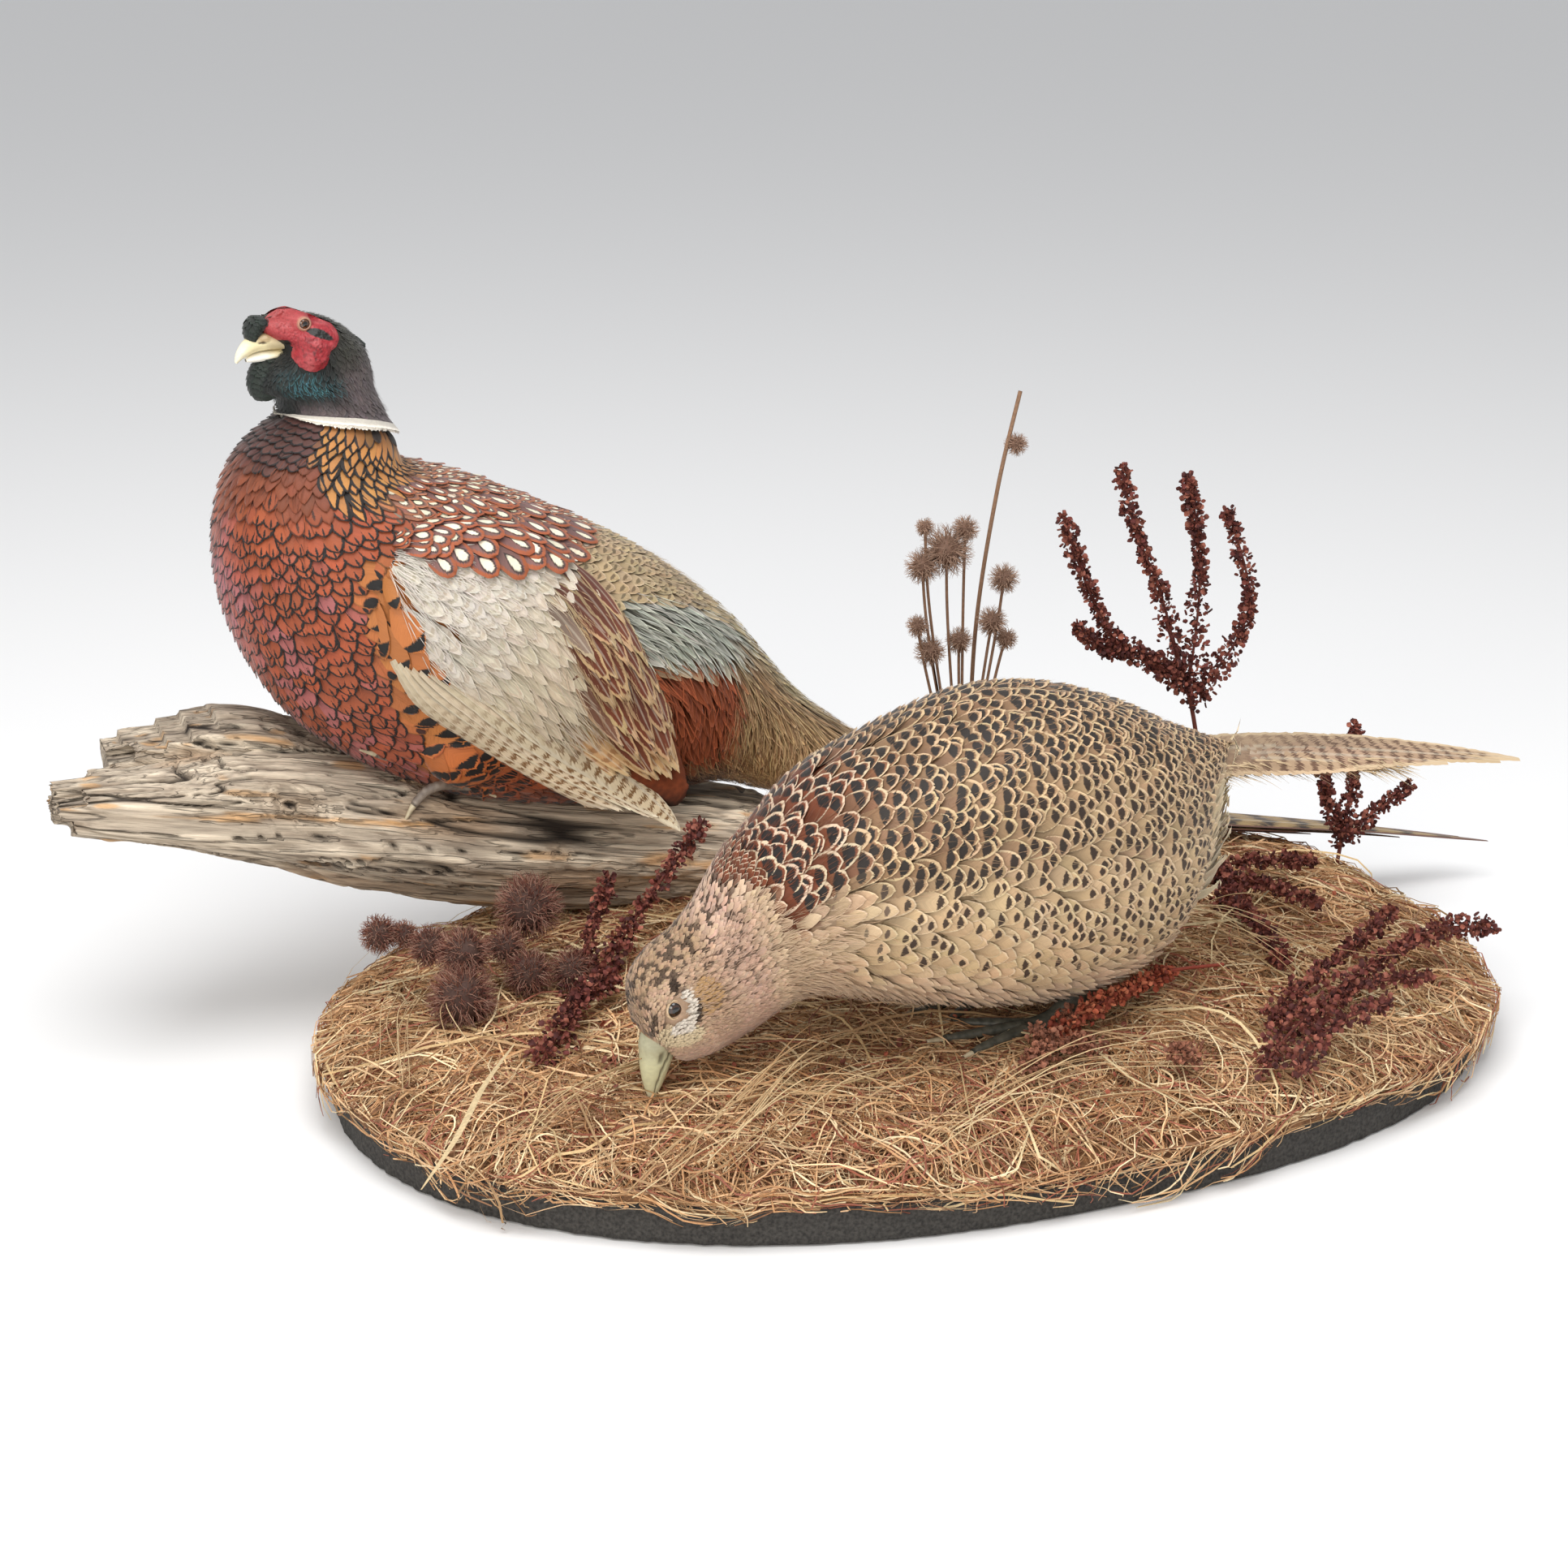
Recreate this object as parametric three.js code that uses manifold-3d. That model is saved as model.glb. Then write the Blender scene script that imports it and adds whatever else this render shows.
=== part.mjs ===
// A museum mount of ring-necked pheasants: a cock perched on a weathered log and a hen feeding below
// him, on an oval board dressed with straw, burr heads and dock. Millimetres, +Z up, birds facing -X,
// origin at the centre of the board's underside. Each bird's solids reach the tips of its feathers.
import * as THREE from "three";
import { mergeVertices } from "three/addons/utils/BufferGeometryUtils.js";
import Module from "manifold-3d";

const wasm = await Module();
wasm.setup();

// ---- Driving dimensions -------------------------------------------------------------------------

const GAP = 0.3; // clearance left between two pieces that touch
const WELD = 1e-4; // vertices nearer than this are one

const BOARD = { leftLength: 289, rightLength: 304, halfDepth: 205, height: 21 };
const SQUARENESS = { left: 2.1, right: 2.5 }; // 2 is an ellipse, more is nearer a rectangle
const MAT = { overhang: 1.015, top: 51, ripple: 0.01 };

const COCK_Y = 140; // the cock's middle plane
const HEAD_TURN = 14; // degrees that the cock looks to his left
const HEAD_PIVOT = new THREE.Vector3(-252, COCK_Y, 0);
const EYE_RADIUS = 4.4;
const EYE_SPOT = { ahead: -9.5, height: 364, aside: 13.1 };

const HEN_PLACE = { x: 0, y: -92, turn: 5 };
const HEN_EYE = { ahead: -162, height: 93, aside: 11.2, radius: 4.2 };

const STEM_RADIUS = 1.1;
const STEM_SIDES = 4;

const COLOURS = {
  board: 0x35322e, straw: 0xb08556, wood: 0x8f857a, burr: 0x55433f, dock: 0x6d2f29, twig: 0x8a6a52,
  copper: 0xa3441f, mantle: 0x9a6238, darkGreen: 0x1d2b2b, red: 0xb82a35, horn: 0xe3d6a5,
  eye: 0x2a1a10, silver: 0xbdb8a6, primary: 0xcdb894, tailBuff: 0x9c8460, scale: 0x6d675c, hen: 0xb89a78,
};

// ---- Solids -------------------------------------------------------------------------------------

function solidOf(geometry) {
  const bare = new THREE.BufferGeometry().setAttribute("position", geometry.getAttribute("position"));
  if (geometry.index) bare.setIndex(geometry.index);
  const merged = mergeVertices(bare, WELD);
  return new wasm.Manifold(new wasm.Mesh({
    numProp: 3,
    vertProperties: merged.getAttribute("position").array,
    triVerts: new Uint32Array(merged.index.array),
  }));
}

function geometryOf(solid) {
  const mesh = solid.getMesh();
  const geometry = new THREE.BufferGeometry();
  geometry.setAttribute("position", new THREE.BufferAttribute(mesh.vertProperties, mesh.numProp));
  geometry.setIndex(new THREE.BufferAttribute(mesh.triVerts, 1));
  geometry.computeVertexNormals();
  return geometry;
}

function join(solids) {
  return solids.reduce((whole, next) => whole.add(next));
}

function cut(solid, tools) {
  return tools.reduce((left, tool) => left.subtract(tool), solid);
}

// The largest piece of a solid that a cut may have left in several.
function mainPiece(solid) {
  return solid.decompose().reduce((best, next) => (next.volume() > best.volume() ? next : best));
}

// A row of numbers at t, from 0 to 1, on the smooth curve through a list of rows.
function along(rows, t) {
  const place = t * (rows.length - 1);
  const i = Math.min(Math.floor(place), rows.length - 2);
  const f = place - i;
  const row = (k) => rows[Math.max(0, Math.min(rows.length - 1, k))];
  return rows[0].map((_, n) => {
    const [a, b, c, d] = [row(i - 1)[n], row(i)[n], row(i + 1)[n], row(i + 2)[n]];
    return b + 0.5 * f * (c - a + f * (2 * a - 5 * b + 4 * c - d + f * (3 * (b - c) + d - a)));
  });
}

// A closed skin over a list of rings of points, with a fan over each end.
function skinOver(rings) {
  const around = rings[0].length;
  const points = [...rings.flat()];
  const middle = (ring) => ring.reduce((sum, p) => sum.add(p), new THREE.Vector3()).divideScalar(around);
  const first = points.push(middle(rings[0])) - 1;
  const last = points.push(middle(rings[rings.length - 1])) - 1;
  const faces = [];
  for (let j = 0; j < around; j++) {
    const k = (j + 1) % around;
    for (let i = 0; i < rings.length - 1; i++) {
      const [a, b] = [i * around + j, i * around + k];
      faces.push(a, b, a + around, b, b + around, a + around);
    }
    const end = (rings.length - 1) * around;
    faces.push(first, k, j, last, end + j, end + k);
  }
  const geometry = new THREE.BufferGeometry().setFromPoints(points);
  geometry.setIndex(faces);
  const solid = solidOf(geometry);
  if (solid.volume() > 0) return solid;
  geometry.setIndex(faces.reverse());
  return solidOf(geometry);
}

const UP = new THREE.Vector3(0, 0, 1);
const turned = (point, degrees) => point.applyAxisAngle(UP, THREE.MathUtils.degToRad(degrees));
const softPower = (value, power) => Math.sign(value) * Math.abs(value) ** power;

// A body along the middle plane. Each row is one cross-section: topX, topZ, bottomX, bottomZ, half
// width, y of its middle and degrees turned about the pivot. Grow thickens it all round.
function bodyOf(rows, { steps, around, from = 0, to = 1, grow = 0, pivot = HEAD_PIVOT, fullness = 0.9 }) {
  const rings = [];
  for (let i = 0; i <= steps; i++) {
    const row = along(rows, from + ((to - from) * i) / steps);
    const [topX, topZ, bottomX, bottomZ, half, y, turn] = row;
    const centre = new THREE.Vector3((topX + bottomX) / 2, y, (topZ + bottomZ) / 2);
    const rise = new THREE.Vector3((topX - bottomX) / 2, 0, (topZ - bottomZ) / 2);
    rise.setLength(rise.length() + grow);
    const ring = [];
    for (let j = 0; j < around; j++) {
      const angle = (2 * Math.PI * j) / around;
      const point = centre.clone().addScaledVector(rise, softPower(Math.cos(angle), fullness));
      point.y += (half + grow) * softPower(Math.sin(angle), fullness);
      ring.push(turned(point.sub(pivot), turn).add(pivot));
    }
    rings.push(ring);
  }
  return skinOver(rings);
}

// A tapering length along a path. Each row is x, y, z and the two half sizes of its oval section:
// the first lies along the hint direction, the second across it.
function limbOf(rows, { steps = 8, around = 8, grow = 0, hint = new THREE.Vector3(0, 1, 0) } = {}) {
  const rings = [];
  for (let i = 0; i <= steps; i++) {
    const t = i / steps;
    const [x, y, z, alongHint, across] = along(rows, t);
    const ahead = new THREE.Vector3(...along(rows, Math.min(1, t + 0.01)));
    const back = new THREE.Vector3(...along(rows, Math.max(0, t - 0.01)));
    const tangent = ahead.sub(back).normalize();
    const side = hint.clone().addScaledVector(tangent, -hint.dot(tangent)).normalize();
    const lift = new THREE.Vector3().crossVectors(tangent, side);
    const ring = [];
    for (let j = 0; j < around; j++) {
      const angle = (2 * Math.PI * j) / around;
      const point = new THREE.Vector3(x, y, z);
      point.addScaledVector(side, (alongHint + grow) * Math.cos(angle));
      point.addScaledVector(lift, (across + grow) * Math.sin(angle));
      ring.push(point);
    }
    rings.push(ring);
  }
  return skinOver(rings);
}

function ballOf(x, y, z, radius, detail = 2) {
  return solidOf(new THREE.IcosahedronGeometry(radius, detail).translate(x, y, z));
}

// The same solid on the other side of the cock's middle plane.
function mirrored(solid) {
  return solid.translate([0, -COCK_Y, 0]).mirror([0, 1, 0]).translate([0, COCK_Y, 0]);
}

// ---- Board and straw mat ------------------------------------------------------------------------

function ovalRing(scale, z, ripple) {
  const ring = [];
  for (let j = 0; j < OVAL_SIDES; j++) {
    const angle = (2 * Math.PI * j) / OVAL_SIDES;
    const wave = 1 + ripple * (Math.sin(5 * angle + 1) + Math.sin(9 * angle + 2.3));
    const right = Math.cos(angle) > 0;
    const power = 2 / (right ? SQUARENESS.right : SQUARENESS.left);
    const reach = right ? BOARD.rightLength : BOARD.leftLength;
    const x = reach * softPower(Math.cos(angle), power) * scale * wave;
    const y = BOARD.halfDepth * softPower(Math.sin(angle), power) * scale * wave;
    ring.push(new THREE.Vector3(x, y, z));
  }
  return ring;
}

const OVAL_SIDES = 36;
// Share of the oval's size and of the mat's height, from its foot to its middle.
const MAT_PROFILE = [
  [0.985, 0], [MAT.overhang, 0.15], [0.98, 0.4], [0.88, 0.64], [0.7, 0.84], [0.4, 0.96], [0.1, 1],
];

function matOf(grow) {
  const low = BOARD.height + GAP;
  const rings = MAT_PROFILE.map(([scale, height]) => {
    const spread = scale + grow / BOARD.halfDepth;
    return ovalRing(spread, low + height * (MAT.top - low) + (height > 0 ? grow : 0), MAT.ripple);
  });
  return skinOver(rings);
}

const board = skinOver([ovalRing(1, 0, 0), ovalRing(1, BOARD.height, 0)]);
const mat = matOf(0);
const matClear = matOf(GAP);

// ---- Log ----------------------------------------------------------------------------------------

// Each row is x, middle y, top z, bottom z and half width of the weathered trunk.
const LOG_ROWS = [
  [-399, 113, 151, 131, 24], [-372, 117, 150, 123, 30], [-340, 123, 150, 111, 36],
  [-300, 129, 153, 94, 41],
  [-245, 133, 143, 70, 45], [-190, 135, 124, 54, 46], [-120, 136, 108, 43, 44], [-60, 136, 98, 42, 40],
  [-22, 136, 88, 42, 33], [-12, 136, 80, 48, 25],
];
const LOG_CREST_ROWS = [
  [-362, 155, 153, 138, 17], [-335, 154, 159, 130, 22], [-300, 150, 163, 120, 27],
  [-262, 146, 150, 110, 24],
  [-225, 140, 130, 100, 18],
];

function logLength(rows, steps, around, grow) {
  const rings = [];
  for (let i = 0; i <= steps; i++) {
    const [x, y, top, bottom, half] = along(rows, i / steps);
    const ring = [];
    for (let j = 0; j < around; j++) {
      const angle = (2 * Math.PI * j) / around;
      const grain = 1 + 0.035 * Math.sin(7 * angle + 0.01 * x) + 0.025 * Math.sin(3 * angle - 0.02 * x);
      const across = (half * grain + grow) * softPower(Math.cos(angle), 0.75);
      const up = (((top - bottom) / 2) * grain + grow) * softPower(Math.sin(angle), 0.75);
      ring.push(new THREE.Vector3(x, y + across, (top + bottom) / 2 + up));
    }
    rings.push(ring);
  }
  return skinOver(rings);
}

function boxOf(low, high) {
  const size = high.map((value, n) => value - low[n]);
  const middle = high.map((value, n) => (value + low[n]) / 2);
  return solidOf(new THREE.BoxGeometry(...size).translate(...middle));
}

// Splintered steps in the broken left end of the log.
const LOG_STEPS = [
  { low: [-402, 84, 147], high: [-384, 104, 158] },
  { low: [-402, 84, 120], high: [-391, 112, 139] },
  { low: [-366, 136, 150], high: [-352, 151, 170] },
  { low: [-402, 122, 138], high: [-378, 148, 158] },
];

function logOf(grow) {
  return logLength(LOG_ROWS, 15, 16, grow).add(logLength(LOG_CREST_ROWS, 5, 10, grow));
}

const log = mainPiece(cut(logOf(0), [matClear, ...LOG_STEPS.map((step) => boxOf(step.low, step.high))]));
const logClear = logOf(GAP);

// ---- Cock: trunk, neck and head -----------------------------------------------------------------

const TRUNK_ROWS = [
  [-213, 303, -275, 316, 31, COCK_Y, 3], [-210, 290, -293, 301, 40, COCK_Y, 1],
  [-199, 284, -305, 277, 50, COCK_Y, 0],
  [-175, 277, -308, 241, 60, COCK_Y, 0], [-147, 265, -300, 205, 67, COCK_Y, 0],
  [-116, 250, -278, 167, 71, COCK_Y, 0],
  [-86, 233, -244, 139, 71, COCK_Y, 0], [-61, 214, -203, 119, 68, COCK_Y, 0],
  [-38, 192, -153, 107, 60, COCK_Y, 0],
  [-19, 168, -106, 105, 49, COCK_Y, 0], [-2, 147, -62, 107, 39, COCK_Y, 0],
];
const COVERT_ROWS = [
  [-2, 147, -62, 107, 39, COCK_Y, 0], [18, 129, -30, 99, 35, COCK_Y - 1, 0],
  [44, 111, 8, 87, 31, COCK_Y - 4, 0],
  [74, 97, 52, 78, 27, COCK_Y - 9, 0], [104, 87, 92, 73, 20, COCK_Y - 15, 0],
  [132, 79, 126, 72, 9, COCK_Y - 21, 0],
];
const NECK_ROWS = [
  [-213, 304, -276, 318, 30, COCK_Y, 4], [-218, 316, -272, 323, 27, COCK_Y, 7],
  [-223, 328, -276, 330, 25, COCK_Y, 10],
];
// Head sections swing round from the nape to the forehead, in the head's own turned plane.
const HEAD_ROWS = [
  [-223, 329, -279, 327, 24, COCK_Y, 12], [-223.5, 338, -286, 334, 22.5, COCK_Y, HEAD_TURN],
  [-227, 348.5, -282, 343, 21.5, COCK_Y, HEAD_TURN], [-235.5, 358, -276, 347, 20.5, COCK_Y, HEAD_TURN],
  [-246, 364.5, -273, 349, 19, COCK_Y, HEAD_TURN], [-257, 367.8, -271, 350, 17, COCK_Y, HEAD_TURN],
  [-267, 369, -270, 351, 14.5, COCK_Y, HEAD_TURN], [-277, 368.6, -272, 353, 11, COCK_Y, HEAD_TURN],
  [-284, 366.5, -279, 359.5, 6.5, COCK_Y, HEAD_TURN],
];
const TRUNK_DETAIL = { steps: 14, around: 18 };
const NECK_DETAIL = { steps: 2, around: 14 };
const HEAD_DETAIL = { steps: 9, around: 14, from: 0.004 };

// A point of the cock's head from its own measures, turned with the head.
function headPoint(ahead, aside, height) {
  const point = new THREE.Vector3(ahead, aside, height);
  return turned(point, HEAD_TURN).add(HEAD_PIVOT);
}

function headLimb(rows, options) {
  const turnedHint = turned(new THREE.Vector3(0, 1, 0), HEAD_TURN);
  const placed = rows.map(([ahead, height, wide, deep]) => {
    const point = headPoint(ahead, 0, height);
    return [point.x, point.y, point.z, wide, deep];
  });
  return limbOf(placed, { hint: turnedHint, ...options });
}

// Bill rows: distance ahead, height, half width and half depth.
const UPPER_BILL_ROWS = [
  [-21, 357, 7.2, 4.9], [-28, 356.2, 6.2, 4.5], [-33, 354.8, 4.9, 4.1], [-37.5, 351.8, 3.4, 3.3],
  [-40, 349, 2, 2], [-41.3, 346.8, 0.8, 0.8],
];
const LOWER_BILL_ROWS = [
  [-18, 349.4, 6.2, 2.3], [-25, 349, 5.2, 2.2], [-31, 348.3, 3.8, 1.9], [-35, 347.8, 1.5, 1.1],
];
const UPPER_BILL_DETAIL = { steps: 7, around: 10 };
const LOWER_BILL_DETAIL = { steps: 4, around: 8 };

function cockEye(side, grow) {
  const centre = headPoint(EYE_SPOT.ahead, side * EYE_SPOT.aside, EYE_SPOT.height);
  return ballOf(centre.x, centre.y, centre.z, EYE_RADIUS + grow, 1);
}

// The bare red face: an oval round the eye with a lobe hanging below and behind the gape.
const WATTLE_ROUNDS = [
  { ahead: -12, height: 362.5, wide: 12.5, tall: 8.6 }, { ahead: -4, height: 360, wide: 11.5, tall: 8.2 },
  { ahead: -9.5, height: 351.5, wide: 8.2, tall: 9.4 },
];

function wattleOf(side) {
  const shapes = WATTLE_ROUNDS.map(({ ahead, height, wide, tall }) => {
    const round = new THREE.CylinderGeometry(1, 1, 30, 10).scale(wide, 1, tall);
    const spot = headPoint(ahead, side * 20, height);
    round.rotateZ(THREE.MathUtils.degToRad(HEAD_TURN)).translate(spot.x, spot.y, spot.z);
    return solidOf(round);
  });
  const raised = bodyOf(HEAD_ROWS, { ...HEAD_DETAIL, grow: 1.3 });
  const face = bodyOf(HEAD_ROWS, { ...HEAD_DETAIL, grow: 2 * GAP });
  return mainPiece(cut(join(shapes).intersect(raised), [face, cockEye(side, GAP), upperBillClear]));
}

const upperBillClear = headLimb(UPPER_BILL_ROWS, { ...UPPER_BILL_DETAIL, grow: GAP });
const lowerBillClear = headLimb(LOWER_BILL_ROWS, { ...LOWER_BILL_DETAIL, grow: GAP });
const upperBill = headLimb(UPPER_BILL_ROWS, UPPER_BILL_DETAIL);
const lowerBill = mainPiece(cut(headLimb(LOWER_BILL_ROWS, LOWER_BILL_DETAIL), [upperBillClear]));
const head = cut(bodyOf(HEAD_ROWS, HEAD_DETAIL), [
  upperBillClear, lowerBillClear, cockEye(1, GAP), cockEye(-1, GAP),
]);
const headClear = bodyOf(HEAD_ROWS, { ...HEAD_DETAIL, grow: GAP });
const trunkClear = bodyOf(TRUNK_ROWS, { ...TRUNK_DETAIL, grow: GAP });
const neck = mainPiece(cut(bodyOf(NECK_ROWS, NECK_DETAIL), [headClear, trunkClear]));

// ---- Cock: tail ---------------------------------------------------------------------------------

const TAIL_PATH = [
  [-6, COCK_Y - 1, 113], [60, COCK_Y - 8, 91], [140, COCK_Y - 24, 70], [225, COCK_Y - 38, 54],
  [320, COCK_Y - 47, 38], [410, COCK_Y - 53, 20],
];
// Feathers from the middle pair outwards: length as a share of the longest, sideways fan and drop.
const TAIL_FEATHERS = [
  { share: 1, fan: -4, drop: 0 }, { share: 0.955, fan: 6, drop: 1.5 }, { share: 0.78, fan: -14, drop: 3 },
  { share: 0.72, fan: 16, drop: 4 },
];
const TAIL_BLADE = { halfWidth: 15, halfThickness: 3.2, tipWidth: 1.2, tipThickness: 0.8 };

function tailFeather({ share, fan, drop }) {
  const rows = [0, 0.2, 0.4, 0.6, 0.8, 0.94, 1].map((t) => {
    const [x, y, z] = along(TAIL_PATH, t * share);
    const spread = Math.sin(Math.PI * Math.min(1, t * 1.15) * 0.72);
    const taper = 1 - t ** 2.4;
    const wide = TAIL_BLADE.tipWidth + (TAIL_BLADE.halfWidth - TAIL_BLADE.tipWidth) * taper;
    const thick = TAIL_BLADE.tipThickness + (TAIL_BLADE.halfThickness - TAIL_BLADE.tipThickness) * taper;
    return [x, y + fan * spread, z - drop * t, wide, thick];
  });
  return limbOf(rows, { steps: 6, around: 6 });
}

const COVERT_DETAIL = { steps: 6, around: 12, from: 0.006 };
const coverts = mainPiece(cut(bodyOf(COVERT_ROWS, COVERT_DETAIL), [trunkClear, matClear]));
const covertsClear = bodyOf(COVERT_ROWS, { ...COVERT_DETAIL, grow: GAP });
const tail = mainPiece(cut(join(TAIL_FEATHERS.map(tailFeather)), [covertsClear, trunkClear, matClear]));

// ---- Cock: wings --------------------------------------------------------------------------------

// The drooped left wing: each row crosses it from the scapular edge to the leading edge, as topX,
// topZ, bottomX, bottomZ, half thickness and y of its middle.
const WING_ROWS = [
  [-226, 266, -248, 232, 22, 95, 0], [-205, 270, -246, 206, 30, 96, 0], [-172, 264, -228, 180, 32, 95, 0],
  [-140, 247, -203, 163, 32, 95, 0], [-117, 222, -175, 147, 30, 94, 0], [-101, 193, -146, 130, 24, 92, 0],
  [-89, 161, -118, 116, 16, 88, 0], [-80, 129, -96, 107, 7, 84, 0], [-77, 112, -84, 104, 2.5, 82, 0],
];
const PRIMARY_ROWS = [
  [-232, 216, -240, 203, 14, 90, 0], [-210, 200, -227, 177, 14, 85, 0], [-178, 180, -198, 154, 13, 83, 0],
  [-144, 158, -163, 131, 10, 82, 0], [-114, 136, -129, 110, 6, 81, 0], [-92, 114, -102, 95, 3, 81, 0],
  [-84, 98, -88, 91, 1.2, 81, 0],
];
const WING_DETAIL = { steps: 9, around: 10 };
const PRIMARY_DETAIL = { steps: 8, around: 8 };

const wingClear = bodyOf(WING_ROWS, { ...WING_DETAIL, grow: GAP });
const primariesClear = bodyOf(PRIMARY_ROWS, { ...PRIMARY_DETAIL, grow: GAP });
const leftWing = mainPiece(cut(bodyOf(WING_ROWS, WING_DETAIL), [trunkClear, logClear]));
const leftPrimaries = mainPiece(cut(bodyOf(PRIMARY_ROWS, PRIMARY_DETAIL), [wingClear, trunkClear, logClear]));

// ---- Cock: legs and feet ------------------------------------------------------------------------

const THIGH_ROWS = [
  [-196, 90, 174, 12, 30], [-196, 87, 160, 17, 32], [-196, 90, 148, 15, 23], [-195, 94, 139, 8, 11],
];
// Toe rows: x, y, z and the two half sizes, from the root of the foot to the tip of each claw.
const TOE_PATHS = [
  [[-199, 100, 131, 4, 4], [-208, 97, 133.5, 3.8, 3.8], [-217, 92, 131.5, 3.4, 3.4], [-224, 88, 126, 2.4, 2.6],
    [-230.5, 85, 118.5, 0.9, 1]],
  [[-199, 102, 131, 4, 4], [-208, 107, 135, 3.4, 3.4], [-217, 110, 137, 2.6, 2.8], [-225, 111, 135, 1, 1.4]],
  [[-199, 97, 131, 4, 4], [-204, 90, 126, 3.4, 3.4], [-207, 85, 118, 2.6, 2.8], [-209, 84, 108, 1, 1.4]],
  [[-199, 100, 131, 4, 4], [-190, 100, 128, 3, 3], [-180, 98, 122, 1, 1.4]],
];
const RIGHT_FOOT_AHEAD = -7; // the right foot grips the log a little further along

const thighClear = limbOf(THIGH_ROWS, { steps: 4, around: 10, grow: GAP });
const thigh = limbOf(THIGH_ROWS, { steps: 4, around: 10 });
const leftLeg = mainPiece(cut(thigh, [trunkClear, logClear, wingClear, primariesClear]));
const toes = join(TOE_PATHS.map((path) => limbOf(path, { steps: 4, around: 5, hint: UP })));
const footOf = (ahead) => mainPiece(cut(toes.translate([ahead, 0, 0]), [logClear, trunkClear, thighClear]));

// ---- Hen ----------------------------------------------------------------------------------------

// Sections from the tail root to the forehead, in the hen's own plane with its middle at y 0.
const HEN_ROWS = [
  [133, 172, 129, 150, 9, 0, 0], [121, 178, 122, 124, 22, 0, 0], [102, 187, 111, 93, 36, 0, 0],
  [76, 201, 85, 67, 51, 0, 0], [42, 213, 41, 58, 62, 0, 0], [4, 216, -7, 63, 65, 0, 0],
  [-38, 205, -54, 76, 61, 0, 0], [-76, 191, -86, 86, 53, 0, 0],
  [-99, 176, -98, 85, 42, 0, 0], [-117, 164, -105, 81, 33, 0, 0],
  [-130, 151, -111, 76, 26, 0, 0], [-141, 137, -118, 71, 21.5, 0, 0], [-154, 125, -128, 66, 18.5, 0, 0],
  [-167, 117, -138, 62, 17, 0, 0], [-175.5, 106, -146, 61, 15, 0, 0], [-176, 93, -151, 61, 12, 0, 0],
  [-173, 79, -155, 63, 8.5, 0, 0],
];
const HEN_BILL_ROWS = [
  [-163.5, 0, 72, 7, 8.6], [-167, 0, 64, 5.8, 7.2], [-168.5, 0, 54, 3.8, 5], [-167.5, 0, 46, 2, 2.6],
  [-166, 0, 42, 0.9, 1],
];
const HEN_TAIL = { root: [110, 0, 164], tip: [322, 0, 131], halfWidth: 13, halfThickness: 3 };
const HEN_TAIL_FEATHERS = [
  { share: 1, fan: 0 }, { share: 0.8, fan: -11 }, { share: 0.68, fan: 13 },
];
const HEN_LEG_ROWS = [[56, -20, 78, 9, 12], [48, -20, 64, 6, 7], [34, -21, 54, 4, 4], [18, -22, 51, 4, 4]];
const HEN_TOES = [
  [[20, -23, 52, 3.6, 3.8], [-6, -27, 51.5, 3, 3], [-26, -32, 51, 1.3, 1.5]],
  [[21, -21, 52, 3.8, 3.6], [-6, -19, 51.5, 3, 3], [-30, -16, 51, 1.3, 1.5]],
  [[19, -20, 52, 3.5, 3.7], [0, -11, 51.5, 3, 3], [-16, -3, 51, 1.3, 1.5]],
  [[15, -22, 52, 3.2, 3.4], [33, -25, 51, 1.6, 1.8]],
];

function henTailFeather({ share, fan }) {
  const { root, tip, halfWidth, halfThickness } = HEN_TAIL;
  const rows = [0, 0.35, 0.7, 0.92, 1].map((t) => {
    const reach = t * share;
    const x = root[0] + (tip[0] - root[0]) * reach;
    const z = root[2] + (tip[2] - root[2]) * reach ** 1.6;
    const taper = 1 - t ** 2;
    return [x, fan * Math.min(1, t * 1.6), z, 1.2 + halfWidth * taper, 0.9 + halfThickness * taper];
  });
  return limbOf(rows, { steps: 4, around: 6 });
}

function henSolid() {
  const flip = (solid) => solid.mirror([0, 1, 0]);
  const pivot = new THREE.Vector3();
  const toeDetail = { steps: 2, around: 5, hint: UP };
  const foot = join(HEN_TOES.map((path) => limbOf(path, toeDetail)));
  const leg = limbOf(HEN_LEG_ROWS, { steps: 3, around: 6 }).add(foot);
  const bill = limbOf(HEN_BILL_ROWS, { steps: 4, around: 6 });
  const whole = join([
    bodyOf(HEN_ROWS, { steps: 15, around: 14, pivot }), leg, flip(leg), bill,
    ...HEN_TAIL_FEATHERS.map(henTailFeather),
    ballOf(HEN_EYE.ahead, -HEN_EYE.aside, HEN_EYE.height, HEN_EYE.radius, 1),
    ballOf(HEN_EYE.ahead, HEN_EYE.aside, HEN_EYE.height, HEN_EYE.radius, 1),
  ]);
  const placed = whole.rotate([0, 0, HEN_PLACE.turn]).translate([HEN_PLACE.x, HEN_PLACE.y, 0]);
  return mainPiece(cut(placed, [matClear]));
}

const hen = henSolid();

// ---- Dried plants -------------------------------------------------------------------------------

// A dock raceme: a stalk with knobbly bunches of seed that thin out towards the tip.
function racemeOf(path, radius, bunches) {
  const rows = [];
  for (let i = 0; i <= 2 * bunches; i++) {
    const t = i / (2 * bunches);
    const [x, y, z] = along(path, t);
    const size = (i % 2 ? radius : radius * 0.55) * (1 - 0.6 * t ** 2);
    rows.push([x, y, z, size, size]);
  }
  return limbOf(rows, { steps: 2 * bunches, around: 5 });
}

function stemOf(path, radius = STEM_RADIUS, steps = 4) {
  return limbOf(path.map(([x, y, z]) => [x, y, z, radius, radius]), { steps, around: STEM_SIDES });
}

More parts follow.
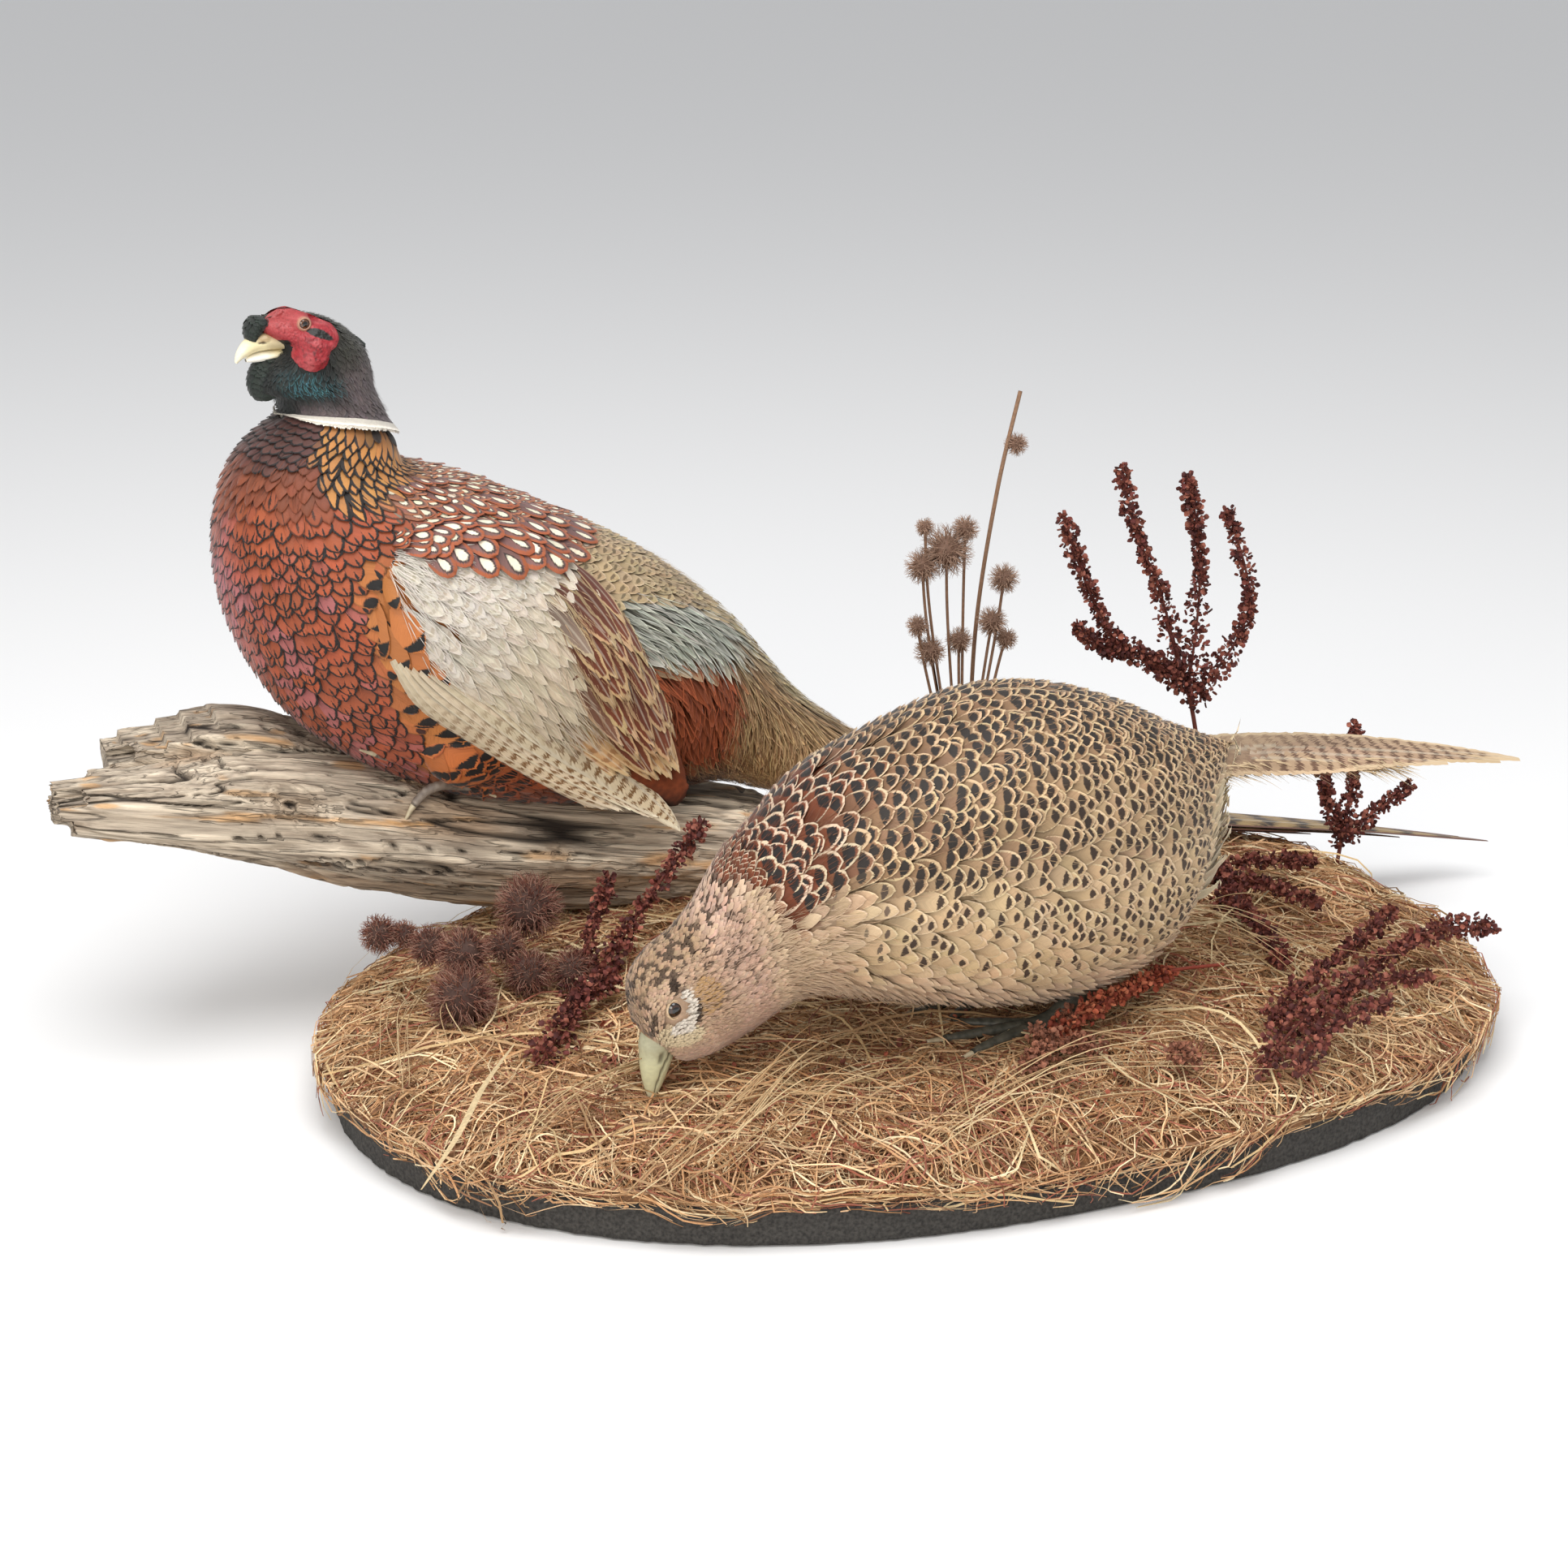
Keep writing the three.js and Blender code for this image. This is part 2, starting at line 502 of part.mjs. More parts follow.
const TALL_DOCK = {
  stem: [[213, 62, 40], [206, 61, 90], [196, 60, 140], [178, 60, 190]],
  racemes: [
    [[190, 60, 150], [176, 60, 200], [158, 60, 240], [149, 60, 272]],
    [[194, 60, 146], [198, 60, 200], [194, 60, 240], [187, 60, 264]],
    [[196, 60, 140], [222, 60, 172], [228, 60, 200], [212, 60, 246]],
    [[184, 60, 160], [150, 60, 180], [130, 60, 215], [117, 60, 249]],
    [[196, 60, 148], [168, 60, 168], [144, 60, 176], [126, 60, 190]],
  ],
};
const SHORT_DOCK = {
  stem: [[298, 66, 30], [302, 66, 60], [306, 66, 84]],
  racemes: [
    [[300, 66, 46], [304, 66, 70], [304, 66, 92], [304, 66, 112]],
    [[300, 66, 44], [316, 66, 56], [330, 66, 64], [342, 66, 72]],
    [[301, 66, 50], [293, 66, 62], [287, 66, 78], [286, 66, 92]],
  ],
};
const LYING_DOCK = [[112, -166, 47], [150, -150, 56], [205, -124, 61], [255, -98, 60], [302, -74, 52]];
const LEANING_DOCK = [[-162, 12, 50], [-140, 22, 66], [-112, 40, 88], [-84, 58, 108]];
const FRONT_DOCK = [[-205, -62, 49], [-186, -40, 58], [-170, -22, 62], [-152, -6, 60]];
const FOOT_DOCK = [[26, -158, 52], [50, -152, 60], [78, -146, 62], [108, -140, 60]];

function dockPlant({ stem, racemes }, radius, bunches) {
  return join([stemOf(stem), ...racemes.map((path) => racemeOf(path, radius, bunches))]);
}

const THISTLE_TWIG = [[59, 50, 40], [61, 50, 120], [63, 49, 200], [73, 49, 270], [84, 48, 321]];
const THISTLE_BUD = { x: 82.5, y: 48, z: 294, radius: 6 };
// Dried flower heads: each stands on its own branch from a shared stalk.
const FLOWER_STALK = [[52, 36, 40], [51, 36, 100], [49, 36, 160]];
const FLOWER_HEADS = [
  { x: 40, z: 246, radius: 13 }, { x: 27, z: 239, radius: 9 }, { x: 28, z: 259, radius: 5 },
  { x: 50, z: 256, radius: 7 }, { x: 72, z: 228, radius: 8 },
  { x: 25, z: 208, radius: 6 }, { x: 32, z: 194, radius: 8 },
  { x: 48, z: 198, radius: 7 },
  { x: 66, z: 206, radius: 8 }, { x: 74, z: 196, radius: 6 },
];
const FLOWER_Y = FLOWER_STALK[0][1];
// Burr heads, out to the tips of their spines.
const BURRS = [
  { x: -226, y: 2, z: 58, radius: 19 }, { x: -219, y: 22, z: 72, radius: 16 },
  { x: -198, y: 24, z: 72, radius: 11 }, { x: -181, y: 40, z: 84, radius: 19 },
  { x: -189, y: 14, z: 60, radius: 14 }, { x: -167, y: 14, z: 58, radius: 13 },
  { x: -231, y: 44, z: 69, radius: 12 }, { x: -240, y: 58, z: 71, radius: 8 },
  { x: -252, y: 60, z: 72, radius: 11 },
];

function flowerBranch({ x, z }) {
  const [, foot, top] = FLOWER_STALK;
  const bend = [top[0] + (x - top[0]) * 0.8, FLOWER_Y, (z + top[2]) / 2];
  return stemOf([foot, bend, [x, FLOWER_Y, z]], STEM_RADIUS, 2);
}

function burrCluster(grow) {
  return join(BURRS.map(({ x, y, z, radius }) => ballOf(x, y, z, radius + grow, 1)));
}

const clearOfAll = [matClear, logClear, trunkClear, wingClear];
const grounded = (solid) => mainPiece(cut(solid, clearOfAll));

const tallDock = grounded(dockPlant(TALL_DOCK, 6.5, 3));
const shortDock = grounded(dockPlant(SHORT_DOCK, 5.5, 3));
const twig = stemOf(THISTLE_TWIG, 1.2, 6);
const bud = ballOf(THISTLE_BUD.x, THISTLE_BUD.y, THISTLE_BUD.z, THISTLE_BUD.radius, 1);
const thistle = grounded(twig.add(bud));
const flowers = grounded(join([
  stemOf(FLOWER_STALK),
  ...FLOWER_HEADS.map(flowerBranch),
  ...FLOWER_HEADS.map(({ x, z, radius }) => ballOf(x, FLOWER_Y, z, radius, radius > 9 ? 1 : 0)),
]));
const burrs = grounded(burrCluster(0));
const burrsClear = burrCluster(2 * GAP);
const lyingDocks = {
  dock_lying: racemeOf(LYING_DOCK, 12, 6),
  dock_leaning: racemeOf(LEANING_DOCK, 8, 5),
  dock_front: racemeOf(FRONT_DOCK, 11, 4),
  dock_by_foot: racemeOf(FOOT_DOCK, 8, 4),
};

// ---- The mount ----------------------------------------------------------------------------------

const mount = new THREE.Group();

function place(name, solid, colour, roughness = 0.85, metalness = 0) {
  const material = new THREE.MeshStandardMaterial({ color: colour, roughness, metalness });
  const mesh = new THREE.Mesh(geometryOf(solid), material);
  mesh.name = name;
  mount.add(mesh);
}

place("base_board", board, COLOURS.board);
place("ground_mat", mat, COLOURS.straw, 0.95);
place("log", log, COLOURS.wood, 0.9);
place("trunk", mainPiece(cut(bodyOf(TRUNK_ROWS, TRUNK_DETAIL), [logClear])), COLOURS.copper, 0.6);
place("neck", neck, COLOURS.darkGreen, 0.5);
place("head", head, COLOURS.darkGreen, 0.5);
place("bill_upper", upperBill, COLOURS.horn, 0.4);
place("bill_lower", lowerBill, COLOURS.horn, 0.4);
place("tail_coverts", coverts, COLOURS.mantle, 0.8);
place("tail", tail, COLOURS.tailBuff, 0.7);
for (const [side, name] of [[-1, "left"], [1, "right"]]) {
  const sided = (solid) => (side < 0 ? solid : mainPiece(cut(mirrored(solid), [trunkClear, logClear])));
  place(`eye_${name}`, cockEye(side, 0), COLOURS.eye, 0.1);
  place(`wattle_${name}`, wattleOf(side), COLOURS.red, 0.6);
  place(`wing_${name}`, sided(leftWing), COLOURS.silver, 0.7);
  place(`primaries_${name}`, sided(leftPrimaries), COLOURS.primary, 0.7);
  place(`leg_${name}`, sided(leftLeg), COLOURS.copper, 0.7);
  place(`foot_${name}`, sided(footOf(side < 0 ? 0 : RIGHT_FOOT_AHEAD)), COLOURS.scale, 0.6);
}
place("hen", hen, COLOURS.hen, 0.8);
place("dock_tall", tallDock, COLOURS.dock, 0.9);
place("dock_short", shortDock, COLOURS.dock, 0.9);
place("thistle_twig", thistle, COLOURS.twig, 0.9);
place("flower_heads", flowers, COLOURS.twig, 0.95);
place("burr_heads", burrs, COLOURS.burr, 0.95);
for (const [name, solid] of Object.entries(lyingDocks)) {
  place(name, grounded(cut(solid, [burrsClear])), COLOURS.dock, 0.9);
}

export default mount;
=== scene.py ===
import math

import bpy
import mathutils
import numpy as np
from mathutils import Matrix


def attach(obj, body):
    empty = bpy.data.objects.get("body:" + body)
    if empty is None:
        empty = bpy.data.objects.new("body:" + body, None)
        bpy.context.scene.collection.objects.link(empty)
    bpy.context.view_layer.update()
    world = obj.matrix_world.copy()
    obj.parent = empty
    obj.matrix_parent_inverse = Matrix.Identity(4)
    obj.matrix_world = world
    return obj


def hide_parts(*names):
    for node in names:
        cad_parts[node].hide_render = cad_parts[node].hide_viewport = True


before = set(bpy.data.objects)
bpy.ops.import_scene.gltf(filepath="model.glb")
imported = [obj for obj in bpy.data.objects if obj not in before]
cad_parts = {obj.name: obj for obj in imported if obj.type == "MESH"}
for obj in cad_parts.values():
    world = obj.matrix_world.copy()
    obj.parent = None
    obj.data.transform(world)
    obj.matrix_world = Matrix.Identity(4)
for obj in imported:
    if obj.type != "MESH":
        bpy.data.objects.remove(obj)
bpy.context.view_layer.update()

MM = 0.001  # shapes are worked out in millimetres and made in metres

# ---- Camera, floor and light --------------------------------------------------------------------

CAMERA_PLACE = (-0.539, -1.259, 0.637)
CAMERA_TURN = 20.8  # degrees to the right of straight ahead
CAMERA_DOWN = 20.0
FIELD_OF_VIEW = 30.0
SENSOR = 36.0
FLOOR_SIZE = 24.0
# Name, place, target, size in metres, watts and colour of each light.
LIGHTS = [
    ("overhead", (-0.3, -0.5, 1.9), (0, 0, 0.1), (1.8, 1.4), 33, "#ffffff"),
    ("front", (-1.4, -1.6, 0.9), (0, 0, 0.15), (1.2, 1.0), 17, "#fff8ee"),
]


def linear(colour):
    """An sRGB hex colour as linear red, green and blue."""
    values = np.array([int(colour[k:k + 2], 16) / 255 for k in (1, 3, 5)])
    return np.where(values <= 0.04045, values / 12.92, ((values + 0.055) / 1.055) ** 2.4)


def palette(colours):
    return np.array([linear(colour) for colour in colours])


def rgba(colour):
    return (*linear(colour), 1.0)


def add(tree, kind, inputs=(), **settings):
    """A node of this kind with its settings. Its inputs, by name or in order, are values, sockets, or
    nodes whose first output is meant. None leaves an input as it is."""
    made = tree.nodes.new(kind)
    for name, value in settings.items():
        setattr(made, name, value)
    for name, value in (inputs if isinstance(inputs, dict) else dict(enumerate(inputs))).items():
        if isinstance(value, bpy.types.Node):
            value = value.outputs[0]
        if isinstance(value, bpy.types.NodeSocket):
            tree.links.new(value, made.inputs[name])
        elif value is not None:
            made.inputs[name].default_value = value
    return made


def calc(tree, operation, *inputs):
    """A math node over sockets and numbers."""
    return add(tree, "ShaderNodeMath", inputs, operation=operation)


def blend(tree, share, one, other):
    """The colour of one, turning to the other's where the share is 1."""
    return add(tree, "ShaderNodeMix", {0: share, 6: one, 7: other}, data_type="RGBA").outputs[2]


def new_material(name):
    material = bpy.data.materials.new(name)
    material.use_nodes = True
    material.node_tree.nodes.clear()
    return material, material.node_tree


def aim(thing, place, target):
    thing.location = place
    direction = np.array(target) - np.array(place)
    flat = math.hypot(direction[0], direction[1])
    thing.rotation_euler = (math.atan2(flat, -direction[2]), 0, math.atan2(-direction[0], direction[1]))


def make_camera():
    data = bpy.data.cameras.new("camera")
    data.sensor_width = SENSOR
    data.lens = SENSOR / 2 / math.tan(math.radians(FIELD_OF_VIEW / 2))
    data.dof.use_dof = False
    camera = bpy.data.objects.new("camera", data)
    camera.location = CAMERA_PLACE
    camera.rotation_euler = (math.radians(90 - CAMERA_DOWN), 0, math.radians(-CAMERA_TURN))
    bpy.context.scene.collection.objects.link(camera)
    bpy.context.scene.camera = camera


def make_light(name, place, target, size, power, colour):
    data = bpy.data.lights.new(name, "AREA")
    data.shape = "RECTANGLE"
    data.size, data.size_y = size
    data.energy = power
    data.color = linear(colour)
    lamp = bpy.data.objects.new(name, data)
    aim(lamp, place, target)
    bpy.context.scene.collection.objects.link(lamp)


def make_studio():
    """Pale paper floor under a large soft light from above and a weaker one from the front."""
    bpy.ops.mesh.primitive_plane_add(size=FLOOR_SIZE)
    floor = bpy.context.object
    floor.name = "floor"
    material, tree = new_material("matt white paper")
    paper = add(tree, "ShaderNodeBsdfPrincipled", {"Base Color": rgba("#f6f6f6"), "Roughness": 0.9})
    add(tree, "ShaderNodeOutputMaterial", {"Surface": paper.outputs[0]})
    floor.data.materials.append(material)
    world = bpy.data.worlds.new("studio")
    bpy.context.scene.world = world
    world.use_nodes = True
    tree = world.node_tree
    tree.nodes.clear()
    air = add(tree, "ShaderNodeBackground", {"Color": rgba("#f2f3f5"), "Strength": 0.6})
    add(tree, "ShaderNodeOutputWorld", {"Surface": air.outputs[0]})
    for row in LIGHTS:
        make_light(*row)
    bpy.context.scene.view_settings.view_transform = "Standard"


# ---- Curves, noise and surfaces -----------------------------------------------------------------


def smooth(low, high, x):
    """0 below low, 1 above high and a soft step between."""
    t = np.clip((np.asarray(x, float) - low) / (high - low), 0, 1)
    return t * t * (3 - 2 * t)


def mixed(a, b, share):
    return a + (b - a) * np.asarray(share, float)[..., None]


def painted(tone, *coats):
    """Colours of a grid of places. Each coat is a colour in hex and the share that it covers."""
    for colour, share in coats:
        tone = mixed(tone, linear(colour), share)
    return tone


def picked(mask, *columns):
    return tuple(column[mask] for column in columns)


def soft_power(value, power):
    return np.sign(value) * np.abs(value) ** power


def noise(points, size, seed=0, squeeze=(1, 1, 1)):
    """Smooth random values from -1 to 1 over space, in lumps of the given size. A squeeze under 1
    draws them out along that axis."""
    places = np.asarray(points, float) * np.array(squeeze, float) / size
    cell = np.floor(places).astype(np.int64)
    part = places - cell
    part = part * part * (3 - 2 * part)
    total = np.zeros(places.shape[:-1])
    for corner in range(8):
        step = np.array([corner & 1, corner >> 1 & 1, corner >> 2 & 1])
        key = (cell + step) @ np.array([73856093, 19349663, 83492791]) + seed * 7919
        key = (key ^ (key >> 13)) * 1274126177 & 0x7FFFFFFF
        value = (key ^ (key >> 16)) % 65536 / 32767.5 - 1
        total += value * np.prod(np.where(step, part, 1 - part), axis=-1)
    return total


def along(rows, t):
    """Rows of numbers at t, from 0 to 1, on the smooth curve through a list of rows."""
    rows = np.asarray(rows, float)
    place = np.clip(np.asarray(t, float), 0, 1) * (len(rows) - 1)
    i = np.minimum(place.astype(int), len(rows) - 2)
    f = (place - i)[..., None]
    a, b, c, d = (rows[np.clip(i + k, 0, len(rows) - 1)] for k in (-1, 0, 1, 2))
    return b + 0.5 * f * (c - a + f * (2 * a - 5 * b + 4 * c - d + f * (3 * (b - c) + d - a)))


def unit(vectors):
    return vectors / np.maximum(np.linalg.norm(vectors, axis=-1, keepdims=True), 1e-9)


def turned(points, degrees, pivot=(0, 0, 0)):
    """Points turned about the vertical through the pivot."""
    angle = np.radians(degrees)
    moved = np.asarray(points, float) - np.asarray(pivot, float)
    x = moved[..., 0] * np.cos(angle) - moved[..., 1] * np.sin(angle)
    y = moved[..., 0] * np.sin(angle) + moved[..., 1] * np.cos(angle)
    return np.stack([x, y, moved[..., 2]], axis=-1) + np.asarray(pivot, float)


class Form:
    """A lofted surface: u runs from its front end to its back end, v once round it from the top."""

    def __init__(self, grid, depth=(0.0,)):
        across_u = np.gradient(grid, axis=0) * (grid.shape[0] - 1)
        wrapped = np.concatenate([grid[:, -2:-1], grid, grid[:, 1:2]], axis=1)
        across_v = np.gradient(wrapped, axis=1)[:, 1:-1] * (grid.shape[1] - 1)
        normal = unit(np.cross(across_u, across_v))
        middle = grid[:, :-1].mean(axis=1, keepdims=True)
        if np.sum(normal * (grid - middle)) < 0:
            normal = -normal
        self.grid = grid
        self.depth = np.asarray(depth, float)
        self.table = np.concatenate([grid, normal, across_u, across_v], axis=-1)

    def depth_at(self, u):
        """How far the form lies inside the tips of its coat."""
        return np.interp(u, np.linspace(0, 1, len(self.depth)), self.depth)

    def at(self, u, v):
        """Point, outward normal and the two tangents per unit of u and v. It runs straight past its ends."""
        rows, columns = self.table.shape[0] - 1, self.table.shape[1] - 1
        inside = np.clip(u, 0, 1)
        x, y = inside * rows, (v % 1) * columns
        i, j = np.minimum(x.astype(int), rows - 1), np.minimum(y.astype(int), columns - 1)
        f, g = (x - i)[..., None], (y - j)[..., None]
        near = self.table[i, j] * (1 - f) + self.table[i + 1, j] * f
        far = self.table[i, j + 1] * (1 - f) + self.table[i + 1, j + 1] * f
        value = near * (1 - g) + far * g
        point = value[..., :3] + (u - inside)[..., None] * value[..., 6:9]
        return point, unit(value[..., 3:6]), value[..., 6:9], value[..., 9:]

    def per_u(self, u, v):
        """Millimetres along the form for each unit of u."""
        return np.linalg.norm(self.at(u, v)[2], axis=-1)


BODY_GRID = (260, 144)
FULLNESS = 0.9  # of a section: 1 is an ellipse and less is fuller


def sections(rows, y=0, turn=0):
    """Cross-sections that share the y of their middle and their turn."""
    return [[*row, y, turn] for row in rows]


def body_form(rows, depth=0.0, pivot=(0, 0, 0)):
    """A form from cross-sections: topX, topZ, bottomX, bottomZ, half width, y of its middle and turn.
    It lies inside them by the depth, which may be one number or one for each section."""
    t = np.linspace(0, 1, BODY_GRID[0])
    row = along(rows, t)[:, None, :]
    depth = np.interp(t, np.linspace(0, 1, len(rows)), np.broadcast_to(depth, len(rows)))
    angle = np.linspace(0, 2 * np.pi, BODY_GRID[1])[None, :]
    centre = np.stack([(row[..., 0] + row[..., 2]) / 2, row[..., 5], (row[..., 1] + row[..., 3]) / 2], -1)
    rise = np.stack([(row[..., 0] - row[..., 2]) / 2, 0 * row[..., 0], (row[..., 1] - row[..., 3]) / 2], -1)
    reach = np.linalg.norm(rise, axis=-1, keepdims=True)
    rise = rise * np.maximum(reach - depth[:, None, None], 0.5) / reach
    points = centre + rise * soft_power(np.cos(angle), FULLNESS)[..., None]
    points[..., 1] += np.maximum(row[..., 4] - depth[:, None], 0.5) * soft_power(np.sin(angle), FULLNESS)
    return Form(turned(points, np.broadcast_to(row[..., 6], points.shape[:2]), pivot), depth)


def limb_form(rows, hint=(0, 1, 0), size=(60, 33), depth=0.0):
    """A form along a path: x, y, z and the half sizes of its oval section, the first along the hint."""
    t = np.linspace(0, 1, size[0])
    row = along(rows, t)
    tangent = unit(along(rows, t + 0.01)[:, :3] - along(rows, t - 0.01)[:, :3])
    side = unit(np.asarray(hint, float) - tangent * (tangent @ np.asarray(hint, float))[:, None])
    lift = np.cross(tangent, side)
    angle = np.linspace(0, 2 * np.pi, size[1])
    wide, deep = (np.maximum(row[:, k:k + 1] - depth, 0.2) for k in (3, 4))
    points = row[:, None, :3] + side[:, None] * (np.cos(angle) * wide)[..., None]
    points = points + lift[:, None] * (np.sin(angle) * deep)[..., None]
    return Form(points, np.full(size[0], depth))


# ---- The bodies, on the same sections as their solids --------------------------------------------

COCK_Y = 140
HEAD_TURN = 14
HEAD_PIVOT = (-252, COCK_Y, 0)

# Sections from the forehead to the ends of the tail coverts.
HEAD_ROWS = sections([
    [-284, 366.5, -279, 359.5, 6.5], [-277, 368.6, -272, 353, 11], [-267, 369, -270, 351, 14.5],
    [-257, 367.8, -271, 350, 17], [-246, 364.5, -273, 349, 19], [-235.5, 358, -276, 347, 20.5],
    [-227, 348.5, -282, 343, 21.5], [-223.5, 338, -286, 334, 22.5],
], COCK_Y, HEAD_TURN)
NECK_ROWS = [
    [-223, 328, -276, 330, 25, COCK_Y, 10], [-218, 316, -272, 323, 27, COCK_Y, 7],
    [-213, 303, -275, 316, 31, COCK_Y, 3], [-210, 290, -293, 301, 40, COCK_Y, 1],
]
TRUNK_ROWS = sections([
    [-199, 284, -305, 277, 50], [-175, 277, -308, 241, 60], [-147, 265, -300, 205, 67],
    [-116, 250, -278, 167, 71], [-86, 233, -244, 139, 71], [-61, 214, -203, 119, 68],
    [-38, 192, -153, 107, 60], [-19, 168, -106, 105, 49], [-2, 147, -62, 107, 39],
], COCK_Y)
COVERT_ROWS = [
    [18, 129, -30, 99, 35, COCK_Y - 1, 0], [44, 111, 8, 87, 31, COCK_Y - 4, 0],
    [74, 97, 52, 78, 27, COCK_Y - 9, 0], [104, 87, 92, 73, 20, COCK_Y - 15, 0],
    [132, 79, 126, 72, 9, COCK_Y - 21, 0],
]
COCK_ROWS = HEAD_ROWS + NECK_ROWS + TRUNK_ROWS + COVERT_ROWS
# The drooped left wing, from the shoulder to its tip: the same numbers, its top being the back edge.
WING_ROWS = [
    [-226, 266, -248, 232, 22, 95, 0], [-205, 270, -246, 206, 30, 96, 0], [-172, 264, -228, 180, 32, 95, 0],
    [-140, 247, -203, 163, 32, 95, 0], [-117, 222, -175, 147, 30, 94, 0], [-101, 193, -146, 130, 24, 92, 0],
    [-89, 161, -118, 116, 16, 88, 0], [-80, 129, -96, 107, 7, 84, 0], [-77, 112, -84, 104, 2.5, 82, 0],
]
PRIMARY_ROWS = [
    [-232, 222, -240, 209, 14, 83, 0], [-210, 206, -227, 183, 14, 79, 0], [-178, 185, -198, 159, 13, 78, 0],
    [-144, 161, -163, 134, 10, 79, 0], [-114, 138, -129, 112, 6, 81, 0], [-92, 114, -102, 95, 3, 81, 0],
    [-84, 98, -88, 91, 1.2, 81, 0],
]
HEN_PLACE = (0, -92, 0)
HEN_TURN = 5
# Sections of the hen from the forehead to the root of her tail, in her own plane.
HEN_ROWS = sections([
    [-173, 79, -155, 63, 8.5], [-176, 93, -151, 61, 12], [-175.5, 106, -146, 61, 15],
    [-167, 117, -138, 62, 17], [-154, 125, -128, 66, 18.5], [-141, 137, -118, 71, 21.5],
    [-130, 151, -111, 76, 26], [-117, 164, -105, 81, 33], [-99, 176, -98, 85, 42],
    [-76, 191, -86, 86, 53], [-38, 205, -54, 76, 61], [4, 216, -7, 63, 65], [42, 213, 41, 58, 62],
    [76, 201, 85, 67, 51], [102, 187, 111, 93, 36], [121, 178, 122, 124, 22], [133, 172, 129, 150, 9],
])


def in_hen_place(points):
    """Points of the hen's own plane, turned and moved to her place."""
    return turned(points, HEN_TURN) + np.array(HEN_PLACE)


def hen_form(depth):
    loft = body_form(HEN_ROWS, depth)
    return Form(in_hen_place(loft.grid), loft.depth)


# ---- Meshes and materials ------------------------------------------------------------------------

RANGE, NOISE, SURFACE = "ShaderNodeMapRange", "ShaderNodeTexNoise", "ShaderNodeBsdfPrincipled"


def place_piece(name, mesh, replaced):
    """A mesh as a piece of the still body and the CAD nodes that it stands for."""
    piece = bpy.data.objects.new(name, mesh)
    bpy.context.scene.collection.objects.link(piece)
    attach(piece, "root")
    if replaced:
        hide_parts(*replaced)


def make_piece(name, part, material, replaced=(), tone=None, maps=None, colours=None):
    """A mesh piece of the object from a part, which is points in millimetres and quads. Tone is the
    paint of each point, maps its place on each UV map, and colours any other four numbers of it."""
    points, faces = part
    if tone is not None:
        tone = np.asarray(tone).reshape(-1, 3)
        colours = {"Paint": np.hstack([tone, np.ones((len(tone), 1))])}
    mesh = bpy.data.meshes.new(name)
    corners = np.ascontiguousarray(faces, np.int32).ravel()
    mesh.vertices.add(len(points))
    mesh.vertices.foreach_set("co", (np.asarray(points) * MM).astype(np.float32).ravel())
    mesh.loops.add(len(corners))
    mesh.loops.foreach_set("vertex_index", corners)
    mesh.polygons.add(len(faces))
    mesh.polygons.foreach_set("loop_start", np.arange(0, len(corners), 4, dtype=np.int32))
    mesh.update(calc_edges=True)
    for title, places in (maps or {}).items():
        layer = mesh.uv_layers.new(name=title)
        layer.uv.foreach_set("vector", np.asarray(places, np.float32)[corners].ravel())
    for title, values in (colours or {}).items():
        layer = mesh.color_attributes.new(title, "FLOAT_COLOR", "POINT")
        layer.data.foreach_set("color", np.asarray(values, np.float32).ravel())
    mesh.shade_smooth()
    mesh.materials.append(material)
    place_piece(name, mesh, replaced)


def grid_faces(rows, columns, closed=False):
    """Quads over a grid of points, joined round its columns if closed."""
    i, j = np.meshgrid(np.arange(rows - 1), np.arange(columns if closed else columns - 1), indexing="ij")
    i, j, k = i.ravel(), j.ravel(), (j.ravel() + 1) % columns
    return np.stack([i * columns + j, (i + 1) * columns + j, (i + 1) * columns + k, i * columns + k], 1)


def many_grids(points, closed=False):
    """Points and quads of many like grids: points has the axes grid, row, column and x, y, z."""
    count, rows, columns, _ = points.shape
    faces = grid_faces(rows, columns, closed)[None] + (np.arange(count) * rows * columns)[:, None, None]
    return points.reshape(-1, 3), faces.reshape(-1, 4)


def joined(parts):
    """Points and faces of several meshes as one."""
    offsets = np.cumsum([0] + [len(points) for points, _ in parts])
    points = np.concatenate([points for points, _ in parts])
    faces = np.concatenate([faces + start for (_, faces), start in zip(parts, offsets)])
    return points, faces


class Heap:
    """Parts and the colour of each of their points, gathered to be one piece."""

    def __init__(self):
        self.parts, self.tones = [], []

    def add(self, part, tone):
        """The tone is one colour for the whole part or one for each point."""
        self.parts.append(part)
        self.tones.append(np.broadcast_to(tone, (len(part[0]), 3)))

    def make(self, name, material, replaced=(), lowest=-np.inf):
        points, faces = joined(self.parts)
        points[:, 2] = np.maximum(points[:, 2], lowest)
        make_piece(name, (points, faces), material, replaced, np.concatenate(self.tones))


def mirrored(points):
    """The same points on the other side of the cock's middle plane."""
    return points * np.array([1, -1, 1]) + np.array([0, 2 * COCK_Y, 0])


def tubes(paths, radii, sides=4):
    """Round lengths along many paths: paths has the axes path, point and x, y, z."""
    tangent = unit(np.gradient(paths, axis=1))
    hint = np.where(np.abs(tangent[..., 2:]) < 0.8, np.array([0.0, 0, 1]), np.array([1.0, 0, 0]))
    side = unit(np.cross(tangent, hint))
    lift = np.cross(tangent, side)
    angle = 2 * np.pi * np.arange(sides) / sides
    radii = np.broadcast_to(radii, paths.shape[:2])[..., None, None]
    ring = side[:, :, None] * np.cos(angle)[:, None] + lift[:, :, None] * np.sin(angle)[:, None]
    return many_grids(paths[:, :, None] + radii * ring, closed=True)


